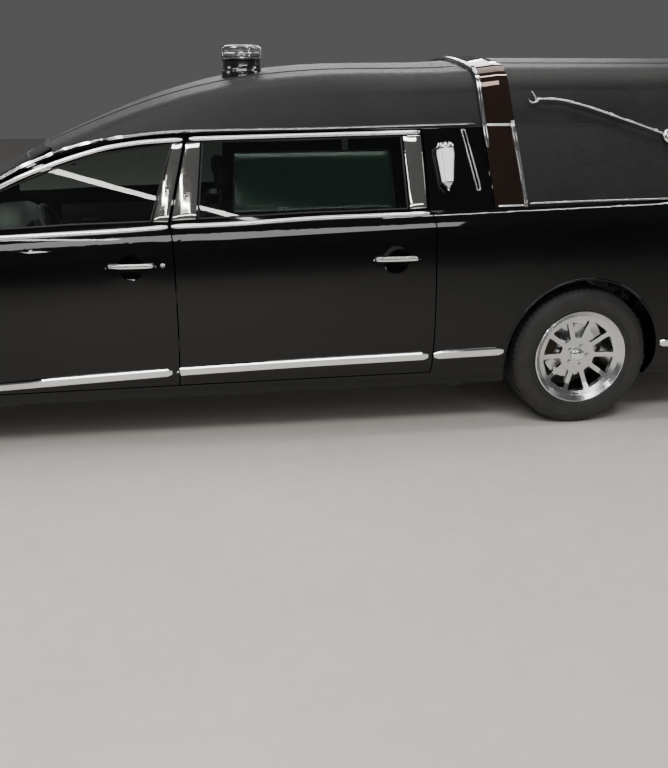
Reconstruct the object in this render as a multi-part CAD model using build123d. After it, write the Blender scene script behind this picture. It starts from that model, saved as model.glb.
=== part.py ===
"""A long funeral car: a stretched sedan with a raised vinyl roof, blind rear quarters and a casket bay.

Millimetres. +X is the front, +Y the left side, +Z up. The origin is on the ground, midway along and across.
"""

import os
from math import atan, atan2, cos, hypot, pi, sin, sqrt, tan

from build123d import *

os.makedirs("parts", exist_ok=True)

# Overall sizes
LENGTH = 6400.0
HALF_WIDTH = 944.0
WHEELBASE = 3680.0
FRONT_OVERHANG = 1020.0
TYRE_RADIUS = 345.0
TYRE_WIDTH = 235.0
RIM_RADIUS = 222.0
TRACK_HALF = 812.0
ROOF_TOP = 1765.0

# Clearances
SHUT_GAP = 6.0
PIN_GAP = 0.4
SEAT_GAP = 0.3
TRIM_GAP = 0.6

# Shell
SKIN = 28.0
DOOR_INNER_Y = 832.0
GLASS = 5.0
GLASS_INSET = 9.0

# The car is drawn from a datum in the cabin, with the front axle this far ahead of it
AXLE_AHEAD = 2180.0
FRONT_AXLE_X = AXLE_AHEAD
REAR_AXLE_X = FRONT_AXLE_X - WHEELBASE
NOSE_X = FRONT_AXLE_X + FRONT_OVERHANG
TAIL_END_X = NOSE_X - LENGTH
MID_X = (NOSE_X + TAIL_END_X) / 2
AHEAD_X = NOSE_X + 200.0
BACK_X = TAIL_END_X - 200.0
OUT_Y = 1200.0
ARCH_RADIUS = TYRE_RADIUS + 47.0

# Lower body sections: x, share of the half width, bottom z, crease z, shoulder z, crown z
BODY_STATIONS = [
    (NOSE_X + 100.0, 0.900, 232.0, 690.0, 742.0, 775.0),
    (FRONT_AXLE_X + 470.0, 0.970, 226.0, 800.0, 868.0, 908.0),
    (FRONT_AXLE_X - 680.0, 0.998, 220.0, 908.0, 986.0, 1032.0),
    (-300.0, 1.000, 220.0, 990.0, 1056.0, 1086.0),
    (REAR_AXLE_X - 400.0, 0.994, 225.0, 1030.0, 1094.0, 1120.0),
    (TAIL_END_X - 100.0, 0.935, 240.0, 1020.0, 1086.0, 1106.0),
]
ROCKER_RISE = 120.0
ROCKER_IN = 22.0
ROCKER_SAG = 14.0
SILL_IN = 95.0
WIDEST_Z = 610.0
CREASE_IN = 14.0
SHOULDER_IN = 68.0
SHOULDER_SAG = 5.0

# Glasshouse side: an arc in the cross section through these three heights, as y, z
GLASS_LOW = (862.0, 1030.0)
GLASS_HIGH = (735.0, 1435.0)
GLASS_SAG = 8.0

# Side openings, read on the outer skin: x, z
DOOR_FRONT_X = 1640.0
REAR_SHUT_X = REAR_AXLE_X + 740.0
SEAM_LINE = [(434.0, 150.0), (434.0, 1030.0), (306.0, 1412.0), (290.0, 1600.0)]
REAR_SHUT_LINE = [
    (REAR_SHUT_X, 150.0), (REAR_SHUT_X, 1030.0), (REAR_SHUT_X - 12.0, 1432.0), (REAR_SHUT_X - 12.0, 1600.0)
]
DOOR_BEVEL = 0.25
SILL_FRONT_Z = 286.0
SILL_REAR_Z = 306.0
FRONT_APERTURE = [(1590, 335), (1590, 985), (1180, 1185), (780, 1335), (430, 1375), (505, 1000), (505, 335)]
REAR_APERTURE = [
    (395, 335), (395, 1000), (318, 1378), (REAR_SHUT_X + 105, 1396), (REAR_SHUT_X + 60, 1040),
    (REAR_SHUT_X + 60, 335),
]
FRONT_WINDOW = [(1410, 1021), (1410, 1070), (1196, 1186), (998, 1269), (761, 1342), (431, 1381), (541, 1046)]
REAR_WINDOW = [(341, 1053), (305, 1386), (REAR_SHUT_X + 145, 1403), (REAR_SHUT_X + 127, 1078)]
WINDOW_LAP = 12.0

# Roof sections: x, side z, side y, shoulder z, shoulder y, corner z, corner y, crown z
ROOF_FLAT_X = REAR_SHUT_X - 325.0
ROOF_STATIONS = [
    (1150.0, 1215.0, 772.0, 1262.0, 748.0, 1296.0, 600.0, 1338.0),
    (900.0, 1300.0, 752.0, 1362.0, 726.0, 1402.0, 585.0, 1446.0),
    (450.0, 1375.0, 745.0, 1492.0, 708.0, 1566.0, 565.0, 1614.0),
    (-300.0, 1395.0, 742.0, 1575.0, 694.0, 1682.0, 550.0, 1735.0),
    (ROOF_FLAT_X, 1405.0, 742.0, 1602.0, 690.0, 1712.0, 548.0, ROOF_TOP),
]
ROOF_SIDE_SAG = 4.0
ROOF_CORNER_SAG = 34.0
ROOF_SHELL = 32.0

# Line between the roof and the sides in the side view: x, z, with one arc over the front door
DRIP_STEPS = [(BACK_X, 1449.0), (300.0, 1431.0), ((800.0, 1380.0), (1192.0, 1233.0)), (1700.0, 985.0)]

# Windscreen: a cylinder of this plan radius, laid back at this slope
SCREEN_BASE_X = 1830.0
SCREEN_BASE_Z = 970.0
SCREEN_PLAN_RADIUS = 2600.0
SCREEN_SLOPE = 0.523
HEADER_X = 1070.0

# Tail: a plan arc with round corners, leaning forward
TAIL_X = TAIL_END_X + 82.0
TAIL_Z = 620.0
TAIL_LEAN = 0.10
TAIL_BULGE = 28.0
TAIL_WALL = 85.0
TAIL_DEPTH_X = TAIL_X + 268.0

# Front end
BUMPER_TOP = 640.0
BUMPER_X = FRONT_AXLE_X + 463.0
LAMP_X = NOSE_X - 245.0
HOOD_REAR_X = 1810.0
HOOD_FRONT_X = NOSE_X - 115.0
HOOD_HALF_REAR = 735.0
HOOD_HALF_FRONT = 655.0
HOOD_LOW_Z = 745.0
GRILLE_HALF = 425.0
GRILLE_FOOT_HALF = 310.0
GRILLE_LOW_Z = 392.0
GRILLE_DEPTH = 70.0
GRILLE_FRAME = 24.0
GRILLE_UPRIGHTS = 15
GRILLE_CROSSBARS = 7
GRILLE_BAR = 7.0
LAMP_SHELL = 7.0
INTAKE_HALF = 500.0
INTAKE_Z = (262.0, 346.0)
FOG_LAMP = (655.0, 420.0, 44.0)
LINER_RADIUS = 430.0
LINER = 12.0
APRON_Y = 500.0
FIREWALL = 25.0
PILLAR_X = 1700.0

# Floor and cabin
FLOOR_Z = 300.0
FLOOR = 28.0
FLOOR_HALF = 775.0
KICK_X = REAR_AXLE_X + 500.0
REAR_FLOOR_Z = 500.0
DECK_Z = 700.0
DECK_HALF = 600.0
DECK_FRONT_X = 120.0
DECK_BOARD = 25.0

# Polished band over the roof, as top and bottom points (x, z) of its two edges, and the blind quarter
BAND_FRONT = ((REAR_SHUT_X - 210.0, 1720.0), (REAR_SHUT_X - 285.0, 1064.0))
BAND_REAR = ((REAR_SHUT_X - 358.0, 1720.0), (REAR_SHUT_X - 443.0, 1064.0))
BAND_PROUD = 12.0
QUARTER_PROUD = 7.0
QUARTER_LOW_Z = 1040.0

# Tail lamp seen from behind: y, z
TAIL_LAMP = [(628.0, 706.0), (828.0, 706.0), (842.0, 1020.0), (628.0, 1020.0)]
TAIL_LAMP_DEPTH = 32.0

# Tail opening
TAIL_DOOR_HALF = 557.0
TAIL_DOOR_LOW = 664.0
TAIL_DOOR_HIGH = 1612.0
TAIL_DOOR_ROUND = 110.0
TAIL_DOOR_DEPTH = 60.0
TAIL_WINDOW = [(-430.0, 1100.0), (430.0, 1100.0), (400.0, 1500.0), (-400.0, 1500.0)]
TAIL_HINGE_Y = 560.0
TAIL_HINGE_GAP = 8.0
TAIL_HINGE_RADIUS = 7.0
TAIL_HINGE_PIN = 3.5
TAIL_HINGE_HEIGHTS = (820.0, 1380.0)
TAIL_HINGE_LENGTH = 45.0
TAIL_HINGE_PLAY = 3.0

# Side door and hood hinges, lying in the shut gaps
DOOR_HINGE_Y = 941.0
DOOR_HINGE_HEIGHTS = ((470.0, 530.0), (690.0, 750.0))
DOOR_HINGE_RADIUS = 2.5
DOOR_HINGE_LEAF = 2.2
HOOD_HINGE_Z = 1007.0

# Strap handles over round finger cups: first x and last x on each door
HANDLE_SPANS = {"front_door": (532.0, 747.0), "rear_door": (REAR_SHUT_X + 95.0, REAR_SHUT_X + 310.0)}
HANDLE_Z = 863.0
HANDLE_HALF = 13.0
HANDLE_OUT = 24.0
HANDLE_STRAP = 10.0
HANDLE_FOOT = 20.0
CUP_RADIUS = 96.0
CUP_DEPTH = 21.0

# Bier pin holes in the load deck and jacking pads under the sills
BIER_SPACING_X = 1500.0
BIER_SPACING_Y = 600.0
BIER_HOLE_RADIUS = 8.0
BIER_CENTRE_X = REAR_AXLE_X
JACK_PAD_X = (1250.0, REAR_AXLE_X + 620.0)
JACK_PAD_Y = 812.0
JACK_PAD_Z = 205.0
JACK_PAD_HALF = (35.0, 30.0)

# Cabin fittings
SEAT_Y = 375.0
WHEEL_CENTRE = (1010.0, 375.0, 905.0)
WHEEL_AXIS = (0.91, 0.0, -0.41)

# Wheels and steering
STEER_AXIS_Y = 730.0
SUBFRAME_Z = 290.0
ARM_LOW_Z = 185.0
ARM_HIGH_Z = 478.0
ARM = 30.0
PIN_RADIUS = 14.0
SPINDLE_RADIUS = 22.0
HUB_END = TRACK_HALF + 60.0
SPOKES = 10
SPOKE_WIDTH = 23.0
STRUT_Y = 600.0
EXHAUST_Y = -330.0
EXHAUST_Z = 262.0

# Landau bars: half of the S in the side view, from its tip to the boss
LANDAU_HALF = [
    (REAR_AXLE_X + 295.0, 1572.0), (REAR_AXLE_X + 110.0, 1562.0), (REAR_AXLE_X - 110.0, 1494.0),
    (REAR_AXLE_X - 420.0, 1385.0),
]
LANDAU_WIDTH = 24.0

# Coach lamps on the panels behind the rear doors: foot and head of the lamp's axis in the side view
LAMP_FOOT = (REAR_SHUT_X - 52.0, 1196.0)
LAMP_HEAD = (REAR_SHUT_X - 44.0, 1362.0)
LAMP_OUT = 38.0

# Mirror shell sections: x and size
MIRROR_SHELL = [(1452.0, 1.0), (1500.0, 1.0), (1545.0, 0.86), (1566.0, 0.6)]

# Beacon
BEACON_PLACE = (90.0, 300.0)
BEACON_RADIUS = 96.0
BEACON_DRUM_TOP = 1749.0
BEACON_TOP = 1811.0


def upright_sag(run, rise):
    """Sag of an arc over run x rise whose far end stands upright."""
    chord = hypot(run, rise)
    return chord / 2 * tan(atan(run / rise) / 2)


def arc_or_line(a, b, sag, middle_sign=1.0):
    """Edge from a to b; sag pushes its middle away from the centre plane."""
    if sag == 0:
        return Edge.make_line(a, b)
    dy, dz = b[1] - a[1], b[2] - a[2]
    size = hypot(dy, dz)
    middle = (
        a[0], (a[1] + b[1]) / 2 + middle_sign * abs(dz) / size * sag, (a[2] + b[2]) / 2 + abs(dy) / size * sag
    )
    return Edge.make_three_point_arc(a, middle, b)


def ring(x, half, crown):
    """Closed symmetric section at x: half lists (y, z, sag) upwards, crown is the height of the top arc."""
    edges = [Edge.make_line((x, -half[0][0], half[0][1]), (x, half[0][0], half[0][1]))]
    for (y1, z1, _), (y2, z2, sag) in zip(half, half[1:]):
        edges.append(arc_or_line((x, y1, z1), (x, y2, z2), sag))
    y, z, _ = half[-1]
    edges.append(Edge.make_three_point_arc((x, y, z), (x, 0, crown), (x, -y, z)))
    back = half[::-1]
    for (y1, z1, sag), (y2, z2, _) in zip(back, back[1:]):
        edges.append(arc_or_line((x, -y1, z1), (x, -y2, z2), sag, -1.0))
    return Wire(edges)


def body_loft(inset=0.0):
    """The lower body from sill to shoulder as one solid, shrunk by inset."""
    rings = []
    for x, share, z_low, z_crease, z_shoulder, z_crown in BODY_STATIONS:
        wide = HALF_WIDTH * share
        low, shoulder, crown = z_low + inset, z_shoulder - inset, z_crown - inset
        crease = z_crease - inset * 0.5
        half = [
            (wide - SILL_IN - inset, low, 0),
            (wide - ROCKER_IN - inset, z_low + ROCKER_RISE, ROCKER_SAG),
            (wide - inset, WIDEST_Z, upright_sag(ROCKER_IN, WIDEST_Z - z_low - ROCKER_RISE)),
            (wide - CREASE_IN - inset, crease, upright_sag(CREASE_IN, crease - WIDEST_Z)),
            (wide - SHOULDER_IN - inset, shoulder, SHOULDER_SAG),
        ]
        rings.append(ring(x, half, crown))
    return Solid.make_loft(rings)


def roof_loft(inset=0.0):
    """The roof above the drip line as one solid, shrunk by inset."""
    rings = []
    for x, z0, y0, z1, y1, z2, y2, crown in ROOF_STATIONS:
        half = [
            (y0 - inset, z0, 0),
            (y1 - inset, z1 - inset * 0.2, ROOF_SIDE_SAG),
            (y2 - inset * 0.6, z2 - inset, ROOF_CORNER_SAG * (z1 - z0) / 190.0),
        ]
        rings.append(ring(x, half, crown - inset))
    level = Solid.extrude(Face(rings[-1]), Vector(BACK_X - ROOF_FLAT_X, 0, 0))
    return Solid.make_loft(rings) + level


def outline(place, start, *steps):
    """Closed face from (u, v) steps: a point is a line to it, a pair of points an arc through the first."""
    edges, here = [], start
    for step in steps + (start,):
        if isinstance(step[0], tuple):
            middle, there = step
            edges.append(Edge.make_three_point_arc(place(*here), place(*middle), place(*there)))
        else:
            there = step
            if hypot(there[0] - here[0], there[1] - here[1]) < 1e-6:
                continue
            edges.append(Edge.make_line(place(*here), place(*there)))
        here = there
    return Face(Wire(edges))


def side_prism(start, *steps, y0=-1200.0, y1=1200.0):
    """Outline in the side view, XZ, pushed through from y0 to y1."""
    face = outline(lambda u, v: (u, y0, v), start, *steps)
    return Solid.extrude(face, Vector(0, y1 - y0, 0))


def front_prism(start, *steps, x0=BACK_X, x1=AHEAD_X):
    """Outline in the front view, YZ, pushed through from x0 to x1."""
    face = outline(lambda u, v: (x0, u, v), start, *steps)
    return Solid.extrude(face, Vector(x1 - x0, 0, 0))


def plan_prism(start, *steps, z0=0.0, z1=2200.0, lean=0.0):
    """Outline in the plan view, XY, pushed up from z0 to z1; lean shifts x for each unit of height."""
    face = outline(lambda u, v: (u, v, z0), start, *steps)
    return Solid.extrude(face, Vector(lean * (z1 - z0), 0, z1 - z0))


def grown_prism(points, grow):
    """A tail-view polygon (y, z) moved out by grow and pushed through the tail."""
    face = Face(Wire.make_polygon([(BACK_X, y, z) for y, z in points]))
    if grow:
        face = Face(face.outer_wire().offset_2d(grow, Kind.INTERSECTION))
    return Solid.extrude(face, Vector(TAIL_DEPTH_X - BACK_X, 0, 0))


def box(x0, x1, y0, y1, z0, z1):
    """Box between two corners."""
    return Solid.make_box(x1 - x0, y1 - y0, z1 - z0).moved(Location((x0, y0, z0)))


def mirrored(shape):
    """The right-hand twin of a left-hand shape."""
    return shape.mirror(Plane.XZ)


def cylinder(centre, direction, radius, length):
    """Cylinder from centre along direction."""
    return Solid.make_cylinder(radius, length, Plane(origin=centre, z_dir=direction))


def solid_of(shape, keep_all=True):
    """The solids of a boolean result, as one solid or one compound."""
    found = sorted(shape.solids(), key=lambda s: -s.volume)
    if not found:
        raise ValueError("nothing left")
    if not keep_all or len(found) == 1:
        return found[0]
    return Compound(found)


def save(name, shape):
    """Write one node, moved so that x 0 is midway along the car."""
    shape = solid_of(shape).moved(Location((-MID_X, 0, 0)))
    shape.label = name
    export_step(shape, f"parts/{name}.step")
    print(f"{name}: {len(shape.solids())} solids, {shape.volume / 1e6:.1f} litres")
    return shape


def glasshouse(inset=0.0, high=1700.0):
    """The cabin between its leaning sides, as a prism along X; inset moves the sides in."""
    (y_low, z_low), (y_high, z_high) = GLASS_LOW, GLASS_HIGH
    slope = (y_high - y_low) / (z_high - z_low)
    size = hypot(1, slope)
    shift = inset * size
    top = y_high + slope * (high - z_high) - shift
    base = y_low + slope * (900.0 - z_low) - shift
    middle_y = (y_low + y_high) / 2 + GLASS_SAG - shift
    middle_z = (z_low + z_high) / 2
    low, upper = (y_low - shift, z_low), (y_high - shift, z_high)
    right = [(-a, b) for a, b in ((base, 900.0), low, upper, (top, high))]
    return front_prism(
        (base, 900.0),
        low,
        ((middle_y, middle_z), upper),
        (top, high),
        right[3],
        right[2],
        ((-middle_y, middle_z), right[1]),
        right[0],
        x1=SCREEN_BASE_X + 270.0,
    )


def behind_screen(offset=0.0):
    """Everything behind the windscreen surface; offset moves it in, square to the glass."""
    z0 = 700.0
    back = offset * sqrt(1 + SCREEN_SLOPE**2) / SCREEN_SLOPE
    x = SCREEN_BASE_X + (SCREEN_BASE_Z - z0) / SCREEN_SLOPE - back
    y = 1150.0
    drop = SCREEN_PLAN_RADIUS - sqrt(SCREEN_PLAN_RADIUS**2 - y**2)
    return plan_prism(
        (x - drop, -y), ((x, 0.0), (x - drop, y)), (BACK_X, y), (BACK_X, -y), z0=z0, lean=-1 / SCREEN_SLOPE
    )


def tail_prism(inset=0.0):
    """Everything ahead of the tail surface."""
    z0 = 0.0
    x = TAIL_X + (z0 - TAIL_Z) * TAIL_LEAN + inset
    y = 600.0
    side = 900.0 - inset * 0.9
    corner = 797.0 - inset * 0.6
    return plan_prism(
        (x + TAIL_BULGE, -y),
        ((x, 0.0), (x + TAIL_BULGE, y)),
        ((x + 115.0, corner), (x + 304.0, side)),
        (x + 360.0, 1300.0),
        (5000.0, 1300.0),
        (5000.0, -1300.0),
        (x + 360.0, -1300.0),
        (x + 304.0, -side),
        ((x + 115.0, -corner), (x + TAIL_BULGE, -y)),
        z0=z0,
        lean=TAIL_LEAN,
    )


def nose_prism(inset=0.0):
    """Everything behind the nose in plan."""
    x = NOSE_X - inset
    side = 930.0 - inset * 0.9
    corner = 817.0 - inset * 0.6
    return plan_prism(
        (x - 82.0, -560.0),
        ((x, 0.0), (x - 82.0, 560.0)),
        ((x - 256.0, corner), (x - 545.0, side)),
        (x - 560.0, 1300.0),
        (BACK_X, 1300.0),
        (BACK_X, -1300.0),
        (x - 560.0, -1300.0),
        (x - 545.0, -side),
        ((x - 256.0, -corner), (x - 82.0, -560.0)),
    )


def nose_profile(inset=0.0):
    """Everything behind the nose in the side view."""
    x = NOSE_X - inset
    return side_prism(
        (BACK_X, 0.0),
        (x - 60.0, 0.0),
        (x - 28.0, 232.0),
        ((x + 2.0, 430.0), (x - 12.0, BUMPER_TOP - 26.0)),
        ((x - 22.0, BUMPER_TOP - 8.0), (x - 44.0, BUMPER_TOP)),
        (x - 104.0, BUMPER_TOP + 1.0),
        (x - 175.0, 900.0),
        (x - 175.0, 2200.0),
        (BACK_X, 2200.0),
    )


def window(points, grow=0.0):
    """Side-view polygon as a prism across the whole car, moved out by grow."""
    face = Face(Wire.make_polygon([(x, -1200.0, z) for x, z in points]))
    if grow:
        face = Face(face.outer_wire().offset_2d(grow, Kind.INTERSECTION))
    return Solid.extrude(face, Vector(0, 2400.0, 0))


def seam(x_shift=0.0):
    """Everything behind the slanted cut between the doors; x_shift moves the cut forward."""
    return slanted(SEAM_LINE, x_shift)


def slanted(line, x_shift):
    """Everything behind a side-view line read at y 1000, leaning forward inboard by the door bevel."""
    rings = []
    for y in (1150.0, 500.0):
        move = DOOR_BEVEL * (1000.0 - y) + x_shift
        points = [(x + move, y, z) for x, z in line]
        rings.append(Wire.make_polygon([(BACK_X, y, line[0][1]), *points, (BACK_X, y, line[-1][1])]))
    return Solid.make_loft(rings, ruled=True)


def door_outline(grow=0.0):
    """Side-view outline round both doors on the left side, as a prism over the outer half of the wall."""
    low = -grow
    front = DOOR_FRONT_X - SHUT_GAP / 2 + grow
    return side_prism(
        (front, SILL_FRONT_Z + low),
        (front, 975.0 + grow),
        (1192.0 + grow, 1214.0 + grow),
        ((1000.0 + grow, 1300.0 + grow), (760.0, 1366.0 + grow)),
        ((560.0, 1402.0 + grow), (300.0, 1412.0 + grow)),
        (REAR_SHUT_X - 240.0, 1433.0 + grow),
        (REAR_SHUT_X - 240.0, SILL_REAR_Z + low),
        y0=0.0,
    )


def inside_doors(gap=0.0):
    """Everything inboard of the inner faces of the side doors, as a prism along X."""
    return front_prism(
        (-DOOR_INNER_Y + gap, 0.0),
        (DOOR_INNER_Y - gap, 0.0),
        (DOOR_INNER_Y - gap, 1030.0),
        (690.0 - gap, 1435.0),
        (638.0 - gap, 1585.0),
        (-638.0 + gap, 1585.0),
        (-690.0 + gap, 1435.0),
        (-DOOR_INNER_Y + gap, 1030.0),
    )


def both_sides(shape):
    """A left-hand piece and its mirror image together."""
    return Compound([*shape.solids(), *mirrored(shape).solids()])


def tail_opening(grow=0.0):
    """The loading door's outline pushed through the tail, slanted on its free side."""
    half, low, high, r = TAIL_DOOR_HALF + grow, TAIL_DOOR_LOW - grow, TAIL_DOOR_HIGH + grow, TAIL_DOOR_ROUND
    c = r * (1 - cos(pi / 4))
    shape = front_prism(
        (-half, low),
        (half, low),
        (half, high - r),
        ((half - c, high - c), (half - r, high)),
        (r - half, high),
        ((c - half, high - c), (-half, high - r)),
        x1=TAIL_DEPTH_X,
    )
    x = TAIL_X
    free = plan_prism(
        (x - 400.0, -half - 100.0), (x + 400.0, -half + 100.0), (x + 400.0, 900.0), (x - 400.0, 900.0)
    )
    return shape & free


def tail_surface(y, z):
    """The x of the tail surface at y and z, within its nearly flat middle."""
    radius = (600.0**2 + TAIL_BULGE**2) / (2 * TAIL_BULGE)
    return TAIL_X + (z - TAIL_Z) * TAIL_LEAN + radius - sqrt(radius**2 - y**2)


def tail_knuckle(z0, z1, direction):
    """Hinge knuckle and leaf between two heights; direction is 1 on the body, -1 on the door."""
    x = tail_surface(TAIL_HINGE_Y, z0) - TAIL_HINGE_GAP
    y = TAIL_HINGE_Y + SHUT_GAP / 2
    axis = Vector(TAIL_LEAN, 0, 1)
    knuckle = cylinder(
        (x - TAIL_LEAN * 5.0, y, z0 - 5.0), axis, TAIL_HINGE_RADIUS, (z1 - z0 + 10.0) * axis.length
    )
    knuckle = knuckle & box(x - 100, x + 100, y - 50, y + 50, z0, z1)
    leaf_end = y + direction * 42.0
    leaf = plan_prism(
        (x - 1.0, y), (x + 4.0, y), (x + TAIL_HINGE_GAP + 6.0, y + direction * 8.0),
        (x + TAIL_HINGE_GAP + 6.0, leaf_end), (x + TAIL_HINGE_GAP - 4.0, leaf_end),
        (x + 1.0, y + direction * 6.0),
        z0=z0, z1=z1, lean=TAIL_LEAN,
    )
    if direction < 0:
        bore_radius = TAIL_HINGE_PIN + PIN_GAP
        bore = cylinder((x - TAIL_LEAN * 5.0, y, z0 - 5.0), axis, bore_radius, (z1 - z0 + 10.0) * axis.length)
        return (knuckle + leaf) - bore
    pin_length = (z1 - z0 + TAIL_HINGE_PLAY + TAIL_HINGE_LENGTH - 6.0) * axis.length
    return knuckle + leaf + cylinder((x + TAIL_LEAN, y, z0 + 1.0), axis, TAIL_HINGE_PIN, pin_length)


def door_hinge(axis_x, root):
    """Pins on a door's axis with thin leaves back to the post, root being a point inside it in plan."""
    pieces = None
    for z0, z1 in DOOR_HINGE_HEIGHTS:
        dx, dy = root[0] - axis_x, root[1] - DOOR_HINGE_Y
        size = hypot(dx, dy)
        nx, ny = -dy / size * DOOR_HINGE_LEAF / 2, dx / size * DOOR_HINGE_LEAF / 2
        leaf = plan_prism(
            (axis_x - nx, DOOR_HINGE_Y - ny), (root[0] - nx, root[1] - ny), (root[0] + nx, root[1] + ny),
            (axis_x + nx, DOOR_HINGE_Y + ny),
            z0=z0, z1=z1,
        )
        pin = cylinder((axis_x, DOOR_HINGE_Y, z0), (0, 0, 1), DOOR_HINGE_RADIUS, z1 - z0)
        pieces = pin + leaf if pieces is None else pieces + pin + leaf
    return pieces


# Envelopes
body = body_loft()
body_inner = body_loft(SKIN)
body_inner_loose = body_loft(SKIN + SEAT_GAP)
body_over = body_loft(-SEAT_GAP)
roof_outer = roof_loft()
roof_over = roof_loft(-SEAT_GAP)
roof_inner = roof_loft(ROOF_SHELL)
cabin = glasshouse()
screen = behind_screen()
tail = tail_prism()
nose = nose_prism() & nose_profile()

# Zones above the drip line and behind the windscreen header
above_drip = side_prism(DRIP_STEPS[0], *DRIP_STEPS[1:], (1700.0, 2200.0), (BACK_X, 2200.0))
header_sag = SCREEN_PLAN_RADIUS - sqrt(SCREEN_PLAN_RADIUS**2 - 900.0**2)
behind_header = plan_prism(
    (HEADER_X - header_sag, -900.0),
    ((HEADER_X, 0.0), (HEADER_X - header_sag, 900.0)),
    (BACK_X, 900.0),
    (BACK_X, -900.0),
)
roof_zone = roof_outer & above_drip & behind_header & tail
side_wall = (cabin & screen & box(BACK_X, 1900, -OUT_Y, OUT_Y, 950, 1700)) - (above_drip & behind_header)
hull = (body + side_wall) & tail & nose

void_steps = [
    (-FLOOR_HALF, FLOOR_Z),
    (FLOOR_HALF, FLOOR_Z),
    (FLOOR_HALF, 970.0),
    (655.0, 1400.0),
    (640.0, 1480.0),
    (-640.0, 1480.0),
    (-655.0, 1400.0),
    (-FLOOR_HALF, 970.0),
]
void = front_prism(*void_steps, x1=DOOR_FRONT_X) & tail_prism(TAIL_WALL)

# Openings
doors_cut = door_outline(SHUT_GAP) - slanted(REAR_SHUT_LINE, -SHUT_GAP) - inside_doors(SHUT_GAP)
apertures = (window(FRONT_APERTURE) + window(REAR_APERTURE)) & box(BACK_X, AHEAD_X, 0, OUT_Y, 0, 1600)
front_arch = cylinder((FRONT_AXLE_X, 690.0, TYRE_RADIUS), (0, 1, 0), ARCH_RADIUS, 400.0)
rear_arch = cylinder((REAR_AXLE_X, 640.0, TYRE_RADIUS), (0, 1, 0), ARCH_RADIUS, 400.0)
tail_cut = tail_opening(SHUT_GAP)

# Windscreen glass
screen_zone = box(1000, 1900, -900, 900, 960, 1500)
windshield = (behind_screen(4.0) - behind_screen(10.0)) & glasshouse(18.0) & screen_zone
glass_room = (behind_screen(3.7) - behind_screen(10.3)) & glasshouse(17.7) & screen_zone
glass_edge = plan_prism(
    (HEADER_X + 0.5 - header_sag, -900.0),
    ((HEADER_X + 0.5, 0.0), (HEADER_X + 0.5 - header_sag, 900.0)),
    (2400.0, 900.0),
    (2400.0, -900.0),
)
save("windshield", (windshield & glass_edge) - body_over)

# Body sides, with sill, pillars, rear quarter and half of the tail
fender_zone = (body - body_inner_loose) & box(DOOR_FRONT_X + SHUT_GAP / 2, AHEAD_X, -OUT_Y, OUT_Y, 0, 1200)
void_long = front_prism(*void_steps, x1=2200.0) & tail_prism(TAIL_WALL)
quarter_room = box(BACK_X, ROOF_FLAT_X + SEAT_GAP, -OUT_Y, OUT_Y, QUARTER_LOW_Z, 1700) - body
side = hull & box(BACK_X, PILLAR_X, 0, OUT_Y, 0, 1600)
side = side - fender_zone - void_long - quarter_room
tub = cylinder((REAR_AXLE_X, 625.0, TYRE_RADIUS), (0, 1, 0), ARCH_RADIUS + 15.0, 180.0)
tub = tub & box(REAR_AXLE_X - 700, REAR_AXLE_X + 700, 0, OUT_Y, REAR_FLOOR_Z + FLOOR + SEAT_GAP, 900)
side = side + tub
side = side - rear_arch - doors_cut - apertures
side = side - box(
    BACK_X, TAIL_DEPTH_X, -(TAIL_DOOR_HALF + 8.0), TAIL_DOOR_HALF + 8.0, 0, TAIL_DOOR_LOW - SHUT_GAP
)
side = side - box(BACK_X, PILLAR_X + 1, 0, FLOOR_HALF, 0, FLOOR_Z + 1)
side = side - glass_room
lamp_zone = front_prism(*TAIL_LAMP, x1=TAIL_DEPTH_X)
lamp_room = grown_prism(TAIL_LAMP, SEAT_GAP)
side = side - (lamp_room - tail_prism(TAIL_LAMP_DEPTH + SEAT_GAP))
front_root = (DOOR_FRONT_X + 1.8, 890.0)
seam_x = SEAM_LINE[0][0] + DOOR_BEVEL * (1000.0 - DOOR_HINGE_Y)
rear_root = (seam_x + DOOR_BEVEL * (DOOR_HINGE_Y - 824.0), 824.0)
side = side + door_hinge(DOOR_FRONT_X, front_root) + door_hinge(seam_x, rear_root)
side = side + box(DOOR_FRONT_X + 1.2, DOOR_FRONT_X + 8.0, 884.0, 900.0, 470.0, 750.0)
for pad_x in JACK_PAD_X:
    half_x, half_y = JACK_PAD_HALF
    side = side + box(
        pad_x - half_x, pad_x + half_x, JACK_PAD_Y - half_y, JACK_PAD_Y + half_y, JACK_PAD_Z, 232.0
    )
side_left = side - tail_cut
for z in TAIL_HINGE_HEIGHTS:
    knuckle = tail_knuckle(z - TAIL_HINGE_LENGTH, z, 1)
    if z < QUARTER_LOW_Z:
        side_left = side_left + knuckle
save("body_side_left", solid_of(side_left, False))
save("body_side_right", solid_of(mirrored(side) - tail_cut, False))
lamp = (body & tail & lamp_zone) - tail_prism(TAIL_LAMP_DEPTH)
save("tail_lamps", both_sides(lamp))
print("side done")

# Roof with the blind quarters and the top of the tail
quarter_zone = box(BACK_X, ROOF_FLAT_X, -OUT_Y, OUT_Y, QUARTER_LOW_Z, 1452)
quarter = (glasshouse(-QUARTER_PROUD) & quarter_zone) - body_over
rear_void = void & box(BACK_X, 0, -OUT_Y, OUT_Y, 0, 1600)
roof = (roof_zone + (quarter & tail)) - (roof_inner & tail_prism(TAIL_WALL)) - rear_void - tail_cut
for z in TAIL_HINGE_HEIGHTS[1:]:
    roof = roof + tail_knuckle(z - TAIL_HINGE_LENGTH, z, 1)
save("roof", roof)

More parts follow.
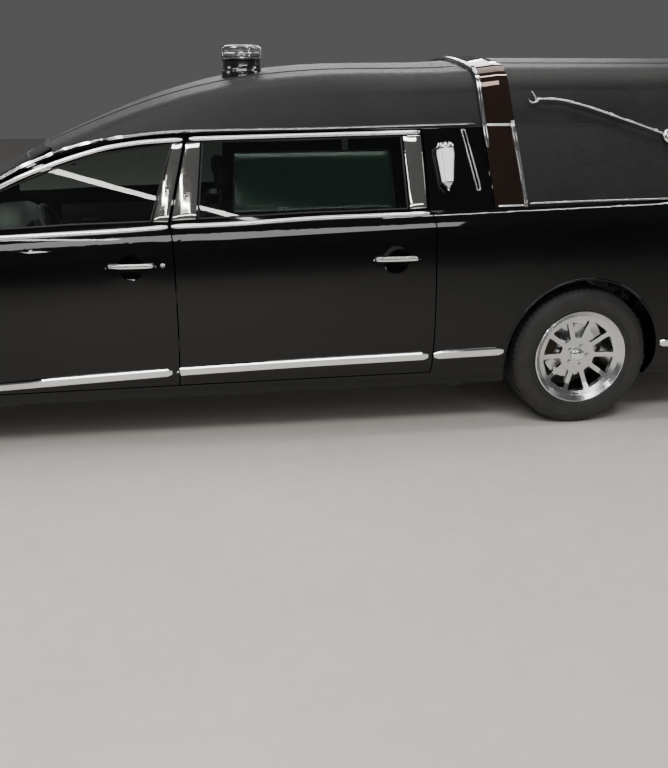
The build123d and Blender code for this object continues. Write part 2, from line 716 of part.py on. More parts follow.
# Polished band over the roof
(front_high, front_low), (rear_high, rear_low) = BAND_FRONT, BAND_REAR
slope = (front_high[0] - front_low[0]) / (front_high[1] - front_low[1])
over = (1900.0 - front_high[1]) * slope
band_slice = side_prism(front_low, (front_high[0] + over, 1900.0), (rear_high[0] + over, 1900.0), rear_low)
band_zone = box(rear_low[0] - 100, front_high[0] + 100, -OUT_Y, OUT_Y, front_low[1], 1452)
band_seat = box(BACK_X, ROOF_FLAT_X + SEAT_GAP, -OUT_Y, OUT_Y, 1000, 1452 + SEAT_GAP)
band = ((glasshouse(-BAND_PROUD) & band_zone) + roof_loft(-BAND_PROUD)) & band_slice
band = band - (glasshouse(-QUARTER_PROUD - SEAT_GAP) & band_seat)
band = band - (glasshouse(-SEAT_GAP) & box(BACK_X, 2000, -OUT_Y, OUT_Y, 900, 1452)) - roof_over - body_over
save("roof_band", solid_of(band, False))
print("roof done")

# Hood, cowl and fenders
hood_side = (HOOD_HALF_REAR - HOOD_HALF_FRONT) / (HOOD_FRONT_X - HOOD_REAR_X)


def hood_outline(grow=0.0):
    """Plan outline of the hood, moved out by grow."""
    rear, front = HOOD_REAR_X - grow, HOOD_FRONT_X + 200.0
    wide = HOOD_HALF_REAR + grow
    narrow = HOOD_HALF_FRONT - hood_side * 200.0 + grow
    return plan_prism((rear, -wide), (front, -narrow), (front, narrow), (rear, wide), z0=640.0)


front_shell = (body & nose) - body_inner
hood_zone = box(1000, AHEAD_X, -900, 900, HOOD_LOW_Z, 1200)
save("hood", solid_of(front_shell & hood_outline() & hood_zone, False))
cowl_room = box(1585, HOOD_REAR_X - SHUT_GAP, -734.7, 734.7, 800, 1200)
cowl_room = cowl_room + box(1585, DOOR_FRONT_X + 2.7, -764.0, 764.0, 800, 1200)
cowl = (body - body_inner) & cowl_room
for s in (-1, 1):
    pin_y = min(s * 130.0, s * 250.0)
    cowl = cowl + cylinder(
        (HOOD_REAR_X - SHUT_GAP / 2, pin_y, HOOD_HINGE_Z), (0, 1, 0), DOOR_HINGE_RADIUS, 120.0
    )
    cowl = cowl + box(
        HOOD_REAR_X - 12.0, HOOD_REAR_X - SHUT_GAP / 2, pin_y, pin_y + 120.0, HOOD_HINGE_Z - 6,
        HOOD_HINGE_Z - 1,
    )
save("cowl", solid_of(cowl, False))

fender = front_shell & box(DOOR_FRONT_X + SHUT_GAP / 2, LAMP_X, 0, OUT_Y, 0, 1200)
fender = fender - box(BUMPER_X, AHEAD_X, 0, OUT_Y, 0, BUMPER_TOP + TRIM_GAP) - hood_outline(SHUT_GAP)
fender = fender - box(1600, HOOD_REAR_X, 0, 735.0, 0, 1200)
fender = fender - box(1600, AHEAD_X, 0, 700, 0, HOOD_LOW_Z - 1)
liner = cylinder((FRONT_AXLE_X, APRON_Y - LINER, TYRE_RADIUS), (0, 1, 0), LINER_RADIUS + LINER, 460.0)
liner = liner - cylinder((FRONT_AXLE_X, APRON_Y, TYRE_RADIUS), (0, 1, 0), LINER_RADIUS, 460.0)
liner_zone = box(FRONT_AXLE_X - 680, FRONT_AXLE_X + 720, 400, OUT_Y, TYRE_RADIUS, 900)
liner = liner & body_loft(SKIN - 4.0) & liner_zone
liner = liner - box(FRONT_AXLE_X - 680, FRONT_AXLE_X + 720, 400, APRON_Y, 0, 430)
fender = (fender + liner) - front_arch
save("front_fender_left", solid_of(fender, False))
save("front_fender_right", mirrored(solid_of(fender, False)))

# Nose: bumper, grille and headlamps


def shield(grow=0.0):
    """The grille's outline from the front, moved out by grow."""
    foot, side, low = GRILLE_FOOT_HALF + grow, GRILLE_HALF + grow, GRILLE_LOW_Z - grow
    top = 775.0 + min(grow, 0.0) * 1.4
    corners = [(-foot, low), (foot, low), (side, BUMPER_TOP), (side, top), (-side, top), (-side, BUMPER_TOP)]
    return front_prism(*corners, x0=LAMP_X - 60.0)


def grille_face(inset=0.0):
    """Everything behind the grille's own leaning face, a little bowed in plan."""
    x = NOSE_X - inset
    lean = side_prism(
        (BACK_X, 200.0), (x - 12.0, 200.0), (x - 22.0, 560.0), (x - 118.0, 800.0), (BACK_X, 800.0)
    )
    bow = plan_prism(
        (x - 300, -600.0), (x - 46.0, -600.0), ((x + 8.0, 0.0), (x - 46.0, 600.0)), (x - 300, 600.0)
    )
    return lean & bow


front_end = box(LAMP_X + TRIM_GAP, AHEAD_X, -OUT_Y, OUT_Y, BUMPER_TOP + TRIM_GAP, 1200)


def hood_shadow(gap):
    """The room that the closed hood takes, with this gap under it and beside it."""
    room = hood_outline(gap) & box(1000, AHEAD_X, -900, 900, HOOD_LOW_Z - gap, 1200)
    return room - body_loft(SKIN + gap)


bumper = body & nose & box(BUMPER_X + TRIM_GAP, AHEAD_X, -OUT_Y, OUT_Y, 0, BUMPER_TOP)
hollow = body_loft(45.0) & nose_prism(60.0) & nose_profile(60.0)
bumper = bumper - (hollow & box(2000, AHEAD_X, -OUT_Y, OUT_Y, 0, BUMPER_TOP - 30))
intake_low, intake_high = INTAKE_Z
intake_half = (intake_high - intake_low) / 2
intake_z = intake_low + intake_half
intake = front_prism(
    (-INTAKE_HALF, intake_low),
    (INTAKE_HALF, intake_low),
    ((INTAKE_HALF + intake_half, intake_z), (INTAKE_HALF, intake_high)),
    (-INTAKE_HALF, intake_high),
    ((-INTAKE_HALF - intake_half, intake_z), (-INTAKE_HALF, intake_low)),
    x0=LAMP_X,
)
fog_y, fog_z, fog_radius = FOG_LAMP
for s in (-1, 1):
    intake = intake + cylinder((LAMP_X - 200, s * fog_y, fog_z), (1, 0, 0), fog_radius, 600.0)
bumper = bumper - front_arch - shield(TRIM_GAP) - intake
intake_bar = box(LAMP_X, AHEAD_X, -INTAKE_HALF - 40, INTAKE_HALF + 40, intake_z - 5, intake_z + 5)
bumper = bumper + ((intake_bar & body & nose_prism(14.0) & nose_profile(14.0)) - nose_prism(44.0))
save("front_bumper", solid_of(bumper, False))

grille_room = (body & grille_face() & shield()) - hood_shadow(SHUT_GAP)
frame_depth = grille_room - grille_face(GRILLE_DEPTH)
grille = frame_depth - shield(-GRILLE_FRAME)
bars = []
for i in range(GRILLE_UPRIGHTS):
    y = (i - (GRILLE_UPRIGHTS - 1) / 2) * 2 * GRILLE_HALF / (GRILLE_UPRIGHTS + 1)
    bars.append(box(LAMP_X, AHEAD_X, y - GRILLE_BAR / 2, y + GRILLE_BAR / 2, 300, 900))
for i in range(GRILLE_CROSSBARS):
    z = GRILLE_LOW_Z + (i + 1) * (760.0 - GRILLE_LOW_Z) / (GRILLE_CROSSBARS + 1)
    bars.append(box(LAMP_X, AHEAD_X, -GRILLE_HALF, GRILLE_HALF, z - GRILLE_BAR / 2, z + GRILLE_BAR / 2))
mesh = bars[0].fuse(*bars[1:])
mesh = (mesh & grille_face(14.0) & shield(-GRILLE_FRAME + 2.0) & grille_room) - grille_face(46.0)
save("grille", solid_of(grille + mesh, False))

lamp_side = box(2000, AHEAD_X, GRILLE_HALF + TRIM_GAP, OUT_Y, 0, 1200)
headlamp = (body & nose & front_end & lamp_side) - hood_shadow(SHUT_GAP)
hollow = body_loft(LAMP_SHELL) & nose_prism(LAMP_SHELL) & nose_profile(LAMP_SHELL)
hollow = hollow & box(LAMP_X, AHEAD_X, GRILLE_HALF + LAMP_SHELL, OUT_Y, BUMPER_TOP + LAMP_SHELL, 1200)
headlamp = headlamp - (hollow - hood_shadow(SHUT_GAP + LAMP_SHELL))
save("headlamps", both_sides(solid_of(headlamp, False)))
print("front done")

# Side doors with their glass and handles
strap_layer = body_loft(-HANDLE_OUT) - body_loft(HANDLE_STRAP - HANDLE_OUT)
foot_layer = body_loft(-HANDLE_OUT + 1.0) - body_loft(4.0)


def with_handle(door, x0, x1):
    """The door with a round finger cup and a strap handle over it, from x0 to x1."""
    low, high, tip = HANDLE_Z - HANDLE_HALF, HANDLE_Z + HANDLE_HALF, HANDLE_HALF * 0.6
    middle = (x0 + x1) / 2
    skin_y = HALF_WIDTH - CREASE_IN * 0.6
    cup = Solid.make_sphere(CUP_RADIUS).moved(Location((middle, skin_y + CUP_RADIUS - CUP_DEPTH, HANDLE_Z)))
    strap = side_prism(
        (x0 + tip, low),
        (x1 - tip, low),
        ((x1, HANDLE_Z), (x1 - tip, high)),
        (x0 + tip, high),
        ((x0, HANDLE_Z), (x0 + tip, low)),
        y0=0.0,
    )
    door = (door - cup) + (strap & strap_layer)
    for x in (x0 + 6, x1 - HANDLE_FOOT - 6):
        door = door + (box(x, x + HANDLE_FOOT, 0, OUT_Y, low + 5, high - 5) & foot_layer)
    return door


door_wall = (hull & door_outline()) - inside_doors() - slanted(REAR_SHUT_LINE, 0.0)
glass_slot = glasshouse(GLASS_INSET - SEAT_GAP) - glasshouse(GLASS_INSET + GLASS + SEAT_GAP)
glass_sheet = glasshouse(GLASS_INSET) - glasshouse(GLASS_INSET + GLASS)
left_half = box(BACK_X, AHEAD_X, 0, OUT_Y, 900, 1600)
doors = {
    "front_door": (door_wall - seam(SHUT_GAP / 2), FRONT_WINDOW),
    "rear_door": (door_wall & seam(-SHUT_GAP / 2), REAR_WINDOW),
}
for name, (door, opening) in doors.items():
    door = door - window(opening) - (glass_slot & window(opening, WINDOW_LAP + SEAT_GAP) & left_half)
    glass = glass_sheet & window(opening, WINDOW_LAP) & left_half
    door = with_handle(door, *HANDLE_SPANS[name])
    door = solid_of(door, False)
    save(f"{name}_left", door)
    save(f"{name}_right", mirrored(door))
    save(f"{name}_glass_left", solid_of(glass, False))
    save(f"{name}_glass_right", mirrored(solid_of(glass, False)))
print("doors done")

# Loading door in the tail
leaf = (tail & tail_opening()) - tail_prism(TAIL_DOOR_DEPTH)
leaf_window = grown_prism(TAIL_WINDOW, 0.0)
leaf_room = grown_prism(TAIL_WINDOW, WINDOW_LAP + SEAT_GAP)
leaf_glass = grown_prism(TAIL_WINDOW, WINDOW_LAP)
leaf_slot = tail_prism(GLASS_INSET - SEAT_GAP) - tail_prism(GLASS_INSET + GLASS + SEAT_GAP)
leaf_sheet = tail_prism(GLASS_INSET) - tail_prism(GLASS_INSET + GLASS)
leaf = leaf - leaf_window - (leaf_slot & leaf_room)
for z in TAIL_HINGE_HEIGHTS:
    leaf = leaf + tail_knuckle(z + TAIL_HINGE_PLAY, z + TAIL_HINGE_PLAY + TAIL_HINGE_LENGTH, -1)
save("loading_door", solid_of(leaf, False))
save("loading_door_glass", solid_of(leaf_sheet & leaf_glass, False))

# Rear bumper
rear_bumper = (body_loft(-8.0) & tail_prism(-50.0)) - (body_over & tail_prism(-SEAT_GAP))
rear_bumper = rear_bumper & box(BACK_X, TAIL_X + 418, -OUT_Y, OUT_Y, 300, BUMPER_TOP - 10)
save("rear_bumper", solid_of(rear_bumper, False))

# Floor with the firewall, the rails and the panel under the loading door
floor_end = tail_prism(TAIL_WALL)
floor_pan = box(KICK_X, DOOR_FRONT_X, -FLOOR_HALF, FLOOR_HALF, FLOOR_Z, FLOOR_Z + FLOOR)
floor_pan = floor_pan + box(KICK_X - FLOOR, KICK_X, -FLOOR_HALF, FLOOR_HALF, FLOOR_Z, REAR_FLOOR_Z + FLOOR)
rear_floor = box(BACK_X, KICK_X, -FLOOR_HALF, FLOOR_HALF, REAR_FLOOR_Z, REAR_FLOOR_Z + FLOOR) & floor_end
floor_pan = floor_pan + rear_floor
firewall = box(DOOR_FRONT_X, DOOR_FRONT_X + FIREWALL, -FLOOR_HALF, FLOOR_HALF, FLOOR_Z, 1100)
firewall = firewall & body_loft(SKIN + SEAT_GAP)
tunnel_x = KICK_X + 100.0
tunnel = side_prism(
    (tunnel_x, FLOOR_Z),
    (DOOR_FRONT_X, FLOOR_Z),
    (DOOR_FRONT_X, 520.0),
    (900.0, 430.0),
    (tunnel_x, 430.0),
    y0=-130.0,
    y1=130.0,
)
floor_pan = floor_pan + firewall + tunnel
floor_pan = floor_pan - side_prism(
    (KICK_X - 100.0, 200.0),
    (DOOR_FRONT_X + 60.0, 200.0),
    (DOOR_FRONT_X + 60.0, 495.0),
    (900.0, 405.0),
    (KICK_X - 100.0, 405.0),
    y0=-105.0,
    y1=105.0,
)
for s in (-1, 1):
    rail = box(DOOR_FRONT_X, FRONT_AXLE_X + 700, 405, APRON_Y - LINER - SEAT_GAP, 400, 490)
    side_rail = box(KICK_X + 150, DOOR_FRONT_X, 405, APRON_Y - LINER, FLOOR_Z - 45, FLOOR_Z)
    rear_rail = box(TAIL_X + 168, KICK_X - FLOOR, 480, 560, REAR_FLOOR_Z - 60, REAR_FLOOR_Z) & floor_end
    for piece in (rail, side_rail, rear_rail):
        floor_pan = floor_pan + (piece if s > 0 else mirrored(piece))
cross_panel = box(
    BACK_X, TAIL_DEPTH_X, -(TAIL_DOOR_HALF + 7.5), TAIL_DOOR_HALF + 7.5, FLOOR_Z, TAIL_DOOR_LOW - SHUT_GAP
)
floor_pan = floor_pan + ((cross_panel & tail) - floor_end)
wheel_wells = cylinder((REAR_AXLE_X, 624.5, TYRE_RADIUS), (0, 1, 0), ARCH_RADIUS + 15.5, 300.0)
floor_pan = floor_pan - wheel_wells - mirrored(wheel_wells)
save("floor_pan", solid_of(floor_pan, False))

# Load deck with its partition
deck_end = tail_prism(TAIL_WALL + 2.0)
deck = box(BACK_X, DECK_FRONT_X, -DECK_HALF, DECK_HALF, DECK_Z - DECK_BOARD, DECK_Z) & deck_end
for s in (-1, 1):
    y = s * (DECK_HALF - DECK_BOARD / 2)
    runner = box(TAIL_X + 168, KICK_X, y - 12.5, y + 12.5, REAR_FLOOR_Z + FLOOR + SEAT_GAP, DECK_Z - DECK_BOARD)
    deck = deck + (runner & deck_end)
    deck = deck + box(
        KICK_X, DECK_FRONT_X, y - 12.5, y + 12.5, FLOOR_Z + FLOOR + SEAT_GAP, DECK_Z - DECK_BOARD
    )
partition_x = DECK_FRONT_X - DECK_BOARD
deck_foot = FLOOR_Z + FLOOR + SEAT_GAP
deck = deck + box(partition_x, DECK_FRONT_X, -DECK_HALF, DECK_HALF, deck_foot, DECK_Z - DECK_BOARD)
deck = deck + box(partition_x, DECK_FRONT_X, -DECK_HALF, DECK_HALF, DECK_Z, DECK_Z + 260)
deck = deck - box(DECK_FRONT_X - 200, DECK_FRONT_X + 100, -131, 131, 0, 431)
for i in (-0.5, 0.5):
    for j in (-0.5, 0.5):
        hole = (BIER_CENTRE_X + i * BIER_SPACING_X, j * BIER_SPACING_Y, DECK_Z - 60.0)
        deck = deck - cylinder(hole, (0, 0, 1), BIER_HOLE_RADIUS, 100.0)
save("casket_deck", solid_of(deck, False))

# Front seats
seats = []
for s in (-1, 1):
    y = s * SEAT_Y
    seat_end, seat_face = y - 245.0, y + 245.0
    cushion = side_prism(
        (330.0, 328.3), (860.0, 328.3), (880.0, 470.0), ((860.0, 520.0), (800.0, 528.0)), (360.0, 500.0),
        y0=seat_end, y1=seat_face,
    )
    back = side_prism(
        (300.0, 440.0), (430.0, 470.0), ((330.0, 800.0), (272.0, 1070.0)),
        ((235.0, 1110.0), (180.0, 1080.0)), y0=y - 240, y1=y + 240,
    )
    rest = side_prism(
        (222.0, 1060.0), (240.0, 1060.0), (225.0, 1140.0), (205.0, 1140.0), y0=y - 60, y1=y + 60
    )
    head = side_prism(
        (170.0, 1135.0), (250.0, 1135.0), ((262.0, 1190.0), (235.0, 1255.0)),
        ((200.0, 1265.0), (170.0, 1240.0)), y0=y - 120, y1=y + 120,
    )
    seats.append(cushion + back + rest + head)
save("front_seats", Compound([s for seat in seats for s in seat.solids()]))

# Dashboard with the steering column
dash = side_prism(
    (DOOR_FRONT_X - SEAT_GAP, 640.0),
    (DOOR_FRONT_X - SEAT_GAP, 940.0),
    (1500.0, 965.0),
    ((1330.0, 975.0), (1240.0, 915.0)),
    ((1215.0, 840.0), (1260.0, 690.0)),
    y0=-FLOOR_HALF + 40.0,
    y1=FLOOR_HALF - 40.0,
)
dash = dash & body_loft(SKIN + 1.0)
column_start = Vector(*WHEEL_CENTRE) + Vector(*WHEEL_AXIS).normalized() * (32.0 + SEAT_GAP)
column = cylinder(column_start, WHEEL_AXIS, 26.0, 260.0)
dash = dash + column
save("dashboard", solid_of(dash, False))

# Steering wheel
plane = Plane(origin=WHEEL_CENTRE, z_dir=WHEEL_AXIS)
steering_wheel = Solid.make_torus(180.0, 15.0, plane) + Solid.make_cylinder(70.0, 44.0, plane.offset(-12.0))
for width, depth, x, y in ((14.0, 350.0, -7.0, -175.0), (175.0, 16.0, 0.0, -8.0)):
    bar = Solid.make_box(width, depth, 12.0)
    steering_wheel = steering_wheel + bar.moved(plane.location * Location((x, y, -4.0)))
save("steering_wheel", solid_of(steering_wheel, False))

# Engine and gearbox as plain blocks
engine = box(FRONT_AXLE_X - 230, FRONT_AXLE_X + 340, -250, 250, SUBFRAME_Z + SEAT_GAP, 740)
engine = engine + cylinder((1260.0, 0.0, 372.0), (1, 0, 0), 62.0, 760.0)
save("engine_block", solid_of(engine, False))

# Fuel tank and exhaust
save("fuel_tank", box(REAR_AXLE_X - 1200, REAR_AXLE_X - 650, -220, 450, 290, REAR_FLOOR_Z - SEAT_GAP))
pipe_end = TAIL_X + 33.0
exhaust = cylinder((pipe_end, EXHAUST_Y, EXHAUST_Z), (1, 0, 0), 28.0, 1850.0 - pipe_end)
exhaust = exhaust + cylinder((REAR_AXLE_X - 1250, EXHAUST_Y, EXHAUST_Z + 45), (1, 0, 0), 78.0, 520.0)
exhaust = exhaust + box(
    REAR_AXLE_X - 1000, REAR_AXLE_X - 980, EXHAUST_Y - 12, EXHAUST_Y + 12, 300, REAR_FLOOR_Z - SEAT_GAP
)
for x in (KICK_X + 400.0, 700.0):
    exhaust = exhaust + box(x, x + 20, EXHAUST_Y - 12, EXHAUST_Y + 12, EXHAUST_Z, FLOOR_Z - SEAT_GAP)
save("exhaust", solid_of(exhaust, False))

# Front suspension: cross member, lower arms, and upper arms hung from the struts
x = FRONT_AXLE_X
member = box(x - 100, x + 100, -470, 470, 240, SUBFRAME_Z)
lower_arm = plan_prism(
    (x - 95.0, 440.0), (x + 95.0, 440.0), (x + 28.0, STEER_AXIS_Y),
    ((x, STEER_AXIS_Y + 28.0), (x - 28.0, STEER_AXIS_Y)),
    z0=ARM_LOW_Z, z1=ARM_LOW_Z + ARM,
)
lower_arm = lower_arm - cylinder((x, STEER_AXIS_Y, 0), (0, 0, 1), PIN_RADIUS + PIN_GAP, 600.0)
hanger = box(x - 90, x + 90, 420, 470, ARM_LOW_Z, 240)
riser = box(x - 40, x + 40, 410, 470, SUBFRAME_Z, 400 - SEAT_GAP)
member = member + lower_arm + mirrored(lower_arm) + hanger + mirrored(hanger) + riser + mirrored(riser)
upper_arm = plan_prism(
    (x - 28.0, 575.0), (x + 28.0, 575.0), (x + 28.0, STEER_AXIS_Y),
    ((x, STEER_AXIS_Y + 28.0), (x - 28.0, STEER_AXIS_Y)),
    z0=ARM_HIGH_Z, z1=ARM_HIGH_Z + ARM,
)
upper_arm = upper_arm - cylinder((x, STEER_AXIS_Y, 0), (0, 0, 1), PIN_RADIUS + PIN_GAP, 600.0)
strut = cylinder((x, STRUT_Y, ARM_HIGH_Z), (0, 0, 1), 24.0, 400.0)
strut = strut + cylinder((x, STRUT_Y, 610.0), (0, 0, 1), 42.0, 250.0)
strut = strut & cylinder((x, 500.0, TYRE_RADIUS), (0, 1, 0), LINER_RADIUS - SEAT_GAP, 300.0)
strut = solid_of(upper_arm + strut, False)
save("front_suspension", Compound([*solid_of(member, False).solids(), *both_sides(strut).solids()]))

# Rear axle with its springs, arms and shaft
x = REAR_AXLE_X
axle = cylinder((x, -690.0, TYRE_RADIUS), (0, 1, 0), 42.0, 1380.0)
axle = axle + Solid.make_sphere(120.0).moved(Location((x, 0, TYRE_RADIUS)))
axle = axle + cylinder((x, -HUB_END, TYRE_RADIUS), (0, 1, 0), SPINDLE_RADIUS, 2 * HUB_END)
axle = axle + cylinder((x, 0, TYRE_RADIUS + 8), (1, 0, 0), 32.0, 1255.0 - x)
for s in (-1, 1):
    spring = cylinder(
        (x, s * 520.0, TYRE_RADIUS), (0, 0, 1), 46.0, REAR_FLOOR_Z - 60 - SEAT_GAP - TYRE_RADIUS
    )
    arm = box(x, KICK_X - FLOOR - SEAT_GAP, s * 520.0 - 18, s * 520.0 + 18, 318, 352)
    axle = axle + spring + arm
save("rear_axle", solid_of(axle, False))

# Knuckles
x = FRONT_AXLE_X
knuckle = cylinder((x, STEER_AXIS_Y, ARM_LOW_Z), (0, 0, 1), PIN_RADIUS, ARM_HIGH_Z + ARM - ARM_LOW_Z)
knuckle = knuckle + cylinder(
    (x, STEER_AXIS_Y, ARM_LOW_Z + ARM + 6), (0, 0, 1), 30.0, ARM_HIGH_Z - ARM_LOW_Z - ARM - 12
)
knuckle = knuckle + cylinder(
    (x, STEER_AXIS_Y, TYRE_RADIUS), (0, 1, 0), SPINDLE_RADIUS, HUB_END - STEER_AXIS_Y
)
save("knuckle_left", solid_of(knuckle, False))
save("knuckle_right", mirrored(solid_of(knuckle, False)))

# Wheels: profiles turned about the axle, radius against distance outboard of the wheel centre
TYRE_PROFILE = [
    (RIM_RADIUS + 0.5, -88.0),
    (RIM_RADIUS + 12.0, -104.0),
    ((TYRE_RADIUS - 62.0, -TYRE_WIDTH / 2), (TYRE_RADIUS - 15.0, -98.0)),
    ((TYRE_RADIUS - 4.0, -89.0), (TYRE_RADIUS - 1.0, -72.0)),
    ((TYRE_RADIUS, 0.0), (TYRE_RADIUS - 1.0, 72.0)),
    ((TYRE_RADIUS - 4.0, 89.0), (TYRE_RADIUS - 15.0, 98.0)),
    ((TYRE_RADIUS - 62.0, TYRE_WIDTH / 2), (RIM_RADIUS + 12.0, 104.0)),
    (RIM_RADIUS + 0.5, 88.0),
]
RIM_PROFILE = [
    (SPINDLE_RADIUS + PIN_GAP, -40.0),
    (140.0, -40.0),
    (140.0, -28.0),
    (66.0, -28.0),
    (66.0, 40.0),
    (150.0, 52.0),
    (202.0, 62.0),
    (196.0, -95.0),
    (232.0, -101.0),
    (232.0, -105.0),
    (RIM_RADIUS, -101.0 + 10.0),
    (RIM_RADIUS, 91.0),
    (232.0, 105.0),
    (226.0, 108.0),
    (205.0, 92.0),
    (150.0, 72.0),
    (66.0, 66.0),
    (SPINDLE_RADIUS + PIN_GAP, 66.0),
]


def turned(profile):
    """The profile turned a full circle about the Y axis."""
    face = outline(lambda r, a: (r, a, 0.0), profile[0], *profile[1:])
    return Solid.revolve(face, 360.0, Axis.Y)


tyre = turned(TYRE_PROFILE)
rim = turned(RIM_PROFILE)
spoke_pitch = 2 * pi / SPOKES
for i in range(SPOKES):
    corners = []
    for r, side in ((88.0, -1), (88.0, 1), (186.0, 1), (186.0, -1)):
        angle = (i + 0.5) * spoke_pitch + side * (spoke_pitch / 2 - SPOKE_WIDTH / 2 / r)
        corners.append((r * cos(angle), 20.0, r * sin(angle)))
    gap = Face(Wire.make_polygon(corners))
    gap = gap.fillet_2d(9.0, gap.vertices())
    rim = rim - Solid.extrude(gap, Vector(0, 110.0, 0))
rim = rim + cylinder((0, HUB_END - TRACK_HALF + 1.5, 0), (0, 1, 0), 36.0, 14.0)
for i in range(5):
    angle = 2 * pi * (i + 0.5) / 5
    rim = rim - cylinder((50.0 * cos(angle), 58.0, 50.0 * sin(angle)), (0, 1, 0), 9.0, 20.0)
rim = solid_of(rim, False)
for where, x in (("front", FRONT_AXLE_X), ("rear", REAR_AXLE_X)):
    place = Location((x, TRACK_HALF, TYRE_RADIUS))
    for name, shape in (("tyre", solid_of(tyre - rim, False)), ("rim", rim)):
        placed = shape.moved(place)
        save(f"{name}_{where}_left", placed)
        save(f"{name}_{where}_right", mirrored(placed))

# Mirrors on the front doors
mirror = side_prism(
    (1478.0, 1024.0), (1538.0, 1024.0), (1530.0, 1052.0), (1482.0, 1052.0), y0=840.0, y1=985.0
)
mirror = mirror - glasshouse(-SEAT_GAP) - body_over
mirror_rings = []
for x, share in MIRROR_SHELL:
    def at_ring(u, v, x=x, share=share):
        """The point of this ring, drawn smaller about the middle of the glass."""
        return x, 1022.0 + (u - 1022.0) * share, 1078.0 + (v - 1078.0) * share

    face = outline(
        at_ring,
        (948.0, 1022.0),
        (1076.0, 1030.0),
        ((1096.0, 1046.0), (1103.0, 1078.0)),
        ((1094.0, 1122.0), (1060.0, 1138.0)),
        (968.0, 1134.0),
        ((948.0, 1116.0), (940.0, 1090.0)),
    )
    mirror_rings.append(face.outer_wire())
head = Solid.make_loft(mirror_rings, ruled=True)
save("mirror_left", solid_of(mirror + head, False))
save("mirror_right", mirrored(solid_of(mirror + head, False)))

# Coach lamps: a tapering glass barrel under a leafed crown, on a stem from the panel
LANTERN_PROFILE = [
    (0.0, -40.0), (7.0, -36.0), (5.0, -28.0), (16.0, -20.0), (25.0, -8.0), (25.0, 0.0), (33.0, 150.0),
    (44.0, 166.0),
    (38.0, 178.0), (30.0, 172.0), (16.0, 186.0), (0.0, 190.0),
]
wall_lean = (GLASS_HIGH[0] - GLASS_LOW[0]) / (GLASS_HIGH[1] - GLASS_LOW[1])
lamp_wall_y = GLASS_LOW[0] + (LAMP_FOOT[1] - GLASS_LOW[1]) * wall_lean
lamp_lean = wall_lean * (LAMP_HEAD[1] - LAMP_FOOT[1])
lamp_axis = (LAMP_HEAD[0] - LAMP_FOOT[0], lamp_lean, LAMP_HEAD[1] - LAMP_FOOT[1])
lamp_base = (LAMP_FOOT[0], lamp_wall_y + LAMP_OUT + GLASS_SAG, LAMP_FOOT[1])
lantern_edges = Wire.make_polygon([(r, 0.0, h) for r, h in LANTERN_PROFILE])
lantern = Solid.revolve(Face(lantern_edges), 360.0, Axis.Z)
lantern = lantern.moved(Plane(origin=lamp_base, z_dir=lamp_axis).location)
stem = box(LAMP_FOOT[0] - 12, LAMP_FOOT[0] + 20, 600, lamp_base[1], 1255.0, 1295.0) & glasshouse(-LAMP_OUT)
lantern = (lantern + stem) - glasshouse(-SEAT_GAP)
save("coach_lamps", both_sides(solid_of(lantern, False)))

# Landau bars on the blind quarters: an S with a half turn about its middle boss


def landau_edge(w):
    """Half of the bar's edge in the side view, offset up by w: start, arc middle, arc end, boss."""
    (x0, z0), (x1, z1), (x2, z2), (x3, z3) = LANDAU_HALF
    first, second = (x1 + 0.18 * w, z1 + 0.98 * w), (x2 + 0.33 * w, z2 + 0.945 * w)
    return (x0, z0 + w), first, second, (x3 + 0.33 * w, z3 + 0.945 * w)


def about_boss(point):
    """The point half a turn away about the bar's boss."""
    cx, cz = LANDAU_HALF[-1]
    return 2 * cx - point[0], 2 * cz - point[1]


u0, u1, u2, u3 = landau_edge(LANDAU_WIDTH / 2)
d0, d1, d2, d3 = landau_edge(-LANDAU_WIDTH / 2)
half_bar = side_prism(u0, (u1, u2), u3, d3, d2, (d1, d0), y0=600.0)
v = [about_boss(p) for p in (u0, u1, u2, u3, d0, d1, d2, d3)]
other_bar = side_prism(v[0], (v[1], v[2]), v[3], v[7], v[6], (v[5], v[4]), y0=600.0)
bar_layer = glasshouse(-34.0) - glasshouse(-22.0)
bar = (half_bar + other_bar) & bar_layer
for (x, z), r in ((LANDAU_HALF[0], 34.0), (LANDAU_HALF[-1], 46.0), (about_boss(LANDAU_HALF[0]), 34.0)):
    post = cylinder((x, 600.0, z), (0, 1, 0), r, 400.0) & (glasshouse(-38.0) - glasshouse(-22.0))
    foot = cylinder((x, 600.0, z), (0, 1, 0), 14.0, 400.0) & glasshouse(-30.0)
    bar = bar + post + (foot - glasshouse(-QUARTER_PROUD - SEAT_GAP) - roof_over)
save("landau_bars", both_sides(solid_of(bar, False)))

# Beacon on the roof
beacon_x, beacon_y = BEACON_PLACE
drum_foot = 1620.0
drum = Solid.make_cone(
    BEACON_RADIUS + 8.0, BEACON_RADIUS - 4.0, BEACON_DRUM_TOP - drum_foot,
    Plane(origin=(beacon_x, beacon_y, drum_foot)),
)
lens = cylinder(
    (beacon_x, beacon_y, BEACON_DRUM_TOP), (0, 0, 1), BEACON_RADIUS + 4.0, BEACON_TOP - 6.0 - BEACON_DRUM_TOP
)
cap = cylinder((beacon_x, beacon_y, BEACON_TOP - 6.0), (0, 0, 1), BEACON_RADIUS - 8.0, 6.0)
beacon = drum + lens + cap
save("beacon", solid_of(beacon - roof_over, False))
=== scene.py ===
"""Looks of a funeral car: a stretched black sedan with a raised vinyl roof and a casket bay.

Metres. +X is the front, +Y the left side, +Z up. The car stands on the ground at z 0.
"""

from __future__ import annotations

import logging
import math
from collections.abc import Callable, Iterable, Sequence
from dataclasses import dataclass, field
from enum import Enum

import bmesh
import bpy
from mathutils import Matrix, Vector
from mathutils.bvhtree import BVHTree


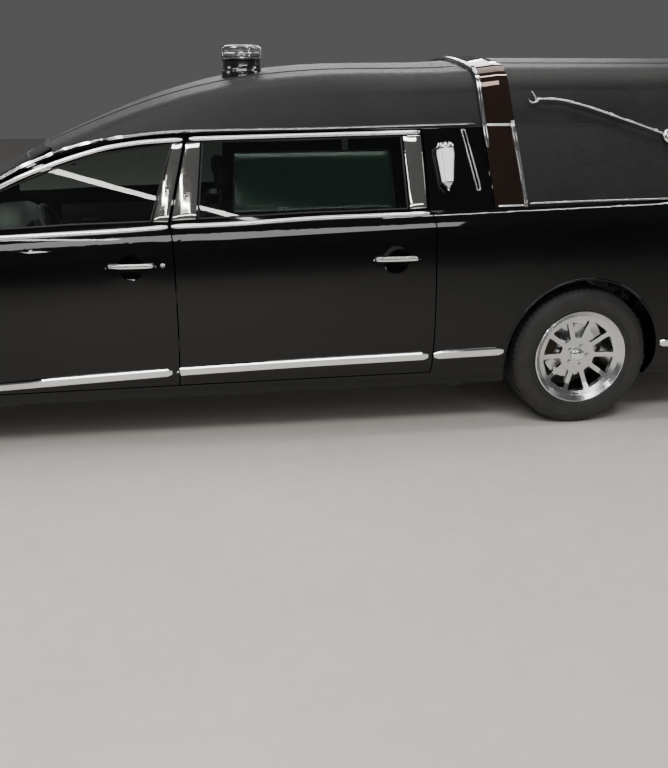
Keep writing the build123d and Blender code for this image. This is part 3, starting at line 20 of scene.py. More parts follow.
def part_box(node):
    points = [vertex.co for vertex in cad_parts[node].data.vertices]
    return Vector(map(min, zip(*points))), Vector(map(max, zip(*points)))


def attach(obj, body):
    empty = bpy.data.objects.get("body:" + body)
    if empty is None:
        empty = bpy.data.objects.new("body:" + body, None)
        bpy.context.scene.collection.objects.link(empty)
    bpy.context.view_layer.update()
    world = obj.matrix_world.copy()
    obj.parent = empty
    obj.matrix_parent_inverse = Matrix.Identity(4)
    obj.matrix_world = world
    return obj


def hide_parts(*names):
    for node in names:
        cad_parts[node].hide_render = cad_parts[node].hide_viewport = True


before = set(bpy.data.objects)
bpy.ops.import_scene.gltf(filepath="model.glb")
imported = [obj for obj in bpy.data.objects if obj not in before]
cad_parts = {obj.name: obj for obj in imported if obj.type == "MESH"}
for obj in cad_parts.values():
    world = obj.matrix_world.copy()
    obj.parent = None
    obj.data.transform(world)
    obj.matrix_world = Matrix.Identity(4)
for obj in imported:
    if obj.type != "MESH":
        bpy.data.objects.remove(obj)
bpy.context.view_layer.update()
LOG = logging.getLogger("funeral_car")

Colour = tuple[float, float, float]
Point2 = tuple[float, float]
Point3 = tuple[float, float, float]
Ripple = Callable[[float, float], float]
Socket = bpy.types.NodeSocket

AHEAD = Vector((1, 0, 0))
BEHIND = Vector((-1, 0, 0))
LEFTWARD = Vector((0, 1, 0))
RIGHTWARD = Vector((0, -1, 0))
UP = Vector((0, 0, 1))
DOWN = Vector((0, 0, -1))


def at(x: float, y: float, z: float) -> Vector:
    """A place or a direction in the car's frame."""
    return Vector((x, y, z))


class Graph:
    """A material's node tree, with short ways to add what the finishes share."""

    def __init__(self, name: str) -> None:
        """Start a material that has one Principled shader.

        Args:
            name: The material's name.
        """
        self.material = bpy.data.materials.new(name)
        self.material.use_nodes = True
        self.tree = self.material.node_tree
        self.shader = self.tree.nodes["Principled BSDF"]
        coordinates = self.tree.nodes.new("ShaderNodeTexCoord")
        self.place = coordinates.outputs["Object"]
        self.normal = coordinates.outputs["Normal"]

    def link(self, source: Socket, target: Socket) -> None:
        """Join two sockets."""
        self.tree.links.new(source, target)

    def feed(self, socket: Socket, value: object) -> None:
        """Put a number, colour or socket on an input socket."""
        if isinstance(value, Socket):
            self.link(value, socket)
        elif isinstance(value, tuple) and len(value) == 3 and socket.type == "RGBA":
            socket.default_value = (*value, 1.0)
        else:
            socket.default_value = value

    def stretched(self, scale: Point3) -> Socket:
        """The object's coordinates, scaled for each axis.

        Args:
            scale: The scale along each axis.

        Returns:
            The scaled coordinates.
        """
        node = self.tree.nodes.new("ShaderNodeMapping")
        node.inputs["Scale"].default_value = scale
        self.link(self.place, node.inputs["Vector"])
        return node.outputs["Vector"]

    def noise(
        self, scale: float, detail: float = 3.0, vector: Socket | None = None
    ) -> Socket:
        """Noise over the object, scale in turns a metre.

        Args:
            scale: The scale, in turns a metre.
            detail: How many finer layers are added.
            vector: Other coordinates than the object's.

        Returns:
            The noise, from 0 to 1.
        """
        node = self.tree.nodes.new("ShaderNodeTexNoise")
        node.inputs["Scale"].default_value = scale
        node.inputs["Detail"].default_value = detail
        self.link(vector or self.place, node.inputs["Vector"])
        return node.outputs["Fac"]

    def cells(self, scale: float, vector: Socket | None = None) -> Socket:
        """Distance to the nearest cell centre, scale in cells a metre.

        Args:
            scale: The scale, in cells a metre.
            vector: Other coordinates than the object's.

        Returns:
            The distance.
        """
        node = self.tree.nodes.new("ShaderNodeTexVoronoi")
        node.inputs["Scale"].default_value = scale
        self.link(vector or self.place, node.inputs["Vector"])
        return node.outputs["Distance"]

    def wave(self, scale: float, axis: str, distortion: float = 0.0) -> Socket:
        """Even ribs across one axis.

        Args:
            scale: The scale of the ribs.
            axis: The axis that they follow each other along.
            distortion: How far they wander.

        Returns:
            The height of the ribs, from 0 to 1.
        """
        node = self.tree.nodes.new("ShaderNodeTexWave")
        node.bands_direction = axis
        node.inputs["Scale"].default_value = scale
        node.inputs["Distortion"].default_value = distortion
        self.link(self.place, node.inputs["Vector"])
        return node.outputs["Fac"]

    def span(
        self, value: Socket, low: float, high: float, start: float = 0.3, end: float = 0.7
    ) -> Socket:
        """Map a value's start to end onto low to high.

        Args:
            value: The value to map.
            low: What start becomes.
            high: What end becomes.
            start: The value's lower mark.
            end: The value's upper mark.

        Returns:
            The mapped value.
        """
        node = self.tree.nodes.new("ShaderNodeMapRange")
        self.link(value, node.inputs["Value"])
        node.inputs["From Min"].default_value = start
        node.inputs["From Max"].default_value = end
        node.inputs["To Min"].default_value = low
        node.inputs["To Max"].default_value = high
        return node.outputs["Result"]

    def maths(self, kind: str, a: object, b: object = 0.5) -> Socket:
        """One sum on sockets or numbers.

        Args:
            kind: The node's operation.
            a: The first number or socket.
            b: The second one.

        Returns:
            The result.
        """
        node = self.tree.nodes.new("ShaderNodeMath")
        node.operation = kind
        self.feed(node.inputs[0], a)
        self.feed(node.inputs[1], b)
        return node.outputs["Value"]

    def mix(self, share: Socket, a: object, b: object) -> Socket:
        """Blend two colours by a share.

        Args:
            share: The second colour's share.
            a: The first colour.
            b: The second colour.

        Returns:
            The blend.
        """
        node = self.tree.nodes.new("ShaderNodeMix")
        node.data_type = "RGBA"
        self.link(share, node.inputs["Factor"])
        self.feed(node.inputs[6], a)
        self.feed(node.inputs[7], b)
        return node.outputs[2]

    def bump(
        self, height: Socket, distance: float, strength: float = 1.0,
        under: Socket | None = None,
    ) -> Socket:
        """A bump of this depth in metres, over another one if given.

        Args:
            height: The height, from 0 to 1.
            distance: How many metres a height of 1 stands for.
            strength: How strongly it counts.
            under: The bump that this one lies over.

        Returns:
            The bent normal.
        """
        node = self.tree.nodes.new("ShaderNodeBump")
        node.inputs["Strength"].default_value = strength
        node.inputs["Distance"].default_value = distance
        self.link(height, node.inputs["Height"])
        if under is not None:
            self.link(under, node.inputs["Normal"])
        return node.outputs["Normal"]


class Grain(Enum):
    """The fine surface that a finish has."""

    SMOOTH = "smooth"
    PEEL = "orange peel"
    VINYL = "pressed vinyl"
    HIDE = "leather"
    CAST = "cast or moulded"
    BRUSHED = "brushed"
    PILE = "carpet pile"
    FLUTES = "upright flutes"
    RIBS = "moulded ribs"


@dataclass(frozen=True)
class Finish:
    """One finish: its colours, gloss and grain."""

    name: str
    colour: Colour
    second: Colour
    patch_scale: float = 4.0
    roughness: tuple[float, float] = (0.3, 0.45)
    metallic: float = 0.0
    coat: float = 0.0
    coat_roughness: float = 0.03
    coat_ior: float = 1.5
    specular: float = 0.5
    grain: Grain = Grain.SMOOTH
    sheen: float = 0.0
    transmission: float = 0.0
    ior: float = 1.5
    glow: float = 0.0

    def surface(self, graph: Graph) -> Socket | None:
        """The bump of this finish's grain, or None where it has none.

        Args:
            graph: The material's node tree.

        Returns:
            The bent normal.
        """
        if self.grain is Grain.PEEL:
            return graph.bump(graph.noise(260.0, 2.0), 0.00008, 0.35)
        if self.grain is Grain.VINYL:
            coarse = graph.bump(graph.noise(26.0, 4.0, graph.stretched((1.0, 1.4, 2.2))), 0.0016, 0.5)
            pores = graph.bump(graph.cells(620.0), 0.0006, 0.65, coarse)
            return graph.bump(graph.noise(190.0, 4.0), 0.0008, 0.6, pores)
        if self.grain is Grain.HIDE:
            pores = graph.bump(graph.cells(420.0), 0.0005, 0.6)
            return graph.bump(graph.noise(30.0, 5.0), 0.002, 0.35, pores)
        if self.grain is Grain.CAST:
            return graph.bump(graph.noise(420.0, 5.0), 0.0005, 0.6)
        if self.grain is Grain.BRUSHED:
            return graph.bump(graph.noise(90.0, 4.0, graph.stretched((0.2, 3.0, 6.0))), 0.0002, 0.5)
        if self.grain is Grain.PILE:
            return graph.bump(graph.noise(700.0, 6.0), 0.003, 0.9)
        if self.grain is Grain.FLUTES:
            return graph.bump(graph.wave(40.0, "X"), 0.002, 0.6)
        if self.grain is Grain.RIBS:
            return graph.bump(graph.wave(28.0, "Z"), 0.003, 0.7)
        if self.transmission:
            return graph.bump(graph.noise(2.0, 1.0), 0.0002, 0.05)
        return graph.bump(graph.noise(7.0, 2.0), 0.0008, 0.25)

    def material(self) -> bpy.types.Material:
        """The finish's material, made once."""
        found = bpy.data.materials.get(self.name)
        if found:
            return found
        graph = Graph(self.name)
        shader = graph.shader.inputs
        patches = graph.noise(self.patch_scale, 6.0)
        fine = graph.noise(self.patch_scale * 14.0, 4.0)
        cloud = graph.maths("MULTIPLY_ADD", patches, 0.6)
        cloud.node.inputs[2].default_value = 0.0
        share = graph.span(
            graph.maths("ADD", cloud, graph.maths("MULTIPLY", fine, 0.4)), 0.0, 1.0, 0.34, 0.66
        )
        graph.link(graph.mix(share, self.colour, self.second), shader["Base Color"])
        graph.link(graph.span(fine, *self.roughness), shader["Roughness"])
        shader["Metallic"].default_value = self.metallic
        shader["Coat Weight"].default_value = self.coat
        shader["Coat Roughness"].default_value = self.coat_roughness
        shader["Coat IOR"].default_value = self.coat_ior
        shader["Specular IOR Level"].default_value = self.specular
        shader["Sheen Weight"].default_value = self.sheen
        shader["Transmission Weight"].default_value = self.transmission
        shader["IOR"].default_value = self.ior
        if self.glow:
            shader["Emission Color"].default_value = (*self.second, 1.0)
            shader["Emission Strength"].default_value = self.glow
        graph.link(self.surface(graph), shader["Normal"])
        return graph.material


PAINT = Finish(
    "black_lacquer", (0.0022, 0.0022, 0.0025), (0.0038, 0.0038, 0.0042), 1.3, (0.10, 0.17), coat=1.0,
    grain=Grain.PEEL, specular=0.0, coat_ior=1.42,
)
VINYL = Finish(
    "grained_vinyl", (0.0065, 0.0068, 0.0066), (0.0125, 0.0130, 0.0125), 3.0, (0.42, 0.56), grain=Grain.VINYL,
    sheen=0.04, specular=0.32,
)
CHROME = Finish("bright_chrome", (0.80, 0.81, 0.82), (0.88, 0.88, 0.88), 6.0, (0.03, 0.09), metallic=1.0)
PLATE = Finish("pillar_mirror", (0.70, 0.69, 0.66), (0.80, 0.78, 0.74), 5.0, (0.04, 0.10), metallic=1.0)
SMOKED = Finish(
    "smoked_mirror", (0.075, 0.045, 0.036), (0.11, 0.065, 0.05), 3.0, (0.03, 0.07), metallic=0.9, coat=0.6
)
TINT = Finish(
    "front_side_glass", (0.60, 0.66, 0.62), (0.62, 0.68, 0.64), 2.0, (0.0, 0.01), transmission=1.0, ior=1.45
)
DARK_TINT = Finish(
    "rear_side_glass", (0.44, 0.50, 0.465), (0.46, 0.52, 0.485), 2.0, (0.0, 0.01), transmission=1.0, ior=1.45
)
CLEAR = Finish(
    "screen_glass", (0.72, 0.80, 0.75), (0.75, 0.83, 0.78), 2.0, (0.0, 0.02), transmission=1.0, ior=1.45
)
LENS_CLEAR = Finish(
    "lamp_lens", (0.92, 0.94, 0.95), (0.96, 0.97, 0.98), 8.0, (0.01, 0.04), transmission=1.0, ior=1.45
)
LENS_RED = Finish(
    "red_lens", (0.42, 0.006, 0.008), (0.55, 0.012, 0.012), 9.0, (0.04, 0.10), coat=1.0, grain=Grain.RIBS
)
LENS_AMBER = Finish(
    "amber_lens", (0.80, 0.22, 0.01), (0.88, 0.30, 0.02), 9.0, (0.05, 0.12), coat=1.0, grain=Grain.RIBS
)
OPAL = Finish(
    "opal_lamp_glass", (0.86, 0.87, 0.88), (0.95, 0.95, 0.95), 12.0, (0.08, 0.16), coat=1.0, glow=0.55
)
BEACON_BLACK = Finish(
    "beacon_gloss", (0.006, 0.006, 0.007), (0.012, 0.012, 0.012), 9.0, (0.12, 0.22), coat=0.7,
    grain=Grain.PEEL,
)
GRILLE_DARK = Finish(
    "grille_dark", (0.010, 0.010, 0.011), (0.02, 0.02, 0.02), 9.0, (0.3, 0.45), grain=Grain.CAST
)
LEATHER = Finish(
    "seat_leather", (0.030, 0.029, 0.028), (0.045, 0.043, 0.040), 6.0, (0.36, 0.5), grain=Grain.HIDE,
    sheen=0.1,
)
TRIM_PLASTIC = Finish(
    "trim_plastic", (0.022, 0.022, 0.023), (0.032, 0.032, 0.033), 9.0, (0.45, 0.6), grain=Grain.CAST
)
CARPET = Finish(
    "floor_carpet", (0.018, 0.018, 0.019), (0.034, 0.033, 0.032), 20.0, (0.85, 0.95), grain=Grain.PILE,
    sheen=0.3,
)
HEADLINER = Finish(
    "headliner_cloth", (0.20, 0.195, 0.185), (0.25, 0.24, 0.23), 9.0, (0.85, 0.95), grain=Grain.PILE,
    sheen=0.2,
)
DECK = Finish(
    "deck_laminate", (0.10, 0.045, 0.022), (0.17, 0.085, 0.042), 5.0, (0.22, 0.34), coat=0.4,
    grain=Grain.BRUSHED,
)
UNDERCOAT = Finish(
    "undercoat", (0.018, 0.018, 0.018), (0.045, 0.042, 0.038), 7.0, (0.7, 0.9), grain=Grain.CAST
)
IRON = Finish(
    "cast_iron", (0.055, 0.050, 0.046), (0.11, 0.065, 0.042), 16.0, (0.55, 0.8), metallic=0.6,
    grain=Grain.CAST,
)
STEEL = Finish(
    "pipe_steel", (0.30, 0.28, 0.26), (0.42, 0.38, 0.33), 14.0, (0.3, 0.5), metallic=1.0, grain=Grain.BRUSHED
)
CAST_ALLOY = Finish(
    "engine_casting", (0.34, 0.34, 0.34), (0.46, 0.45, 0.44), 12.0, (0.4, 0.6), metallic=0.9, grain=Grain.CAST
)
ALLOY = Finish("polished_alloy", (0.62, 0.63, 0.64), (0.72, 0.72, 0.73), 9.0, (0.12, 0.24), metallic=1.0)
RUBBER = Finish(
    "tyre_rubber", (0.016, 0.016, 0.016), (0.030, 0.029, 0.028), 11.0, (0.6, 0.8), grain=Grain.CAST
)
SEAL = Finish("seal_rubber", (0.010, 0.010, 0.010), (0.018, 0.018, 0.018), 11.0, (0.5, 0.7), grain=Grain.CAST)
SIGN = Finish("blank_sign", (0.020, 0.052, 0.040), (0.028, 0.068, 0.052), 6.0, (0.12, 0.22), coat=0.5)
PLAIN_PLATE = Finish(
    "blank_number_plate", (0.62, 0.62, 0.60), (0.68, 0.68, 0.66), 9.0, (0.3, 0.45), grain=Grain.CAST
)
CONCRETE = Finish(
    "pale_floor", (0.60, 0.575, 0.525), (0.68, 0.655, 0.605), 0.9, (0.45, 0.62), grain=Grain.CAST
)

NODE_FINISH: dict[str, Finish] = {
    "roof": VINYL,
    "roof_band": SMOKED,
    "grille": CHROME,
    "headlamps": LENS_CLEAR,
    "windshield": CLEAR,
    "dashboard": TRIM_PLASTIC,
    "engine_block": CAST_ALLOY,
    "front_seats": LEATHER,
    "casket_deck": DECK,
    "landau_bars": CHROME,
    "coach_lamps": OPAL,
    "tail_lamps": LENS_RED,
    "fuel_tank": TRIM_PLASTIC,
    "exhaust": STEEL,
    "front_suspension": IRON,
    "rear_axle": IRON,
    "beacon": BEACON_BLACK,
    "floor_pan": UNDERCOAT,
    "steering_wheel": LEATHER,
}
NODE_FAMILY: dict[str, Finish] = {"tyre_": RUBBER, "rim_": ALLOY, "knuckle_": IRON}


def finish_of(node: str) -> Finish:
    """The finish that a carried-over CAD node has.

    Args:
        node: The node's name.

    Returns:
        Its finish; the black paint where nothing else fits.
    """
    if node in NODE_FINISH:
        return NODE_FINISH[node]
    if "glass" in node:
        return TINT if node.startswith("front") else DARK_TINT
    for prefix, finish in NODE_FAMILY.items():
        if node.startswith(prefix):
            return finish
    return PAINT


def dress_frame() -> None:
    """Give every CAD node its finish."""
    for name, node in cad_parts.items():
        for holder in node.material_slots:
            holder.material = finish_of(name).material()
    LOG.info("frame: %d nodes dressed", len(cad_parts))


class Side(Enum):
    """The side of the car that trim is laid on from."""

    LEFT = "left"
    FRONT = "front"
    BACK = "back"
    TOP = "top"


REACH = 4.5


def ray(side: Side, u: float, v: float) -> tuple[Vector, Vector]:
    """A ray onto the car.

    Args:
        side: Where the ray comes from.
        u: x from the left or top, y from the front or back.
        v: z, or y from the top.

    Returns:
        The ray's start and direction.
    """
    if side is Side.LEFT:
        return at(u, REACH, v), RIGHTWARD
    if side is Side.FRONT:
        return at(REACH, u, v), BEHIND
    if side is Side.BACK:
        return at(-REACH, u, v), AHEAD
    return at(u, v, REACH), DOWN


@dataclass
class Seat:
    """A place on a surface, with the way out of it."""

    point: Vector
    out: Vector


class Skin:
    """The outer surface of some CAD nodes, for laying trim on."""

    def __init__(self, *nodes: str) -> None:
        """Gather the nodes' faces into one search tree.

        Args:
            nodes: The CAD nodes' names.
        """
        points: list[Vector] = []
        faces: list[list[int]] = []
        for node in nodes:
            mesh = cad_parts[node].data
            base = len(points)
            points.extend(v.co.copy() for v in mesh.vertices)
            faces.extend([base + i for i in p.vertices] for p in mesh.polygons)
        self.tree = BVHTree.FromPolygons(points, faces)

    def cast(self, origin: Vector, direction: Vector) -> Seat | None:
        """Where a ray first meets the skin, or None.

        Args:
            origin: The ray's start.
            direction: The ray's direction.

        Returns:
            The seat, whose way out faces the ray.
        """
        point, out, _, _ = self.tree.ray_cast(origin, direction)
        if point is None:
            return None
        if out.dot(direction) > 0:
            out = -out
        return Seat(point, out)

    def seat(self, side: Side, u: float, v: float) -> Seat | None:
        """The seat under one ray from a side, or None."""
        return self.cast(*ray(side, u, v))

    def bead(
        self, side: Side, line: Sequence[Point2], profile: Sequence[Point2], jump: float = 0.006,
        closed: bool = False, taper: int = 2, lift: float = 0.0,
    ) -> Shape:
        """A section swept along a line on the skin.

        Args:
            side: Where the rays come from.
            line: The line's points, seen from that side.
            profile: The section, as (across, out).
            jump: How far a seat may lie from its neighbours' mean.
            closed: Whether the line runs back to its start.
            taper: Over how many steps the ends grow thinner.
            lift: How far the section is moved out of the skin.

        Returns:
            The closed strip.
        """
        return sweep(lifted(self.row(side, line, jump), lift), profile, closed, taper)

    def row(self, side: Side, places: Sequence[Point2], jump: float = 0.006) -> list[Seat]:
        """Seats along a line; one that falls in a gap takes its neighbours' depth.

        Args:
            side: Where the rays come from.
            places: The line's points, seen from that side.
            jump: How far a seat may lie from its neighbours' mean.

        Returns:
            One seat for each point.
        """
        found = [self.seat(side, u, v) for u, v in places]
        way = ray(side, 0, 0)[1]
        known = [i for i, seat in enumerate(found) if seat]
        if not known:
            raise ValueError(f"no skin from the {side.value} at {places[0]}")
        depth = [seat.point.dot(way) if seat else None for seat in found]
        result: list[Seat] = []
        for i, (u, v) in enumerate(places):
            near = sorted(known, key=lambda k: abs(k - i))[:5]
            middle = sorted(depth[k] for k in near)[len(near) // 2]
            seat = found[i]
            if seat is None or abs(depth[i] - middle) > jump * (1 + abs(near[-1] - i)):
                origin, _ = ray(side, u, v)
                out = found[near[0]].out
                seat = Seat(origin + way * (middle - origin.dot(way)), out)
            result.append(seat)
        smooth: list[Seat] = []
        for i, seat in enumerate(result):
            around = result[max(0, i - 2): i + 3]
            out = sum((s.out for s in around), Vector()).normalized()
            smooth.append(Seat(seat.point, out))
        return smooth

    def hoop(
        self, edge: Callable[[float], float], foot_z: float, centre_z: float = 1.15, count: int = 140
    ) -> list[Seat]:
        """Seats over the car from its left to its right.

        Args:
            edge: The line's x at a height.
            foot_z: The height of both ends.
            centre_z: The height that the rays aim at.
            count: How many steps.

        Returns:
            The seats in order.
        """
        below = math.atan2(centre_z - foot_z, 0.87)
        seats: list[Seat] = []
        for k in range(count + 1):
            angle = -below + (math.pi + 2 * below) * k / count
            away = at(0, math.cos(angle), math.sin(angle))
            z = 1.4
            seat = None
            for _ in range(4):
                seat = self.cast(at(edge(z), 0, centre_z) + away * 3.0, -away)
                if seat is None:
                    break
                z = seat.point.z
            if seat is not None:
                seats.append(seat)
        return seats


def curve_through(points: Sequence[Point2], step: float) -> list[Point2]:
    """Points about a step apart on a smooth line through the given ones.

    Args:
        points: The points that the line runs through.
        step: About how far apart the new points lie.

    Returns:
        The new points, with both ends.
    """
    padded = [points[0], *points, points[-1]]
    result: list[Point2] = []
    for a, b, c, d in zip(padded, padded[1:], padded[2:], padded[3:]):
        count = max(1, round(math.dist(b, c) / step))
        for k in range(count):
            t = k / count
            weights = (-t + 2 * t**2 - t**3, 2 - 5 * t**2 + 3 * t**3, t + 4 * t**2 - 3 * t**3, t**3 - t**2)
            result.append(tuple(sum(w * p[i] for w, p in zip(weights, (a, b, c, d))) / 2 for i in (0, 1)))
    result.append(points[-1])
    return result


def spread(low: float, high: float, steps: int) -> list[float]:
    """Even values from low to high, with both ends."""
    return [low + (high - low) * k / steps for k in range(steps + 1)]


def straight(a: Point2, b: Point2, steps: int) -> list[Point2]:
    """Even points from a to b."""
    return [(a[0] + (b[0] - a[0]) * k / steps, a[1] + (b[1] - a[1]) * k / steps) for k in range(steps + 1)]


def level(start: float, end: float, height: float, steps: int) -> list[Point2]:
    """Even points from start to end at one height."""
    return straight((start, height), (end, height), steps)


def loop_of(corners: Sequence[Point2], step: float) -> list[Point2]:
    """Even points round a closed polygon.

    Args:
        corners: The polygon's corners in order.
        step: About how far apart the points lie.

    Returns:
        The points, from the first corner on.
    """
    line: list[Point2] = []
    for a, b in zip(corners, [*corners[1:], corners[0]]):
        line += straight(a, b, max(2, round(math.dist(a, b) / step)))[:-1]
    return line


def squared(value: float, power: float) -> float:
    """A sine or cosine pushed toward a square's side, its sign kept."""
    return math.copysign(abs(value) ** power, value)


def box_loop(low: Point2, high: Point2, step: float) -> list[Point2]:
    """Even points round an upright rectangle."""
    return loop_of([low, (high[0], low[1]), high, (low[0], high[1])], step)


@dataclass
class Shape:
    """Points and faces of a piece that is being made."""

    points: list[Vector] = field(default_factory=list)
    faces: list[tuple[int, ...]] = field(default_factory=list)

    def add(self, points: Iterable[Vector], faces: Iterable[Sequence[int]]) -> None:
        """Add points, and faces that count from the first of them.

        Args:
            points: The new points.
            faces: The new faces, as counts from the first new point.
        """
        base = len(self.points)
        self.points.extend(Vector(p) for p in points)
        self.faces.extend(tuple(base + i for i in face) for face in faces)

    def join(self, other: Shape) -> Shape:
        """Add another shape to this one."""
        self.add(other.points, other.faces)
        return self

    def moved(self, matrix: Matrix) -> Shape:
        """A copy put through a matrix."""
        return Shape([matrix @ p for p in self.points], list(self.faces))

    def mirrored(self) -> Shape:
        """The shape on the other side of the car."""
        return Shape([at(p.x, -p.y, p.z) for p in self.points], [tuple(reversed(f)) for f in self.faces])


def tube_of(rings: Sequence[Sequence[Vector]], closed: bool = False) -> Shape:
    """Skin over closed rings of equal length; ends are capped unless the rings close on themselves.

    Args:
        rings: The rings in order.
        closed: Whether the last ring joins the first.

    Returns:
        The closed shape.
    """
    shape = Shape()
    size = len(rings[0])
    count = len(rings)
    faces: list[tuple[int, ...]] = []
    for i in range(count if closed else count - 1):
        a, b = i * size, (i + 1) % count * size
        faces.extend((a + j, a + (j + 1) % size, b + (j + 1) % size, b + j) for j in range(size))
    if not closed:
        faces.append(tuple(reversed(range(size))))
        faces.append(tuple((count - 1) * size + j for j in range(size)))
    shape.add([p for ring in rings for p in ring], faces)
    return shape


def sweep(seats: Sequence[Seat], profile: Sequence[Point2], closed: bool = False, taper: int = 2) -> Shape:
    """A section swept along seats: its u lies across the line on the skin, its v stands out of it.

    Args:
        seats: The line, with the way out of the skin at each place.
        profile: The section, as (across, out).
        closed: Whether the line runs back to its start.
        taper: Over how many steps the ends grow thinner; 0 for none.

    Returns:
        The closed strip.
    """
    rings: list[list[Vector]] = []
    count = len(seats)
    for i, seat in enumerate(seats):
        before = seats[i - 1] if i or closed else seat
        after = seats[(i + 1) % count] if i + 1 < count or closed else seat
        along = (after.point - before.point).normalized()
        across = seat.out.cross(along).normalized()
        out = along.cross(across)
        size = 1.0
        if not closed and taper:
            size = min(1.0, 0.55 + 0.45 * min(i, count - 1 - i) / taper)
        rings.append([
            seat.point + across * u * size + out * v * (size if v > 0 else 1.0) for u, v in profile
        ])
    return tube_of(rings, closed)


def half_round(width: float, height: float, sink: float = 0.0015, parts: int = 8) -> list[Point2]:
    """A half-round bead's section."""
    arc = [
        (-width / 2 * math.cos(math.pi * k / parts), height * math.sin(math.pi * k / parts))
        for k in range(parts + 1)
    ]
    return [(-width / 2, -sink), *arc, (width / 2, -sink)]


def double_bead(width: float, height: float, sink: float = 0.0015) -> list[Point2]:
    """Two beads side by side with a groove between them.

    Args:
        width: The width of both beads together.
        height: How far they stand out.
        sink: How far the underside lies in the skin.

    Returns:
        The section, as (across, out).
    """
    half = width / 2
    left = [
        (-half + half * (1 - math.cos(math.pi * k / 5)) / 2, height * math.sin(math.pi * k / 5))
        for k in range(6)
    ]
    right = [
        (half * (1 - math.cos(math.pi * k / 5)) / 2, height * math.sin(math.pi * k / 5)) for k in range(6)
    ]
    groove = height * 0.25
    shaped = [(u, max(v, groove)) if 0 < k < 11 else (u, v) for k, (u, v) in enumerate(left + right)]
    return [(-half, -sink), *shaped, (half, -sink)]


def flat_bar(width: float, height: float, bevel: float = 0.002, sink: float = 0.0015) -> list[Point2]:
    """A flat strip's section with bevelled edges."""
    half = width / 2
    return [
        (-half, -sink), (-half, height - bevel), (-half + bevel, height), (half - bevel, height),
        (half, height - bevel), (half, -sink),
    ]


def slab(grid: Sequence[Sequence[Seat]], height: float, bevel: float = 0.002, sink: float = 0.0015) -> Shape:
    """A thin closed plate over a grid of seats, with a bevelled rim.

    Args:
        grid: Rows of seats.
        height: How far the face stands out.
        bevel: How much lower the rim is.
        sink: How far the underside lies in the skin.

    Returns:
        The closed shape.
    """
    rows, columns = len(grid), len(grid[0])
    front: list[Vector] = []
    back: list[Vector] = []
    for i, row in enumerate(grid):
        for j, seat in enumerate(row):
            edge = i in (0, rows - 1) or j in (0, columns - 1)
            front.append(seat.point + seat.out * (height - (bevel if edge else 0.0)))
            back.append(seat.point - seat.out * sink)
    size = rows * columns
    faces: list[tuple[int, ...]] = []
    for i in range(rows - 1):
        for j in range(columns - 1):
            a = i * columns + j
            face = (a, a + 1, a + columns + 1, a + columns)
            faces.append(face)
            faces.append(tuple(size + k for k in reversed(face)))
    rim = list(range(columns))
    rim += [i * columns + columns - 1 for i in range(1, rows)]
    rim += [(rows - 1) * columns + j for j in range(columns - 2, -1, -1)]
    rim += [i * columns for i in range(rows - 2, 0, -1)]
    for a, b in zip(rim, rim[1:] + rim[:1]):
        faces.append((b, a, size + a, size + b))
    shape = Shape()
    shape.add(front + back, faces)
    return shape


def patch(
    skin: Skin, side: Side, corners: Sequence[Point2], rows: int, columns: int, inset: float = 0.004
) -> list[list[Seat]]:
    """A grid of seats between four corners, in order round the patch, with its outer cells narrow.

    Args:
        skin: What the patch lies on.
        side: Where the rays come from.
        corners: The four corners, in order round the patch.
        rows: How many rows lie between the narrow ones.
        columns: How many columns lie between the narrow ones.
        inset: How wide the outer cells are.

    Returns:
        The rows of seats.
    """
    def shares(count: int, length: float) -> list[float]:
        """Shares from 0 to 1 with a narrow first and last step."""
        edge = min(0.4, inset / max(length, 1e-6))
        return [0.0, *(edge + (1 - 2 * edge) * k / (count - 1) for k in range(count)), 1.0]

    a, b, c, d = corners
    grid: list[list[Seat]] = []
    for s in shares(rows, (math.dist(a, d) + math.dist(b, c)) / 2):
        left = tuple(a[k] + (d[k] - a[k]) * s for k in (0, 1))
        right = tuple(b[k] + (c[k] - b[k]) * s for k in (0, 1))
        line = [
            tuple(left[k] + (right[k] - left[k]) * t for k in (0, 1))
            for t in shares(columns, (math.dist(a, b) + math.dist(c, d)) / 2)
        ]
        grid.append(skin.row(side, line))
    return grid


def turned(
    profile: Sequence[Point2], centre: Vector, axis: Vector, parts: int = 48, ripple: Ripple | None = None
) -> Shape:
    """A profile of (radius, distance along the axis) turned about an axis.

    Args:
        profile: The closed or open outline; points on the axis have radius 0.
        centre: Where distance 0 is.
        axis: The axis's direction.
        parts: How many steps round.
        ripple: The radius's share at an angle and a distance along the axis.

    Returns:
        The turned shape.
    """
    place = Matrix.Translation(centre) @ axis.to_track_quat("Z", "Y").to_matrix().to_4x4()
    points: list[Vector] = []
    for k in range(parts):
        angle = 2 * math.pi * k / parts
        for r, h in profile:
            reach = r * ripple(angle, h) if ripple else r
            points.append(place @ at(reach * math.cos(angle), reach * math.sin(angle), h))
    size = len(profile)
    faces: list[tuple[int, ...]] = []
    for k in range(parts):
        a, b = k * size, (k + 1) % parts * size
        faces.extend((a + j, b + j, b + j + 1, a + j + 1) for j in range(size - 1))
    shape = Shape()
    shape.add(points, faces)
    return shape


def boss(profile: Sequence[Point2], seat: Seat, parts: int = 48, ripple: Ripple | None = None) -> Shape:
    """A turned fitting that stands on a seat.

    Args:
        profile: The outline, as (radius, height over the seat).
        seat: Where it stands and which way it points.
        parts: How many steps round.
        ripple: The radius's share at an angle and a height.

    Returns:
        The turned shape.
    """
    return turned(profile, seat.point, seat.out, parts, ripple)


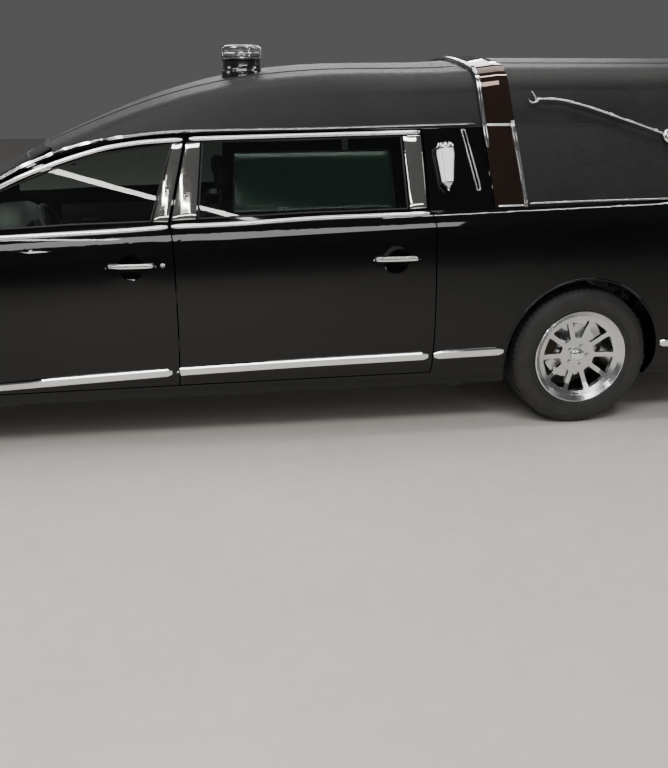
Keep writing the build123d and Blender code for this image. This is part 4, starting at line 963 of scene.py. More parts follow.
@dataclass
class Piece:
    """A finished piece before it is placed: what it is made of and what it rides on."""

    name: str
    finish: Finish
    body: str
    slot: str

    def place(self, shape: Shape, sharp: float = 35.0, replaces: Sequence[str] = ()) -> bpy.types.Object:
        """Make the Blender object.

        Args:
            shape: The piece's mesh.
            sharp: The edge angle in degrees that stays sharp.
            replaces: CAD nodes that the piece stands for.

        Returns:
            The new object, riding on its body.
        """
        mesh = bpy.data.meshes.new(self.name)
        mesh.from_pydata([tuple(p) for p in shape.points], [], shape.faces)
        work = bmesh.new()
        work.from_mesh(mesh)
        bmesh.ops.remove_doubles(work, verts=work.verts, dist=0.00002)
        bmesh.ops.dissolve_degenerate(work, edges=work.edges, dist=0.00001)
        bmesh.ops.recalc_face_normals(work, faces=work.faces)
        work.to_mesh(mesh)
        work.free()
        mesh.shade_smooth()
        mesh.set_sharp_from_angle(angle=math.radians(sharp))
        thing = bpy.data.objects.new(self.name, mesh)
        bpy.context.scene.collection.objects.link(thing)
        mesh.materials.append(self.finish.material())
        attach(thing, self.body)
        if replaces:
            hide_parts(*replaces)
        return thing

    def place_pair(self, shape: Shape, sharp: float = 35.0) -> list[bpy.types.Object]:
        """Place the piece on the left and its mirror image on the right.

        Args:
            shape: The left piece's mesh.
            sharp: The edge angle in degrees that stays sharp.

        Returns:
            The left object and the right one.
        """
        result = []
        for hand, form in (("left", shape), ("right", shape.mirrored())):
            body = self.body.replace("left", hand)
            result.append(Piece(f"{self.name}_{hand}", self.finish, body, self.slot).place(form, sharp))
        return result


@dataclass
class Strip:
    """One length of bright moulding in the side view."""

    name: str
    body: str
    line: list[Point2]
    profile: list[Point2]
    step: float = 0.02


@dataclass
class SideTrim:
    """Bright mouldings and pillar plates along each side."""

    drip: tuple[float, float] = (0.015, 0.008)
    frame: tuple[float, float] = (0.020, 0.006)
    belt: tuple[float, float] = (0.024, 0.010)
    lower: tuple[float, float] = (0.040, 0.012)
    plate_height: float = 0.004
    skin: Skin = field(default_factory=lambda: Skin(
        "front_door_left", "rear_door_left", "body_side_left", "front_fender_left", "roof",
        "front_door_glass_left", "rear_door_glass_left",
    ))

    def strips(self) -> list[Strip]:
        """The mouldings of the left side."""
        front, rear = "front_door_left", "rear_door_left"
        drip, frame = double_bead(*self.drip), half_round(*self.frame)
        belt, lower = half_round(*self.belt), flat_bar(*self.lower, bevel=0.005)
        return [
            Strip("drip_moulding", "body", [
                (1.640, 1.015), (1.45, 1.105), (1.192, 1.236), (1.068, 1.297), (0.940, 1.345), (0.839, 1.373),
                (0.718, 1.398), (0.530, 1.421), (0.364, 1.430), (0.130, 1.435), (-0.234, 1.438),
                (-0.702, 1.447), (-0.965, 1.452),
            ], drip),
            Strip("front_frame_moulding", front, [
                (1.520, 1.035), (1.405, 1.089), (1.196, 1.200), (0.998, 1.283), (0.761, 1.355),
                (0.600, 1.382), (0.480, 1.391), (0.390, 1.395),
            ], frame),
            Strip(
                "rear_frame_moulding", rear, [(0.358, 1.398), (0.0, 1.406), (-0.35, 1.412), (-0.700, 1.418)],
                frame,
            ),
            Strip("front_belt_moulding", front, [
                (1.610, 0.972), (1.45, 0.984), (1.19, 0.996), (0.72, 1.013), (0.472, 1.026),
            ], belt),
            Strip(
                "rear_belt_moulding", rear, [(0.456, 1.027), (0.15, 1.035), (-0.21, 1.051), (-0.722, 1.061)],
                belt,
            ),
            Strip("fender_lower_moulding", "body", [(1.765, 0.312), (1.652, 0.317)], lower),
            Strip(
                "front_lower_moulding", front, [(1.625, 0.318), (1.25, 0.332), (0.94, 0.347), (0.488, 0.366)],
                lower,
            ),
            Strip("rear_lower_moulding", rear, [(0.466, 0.367), (-0.11, 0.382), (-0.722, 0.392)], lower),
            Strip("side_lower_moulding", "body", [(-0.750, 0.393), (-0.92, 0.396), (-1.095, 0.399)], lower),
            Strip("tail_lower_moulding", "body", [(-1.905, 0.404), (-2.3, 0.404), (-2.685, 0.402)], lower),
            Strip("vinyl_bead", "body", [
                (-1.215, 1.093), (-1.55, 1.098), (-1.90, 1.101), (-2.30, 1.103), (-2.80, 1.104),
            ], half_round(0.012, 0.006)),
        ]

    def plates(self) -> list[tuple[str, str, list[Point2]]]:
        """The pillar plates: name, body, corners."""
        return [
            (
                "front_pillar_plate", "front_door_left",
                [(0.537, 1.048), (0.470, 1.046), (0.388, 1.380), (0.434, 1.379)],
            ),
            (
                "rear_pillar_plate", "rear_door_left",
                [(0.454, 1.052), (0.346, 1.055), (0.310, 1.384), (0.374, 1.382)],
            ),
            (
                "quarter_pillar_plate", "rear_door_left",
                [(-0.637, 1.080), (-0.716, 1.083), (-0.702, 1.404), (-0.620, 1.401)],
            ),
        ]

    def build(self) -> None:
        """Lay every moulding and plate on both sides."""
        for strip in self.strips():
            seats = self.skin.row(Side.LEFT, curve_through(strip.line, strip.step))
            Piece(strip.name, CHROME, strip.body, "chrome").place_pair(sweep(seats, strip.profile))
        for name, body, corners in self.plates():
            grid = patch(self.skin, Side.LEFT, corners, 14, 4)
            Piece(name, PLATE, body, "chrome").place_pair(slab(grid, self.plate_height))
        LOG.info("side trim: %d mouldings a side", len(self.strips()))


def lifted(seats: Iterable[Seat], height: float) -> list[Seat]:
    """The seats moved out of the surface."""
    return [Seat(seat.point + seat.out * height, seat.out) for seat in seats]


def rod(
    points: Sequence[Vector], radius: float | Sequence[float], parts: int = 10, flat: float = 1.0
) -> Shape:
    """A round bar through points.

    Args:
        points: The centre line.
        radius: One radius, or one for each point.
        parts: Points round a ring.
        flat: The ring's height against its width.

    Returns:
        The closed bar.
    """
    count = len(points)
    radii = [radius] * count if isinstance(radius, (int, float)) else radius
    rings: list[list[Vector]] = []
    side = UP
    for i, point in enumerate(points):
        along = (points[min(i + 1, count - 1)] - points[max(i - 1, 0)]).normalized()
        if abs(along.dot(side)) > 0.95:
            side = AHEAD if abs(along.x) < 0.9 else LEFTWARD
        across = along.cross(side).normalized()
        up = across.cross(along)
        side = up
        rings.append([
            point + (
                across * math.cos(2 * math.pi * k / parts) + up * math.sin(2 * math.pi * k / parts) * flat
            ) * radii[i]
            for k in range(parts)
        ])
    return tube_of(rings)


def brick(low: Sequence[float], high: Sequence[float], bevel: float = 0.003) -> Shape:
    """A block with its upright and level edges bevelled.

    Args:
        low: The lowest corner.
        high: The highest corner.
        bevel: The bevel's width.

    Returns:
        The closed block.
    """
    low, high = Vector(low), Vector(high)
    bevel = min(bevel, *((high - low) * 0.45))
    rings: list[list[Vector]] = []
    for z, inset in ((low.z, bevel), (low.z + bevel, 0.0), (high.z - bevel, 0.0), (high.z, bevel)):
        x0, x1, y0, y1 = low.x + inset, high.x - inset, low.y + inset, high.y - inset
        rings.append([
            Vector(p + (z,)) for p in (
                (x0 + bevel, y0), (x1 - bevel, y0), (x1, y0 + bevel), (x1, y1 - bevel), (x1 - bevel, y1),
                (x0 + bevel, y1), (x0, y1 - bevel), (x0, y0 + bevel),
            )
        ])
    return tube_of(rings)


def helix(centre: Vector, radius: float, height: float, turns: float, wire: float) -> Shape:
    """A coil spring that stands on a point.

    Args:
        centre: The middle of the spring's foot.
        radius: The coil's radius to the middle of the wire.
        height: The spring's height.
        turns: How many turns it has.
        wire: The wire's radius.

    Returns:
        The closed spring.
    """
    count = round(turns * 20)
    line = [
        centre + at(
            radius * math.cos(2 * math.pi * turns * k / count),
            radius * math.sin(2 * math.pi * turns * k / count), height * k / count,
        )
        for k in range(count + 1)
    ]
    return rod(line, wire, 8)


@dataclass
class RoofTrim:
    """The polished edges of the roof band, its caps, and the welts sewn into the vinyl."""

    front: tuple[Point2, Point2] = ((-0.970, 1.720), (-1.045, 1.064))
    rear: tuple[Point2, Point2] = ((-1.118, 1.720), (-1.203, 1.064))
    bead: tuple[float, float] = (0.022, 0.009)
    foot_z: float = 1.060
    welt_y: float = 0.455
    welt: tuple[float, float] = (0.010, 0.0035)

    def edge_line(self, edge: tuple[Point2, Point2], shift: float) -> Callable[[float], float]:
        """The x of an edge at a height, moved along the car by shift."""
        (x1, z1), (x0, z0) = edge
        return lambda z: x0 + (x1 - x0) * (z - z0) / (z1 - z0) + shift

    def build(self) -> None:
        """Lay the edges, the caps and the welts."""
        band, roof = Skin("roof_band"), Skin("roof")
        foot_z = self.foot_z
        while band.seat(Side.LEFT, self.edge_line(self.front, -0.02)(foot_z), foot_z) is None:
            foot_z += 0.002
        foot_z += 0.003
        for name, edge, shift in (("front", self.front, -0.007), ("rear", self.rear, 0.007)):
            seats = band.hoop(self.edge_line(edge, shift), foot_z)
            Piece(f"band_{name}_edge", CHROME, "body", "chrome").place(sweep(seats, double_bead(*self.bead)))
        inner_edges = (self.edge_line(self.front, -0.015), self.edge_line(self.rear, 0.015))
        for k, z in enumerate((foot_z + 0.003, 1.447)):
            ends = [edge(z) for edge in inner_edges]
            cap = sweep(band.row(Side.LEFT, level(*ends, z, 8)), half_round(0.012, 0.005), taper=1)
            Piece(f"band_cap_{k}", CHROME, "body", "chrome").place_pair(cap)
        for hand in (-1, 1):
            for part, x0, x1 in (("front", 1.02, -0.93), ("rear", -1.14, -3.02)):
                line = [(x, hand * self.welt_y * (1 - 0.18 * max(0.0, x))) for x in spread(x0, x1, 60)]
                seats = roof.row(Side.TOP, line)
                name = f"roof_welt_{part}_{'left' if hand > 0 else 'right'}"
                Piece(name, VINYL, "body", "vinyl").place(sweep(seats, half_round(*self.welt)))
        LOG.info("roof: band edges, caps and welts")


@dataclass
class QuarterTrim:
    """The slim loop strip and the coach lamp on the panel behind each rear door."""

    strip_top: Point2 = (-0.908, 1.418)
    strip_foot: Point2 = (-0.968, 1.165)
    strip_gap: float = 0.017
    foot: Point3 = (-0.812, 0.8559, 1.196)
    lean: Point3 = (0.008, -0.05206, 0.166)
    flutes: int = 16
    barrel: tuple[float, float] = (0.0255, 0.0395)
    barrel_height: float = 0.152

    def loop(self, skin: Skin) -> Shape:
        """The double-line strip with round ends.

        Args:
            skin: The body's left side.

        Returns:
            The closed strip.
        """
        top, foot = Vector(self.strip_top), Vector(self.strip_foot)
        along = (foot - top).normalized()
        across = Vector((-along.y, along.x)) * self.strip_gap / 2
        line: list[Point2] = []
        for k in range(26):
            p = top + (foot - top) * k / 25 + across
            line.append((p.x, p.y))
        for start, ahead, turn in ((foot, along, across), (top, -along, -across)):
            for k in range(1, 8):
                angle = math.pi * k / 8
                p = start + turn * math.cos(angle) + ahead * math.sin(angle) * self.strip_gap / 2
                line.append((p.x, p.y))
            if start is foot:
                for k in range(26):
                    p = foot + (top - foot) * k / 25 - across
                    line.append((p.x, p.y))
        return sweep(skin.row(Side.LEFT, line), half_round(0.0065, 0.005), closed=True)

    def leaf(self, centre: Vector, axis: Vector, angle: float, size: float) -> Shape:
        """One curled leaf of the crown.

        Args:
            centre: The middle of the crown's foot.
            axis: The lamp's axis.
            angle: Where round the lamp the leaf stands.
            size: The leaf's half width.

        Returns:
            The closed leaf.
        """
        turn = axis.to_track_quat("Z", "Y").to_matrix()
        grid: list[list[Seat]] = []
        for i in range(8):
            t = i / 7
            reach = 0.030 + 0.010 * math.sin(math.pi * t * 0.9)
            wide = size * (0.35 + 0.65 * math.sin(math.pi * (0.18 + 0.8 * t)))
            row = []
            for j in range(5):
                s = j / 2 - 1
                bend = angle + s * wide / reach
                radial = turn @ at(math.cos(bend), math.sin(bend), 0)
                point = centre + axis * (0.030 * t) + radial * (reach - 0.0022 * abs(s))
                row.append(Seat(point, radial))
            grid.append(row)
        return slab(grid, 0.0022, 0.0008, 0.001)

    def lamp(self) -> dict[str, Shape]:
        """The coach lamp of the left side, as glass and metal."""
        base = Vector(self.foot)
        axis = Vector(self.lean).normalized()
        low, high = self.barrel
        rise = self.barrel_height

        def flute(angle: float, height: float) -> float:
            """The glass's ripple, fading at both ends."""
            fade = min(1.0, max(0.0, min(height, rise - height) / 0.02))
            return 1.0 + 0.055 * fade * math.cos(self.flutes * angle)

        steps = 18
        wall = [
            (low + (high - low) * (k / steps) ** 1.15, 0.002 + (rise - 0.004) * k / steps)
            for k in range(steps + 1)
        ]
        glass = turned([(0.0, 0.002), *wall, (0.0, rise - 0.002)], base, axis, 128, ripple=flute)
        metal = turned([
            (0.0, -0.040), (0.004, -0.0385), (0.0065, -0.035), (0.004, -0.031), (0.006, -0.028),
            (0.012, -0.024), (0.011, -0.021), (0.019, -0.014), (0.024, -0.006), (0.0255, -0.001),
            (0.0262, 0.003), (0.0235, 0.004), (0.0, 0.004),
        ], base, axis, 48)
        metal.join(turned([
            (0.0, 0.149), (high - 0.003, 0.149), (high + 0.003, 0.152), (high + 0.0035, 0.157), (high, 0.160),
            (high - 0.002, 0.166), (0.030, 0.173), (0.021, 0.179), (0.016, 0.185), (0.0085, 0.188),
            (0.0, 0.1895),
        ], base, axis, 48))
        crown_base = base + axis * 0.150
        for k in range(10):
            metal.join(self.leaf(crown_base, axis, 2 * math.pi * k / 10, 0.010))
        for k in range(4):
            angle = 2 * math.pi * (k + 0.5) / 4
            frame = axis.to_track_quat("Z", "Y").to_matrix()
            line = []
            for m in range(9):
                t = m / 8
                radial = frame @ at(math.cos(angle), math.sin(angle), 0)
                line.append(base + axis * (rise * t) + radial * (low + (high - low) * t**1.15 + 0.0012))
            metal.join(rod(line, 0.0016, 6))
        return {"glass": glass, "metal": metal}

    def build(self) -> None:
        """Lay the strips and hang the lamps."""
        skin = Skin("body_side_left")
        Piece("loop_strip", CHROME, "body", "chrome").place_pair(self.loop(skin))
        lamp = self.lamp()
        glass = lamp["glass"].join(lamp["glass"].mirrored())
        metal = lamp["metal"].join(lamp["metal"].mirrored())
        seat = skin.seat(Side.LEFT, self.foot[0] + 0.003, 1.275)
        plate = boss([(0.0, 0.006), (0.012, 0.0055), (0.017, 0.003), (0.020, -0.001)], seat, 36)
        arm = rod(
            [seat.point, seat.point + seat.out * 0.012, seat.point + seat.out * 0.022], [0.011, 0.009, 0.008],
            16,
        )
        metal.join(plate).join(plate.mirrored()).join(arm).join(arm.mirrored())
        Piece("coach_lamp_glass", OPAL, "body", "lamp_white").place(glass, 60.0, ["coach_lamps"])
        Piece("coach_lamp_metal", CHROME, "body", "chrome").place(metal, 40.0)
        LOG.info("quarter panels: loop strips and coach lamps")


@dataclass
class LandauBars:
    """The S-shaped bars on the blind quarters, with collars, bosses and a hook at the front end."""

    half: list[Point2] = field(
        default_factory=lambda: [(-1.272, 1.556), (-1.400, 1.549), (-1.610, 1.492), (-1.920, 1.385)]
    )
    stand_off: float = 0.021
    rod_radius: tuple[float, float] = (0.0042, 0.0064)
    collars: tuple[float, ...] = (0.05, 0.28, 0.43, 0.57, 0.72, 0.95)

    def line(self) -> list[Point2]:
        """The bar's middle line in the side view."""
        front = curve_through(self.half, 0.012)
        cx, cz = self.half[-1]
        rear = [(2 * cx - x, 2 * cz - z) for x, z in reversed(front[:-1])]
        return front + rear

    def build(self) -> None:
        """Make both bars."""
        skin = Skin("roof")
        line = self.line()
        seats = skin.row(Side.LEFT, line)
        points = [s.point for s in lifted(seats, self.stand_off)]
        low, high = self.rod_radius
        count = len(points)
        radii = []
        for i in range(count):
            t = i / (count - 1)
            radius = low + (high - low) * math.sin(math.pi * min(1.0, 2 * min(t, 1 - t)) / 2) ** 0.7
            radii.append(radius)
        bar = rod(points, radii, 14)
        for share in self.collars:
            i = round(share * (count - 1))
            here = points[i]
            along = (points[min(i + 1, count - 1)] - points[max(i - 1, 0)]).normalized()
            r = radii[i]
            bar.join(turned([
                (r * 0.9, -0.010), (r + 0.0018, -0.009), (r + 0.0022, -0.006), (r + 0.001, -0.004),
                (r + 0.0036, -0.002), (r + 0.0040, 0.0), (r + 0.0036, 0.002), (r + 0.001, 0.004),
                (r + 0.0022, 0.006), (r + 0.0018, 0.009), (r * 0.9, 0.010),
            ], here, along, 28))
        middle = seats[count // 2]

        def petals(angle: float, height: float) -> float:
            """The petals pressed into the middle boss."""
            return 1.0 + (0.035 * math.cos(12 * angle) if height > 0.012 else 0.0)

        bar.join(boss([
            (0.0, 0.0305), (0.007, 0.0300), (0.012, 0.0275), (0.015, 0.0268), (0.018, 0.0285),
            (0.024, 0.0292), (0.030, 0.027), (0.034, 0.0215), (0.032, 0.016), (0.022, 0.011), (0.013, 0.008),
            (0.0125, -0.003), (0.0, -0.003),
        ], middle, 48, petals))
        for seat in (seats[0], seats[-1]):
            bar.join(boss([
                (0.0, 0.0270), (0.004, 0.0265), (0.0065, 0.0245), (0.0070, 0.021), (0.0055, 0.016),
                (0.005, 0.012), (0.006, 0.004), (0.010, 0.0015), (0.011, -0.001), (0.0, -0.001),
            ], seat, 36))
        tip = seats[0]
        hook = [(0.0, 0.0), (0.010, -0.010), (0.024, -0.017), (0.040, -0.012), (0.048, 0.002)]
        arm = [(0.010, -0.010), (0.016, 0.004), (0.020, 0.016), (0.026, 0.026), (0.034, 0.031)]
        start = tip.point + tip.out * (self.stand_off + 0.002)
        for stroke in (hook, arm):
            line3 = [start + at(x, -0.30 * z, z) for x, z in curve_through(stroke, 0.0025)]
            bar.join(rod(line3, [0.0046 - 0.0014 * k / (len(line3) - 1) for k in range(len(line3))], 10))
        bar.join(bar.mirrored())
        Piece("landau_bar_pair", CHROME, "body", "chrome").place(bar, 40.0, ["landau_bars"])
        LOG.info("landau bars: %d points each", count)


@dataclass
class DoorFittings:
    """Strap handles, key locks, glass seals and the blank sign panels of the side doors."""

    spans: dict[str, tuple[float, float]] = field(
        default_factory=lambda: {"front_door": (0.532, 0.747), "rear_door": (-0.665, -0.450)}
    )
    height: float = 0.863
    half: float = 0.0138
    windows: dict[str, list[Point2]] = field(default_factory=lambda: {
        "front_door": [
            (1.410, 1.021), (1.410, 1.070), (1.196, 1.186), (0.998, 1.269), (0.761, 1.342), (0.431, 1.381),
            (0.541, 1.046),
        ],
        "rear_door": [(0.341, 1.053), (0.305, 1.386), (-0.615, 1.403), (-0.633, 1.078)],
    })
    sign: tuple[Point2, ...] = ((0.175, 1.080), (-0.575, 1.090), (-0.560, 1.350), (0.160, 1.345))
    clips_x: Point2 = (-0.05, -0.36)

    def handle(self, door: str) -> Shape:
        """A polished strap over the painted one, with a lip round each end.

        Args:
            door: The door's name without its hand.

        Returns:
            The handle of the left door.
        """
        x0, x1 = self.spans[door]
        skin = Skin(f"{door}_left")
        low = skin.seat(Side.LEFT, x0 - 0.02, self.height)
        high = skin.seat(Side.LEFT, x1 + 0.02, self.height)
        seats = []
        count = 26
        for k in range(count + 1):
            t = k / count
            x = x0 - 0.0015 + (x1 - x0 + 0.003) * t
            y = low.point.y + (high.point.y - low.point.y) * (x - x0 + 0.02) / (x1 - x0 + 0.04)
            seats.append(Seat(at(x, y, self.height), low.out))
        shape = Shape()
        rings = []
        for k, seat in enumerate(seats):
            t = k / count
            fade = min(1.0, 0.30 + 0.70 * math.sqrt(min(1.0, min(t, 1 - t) * 14)))
            crown = 0.0010 * math.sin(math.pi * t)
            section = []
            for m in range(14):
                angle = 2 * math.pi * m / 14
                u = squared(math.cos(angle), 0.6) * self.half * fade
                v = 0.0190 + squared(math.sin(angle), 0.8) * 0.0057 * (0.55 + 0.45 * fade) + crown * 0.4
                section.append(seat.point + UP * u + seat.out * v)
            rings.append(section)
        shape.join(tube_of(rings))
        for k in (2, count - 2):
            seat = seats[k]
            shape.join(boss(
                [(0.0, 0.016), (0.0085, 0.015), (0.010, 0.006), (0.0125, 0.0015), (0.013, -0.0015)], seat, 28
            ))
        return shape

    def seal(self, door: str) -> Shape:
        """The rubber run round a door glass.

        Args:
            door: The door's name without its hand.

        Returns:
            The seal of the left door.
        """
        line = loop_of(self.windows[door], 0.018)
        middle = (sum(p[0] for p in line) / len(line), sum(p[1] for p in line) / len(line))
        inner = []
        for x, z in line:
            share = 0.005 / math.dist((x, z), middle)
            inner.append((x + (middle[0] - x) * share, z + (middle[1] - z) * share))
        glass = Skin(f"{door}_glass_left")
        return glass.bead(Side.LEFT, inner, half_round(0.010, 0.007, 0.0), 0.004, closed=True)

    def sign_panel(self) -> dict[str, Shape]:
        """The blank panel that stands behind the rear door glass, and its clips."""
        skin = Skin("rear_door_glass_left")
        grid = [lifted(row, -0.040) for row in patch(skin, Side.LEFT, self.sign, 8, 18)]
        panel = slab(grid, 0.003, 0.001, 0.003)
        rim = skin.bead(
            Side.LEFT, loop_of(self.sign, 0.03), half_round(0.010, 0.004), closed=True, lift=-0.037
        )
        clips = Shape()
        for x in self.clips_x:
            seat = lifted([skin.seat(Side.LEFT, x, 1.092)], -0.038)[0]
            clip = brick((-0.030, -0.014, -0.030), (0.030, 0.007, 0.012), 0.003)
            clips.join(clip.moved(Matrix.Translation(seat.point)))
            clips.join(boss([(0.0, 0.011), (0.006, 0.0105), (0.008, 0.006), (0.008, 0.0)], seat, 20))
        return {"panel": panel, "rim": rim, "clips": clips}

    def build(self) -> None:
        """Fit the doors of both sides."""
        for door in self.spans:
            body = f"{door}_left"
            Piece(f"{door}_handle", CHROME, body, "chrome").place_pair(self.handle(door), 45.0)
            Piece(f"{door}_glass_seal", SEAL, body, "rubber").place_pair(self.seal(door))
        x1 = self.spans["front_door"][1]
        seat = Skin("front_door_left").seat(Side.LEFT, x1 - 0.245, self.height)
        lock = boss(
            [
                (0.0, 0.0012), (0.0035, 0.0014), (0.0040, 0.0030), (0.0085, 0.0034), (0.0105, 0.0010),
                (0.0105, -0.001),
            ],
            seat, 28,
        )
        Piece("front_door_lock", CHROME, "front_door_left", "chrome").place_pair(lock)
        sign = self.sign_panel()
        Piece("sign_panel", SIGN, "rear_door_left", "tinted_glass").place_pair(sign["panel"])
        Piece("sign_rim", SEAL, "rear_door_left", "rubber").place_pair(sign["rim"])
        Piece("sign_clips", CHROME, "rear_door_left", "chrome").place_pair(sign["clips"])
        LOG.info("doors: handles, seals, locks and sign panels")


@dataclass
class RoofBeacon:
    """The lamp on the roof: a glossy black drum under a ribbed clear lens."""

    place: Point2 = (0.090, 0.300)
    drum_radius: float = 0.092
    lens_radius: float = 0.0985
    drum_top: float = 1.749
    top: float = 1.8105

    def build(self) -> None:
        """Make the drum, the lens and its lamp."""
        x, y = self.place
        seat = Skin("roof").seat(Side.TOP, x, y)
        ground = seat.point.z
        rise = self.drum_top - ground
        foot = at(x, y, ground)
        drum = turned([
            (0.0, -0.018), (0.0985, -0.018), (0.0985, 0.006), (0.097, 0.012),
            (self.drum_radius + 0.001, 0.018), (self.drum_radius - 0.001, rise * 0.5),
            (self.drum_radius, rise - 0.010), (self.drum_radius + 0.004, rise - 0.006),
            (self.drum_radius + 0.004, rise), (0.0, rise),
        ], foot, UP, 96)
        lens_foot = at(x, y, self.drum_top)
        tall = self.top - self.drum_top
        r = self.lens_radius
        wall: list[Point2] = [(0.0, 0.001), (r - 0.004, 0.001), (r - 0.001, 0.004)]
        wall += [(r - (0.0016 if k % 2 else 0.0), 0.006 + (tall - 0.018) * k / 14) for k in range(15)]
        wall += [(r - 0.004, tall - 0.008), (r - 0.010, tall - 0.003), (r - 0.020, tall), (0.0, tall)]
        lens = turned(
            wall, lens_foot, UP, 120,
            ripple=lambda angle, height: 1.0 - 0.006 * (0.5 + 0.5 * math.cos(60 * angle)),
        )
        inside = turned([
            (0.0, 0.003), (0.070, 0.003), (0.074, 0.006), (0.020, 0.010), (0.016, 0.014), (0.016, 0.040),
            (0.010, 0.046), (0.0, 0.048),
        ], lens_foot, UP, 48)
        Piece("beacon_drum", BEACON_BLACK, "body", "beacon_black").place(drum, 40.0, ["beacon"])
        Piece("beacon_lens", LENS_CLEAR, "body", "lamp_clear").place(lens, 25.0)
        Piece("beacon_lamp", CHROME, "body", "chrome").place(inside, 40.0)
        LOG.info("beacon: drum, lens and lamp")


@dataclass
class Mirrors:
    """Mirror glass, its rim and the turn repeater on each door mirror."""

    face_x: float = 1.4517
    outline: list[Point2] = field(default_factory=lambda: [
        (0.956, 1.032), (1.070, 1.040), (1.086, 1.052), (1.092, 1.078), (1.086, 1.110), (1.056, 1.128),
        (0.974, 1.125), (0.954, 1.098),
    ])

    def build(self) -> None:
        """Fit both mirrors."""
        line = curve_through([*self.outline, self.outline[0]], 0.006)[:-1]
        seats = [Seat(at(self.face_x, y, z), BEHIND) for y, z in line]
        rim = sweep(seats, half_round(0.006, 0.0022, 0.001), closed=True)
        middle = at(self.face_x, sum(p[0] for p in line) / len(line), sum(p[1] for p in line) / len(line))
        rings = []
        for share, lift in ((0.97, -0.0008), (0.97, 0.0003), (0.5, 0.0009), (0.02, 0.0011)):
            rings.append([middle + (s.point - middle) * share + at(-lift, 0, 0) for s in seats])
        glass = tube_of(rings)
        Piece("mirror_rim", TRIM_PLASTIC, "front_door_left", "rubber").place_pair(rim)
        Piece("mirror_face", CHROME, "front_door_left", "chrome").place_pair(glass, 50.0)
        skin = Skin("mirror_left")
        band = skin.row(Side.LEFT, [(1.545 - 0.085 * k / 12, 1.078) for k in range(13)], 0.02)
        Piece("mirror_repeater", LENS_AMBER, "front_door_left", "lamp_clear").place_pair(
            sweep(band, half_round(0.010, 0.0015), taper=2)
        )
        LOG.info("mirrors fitted")


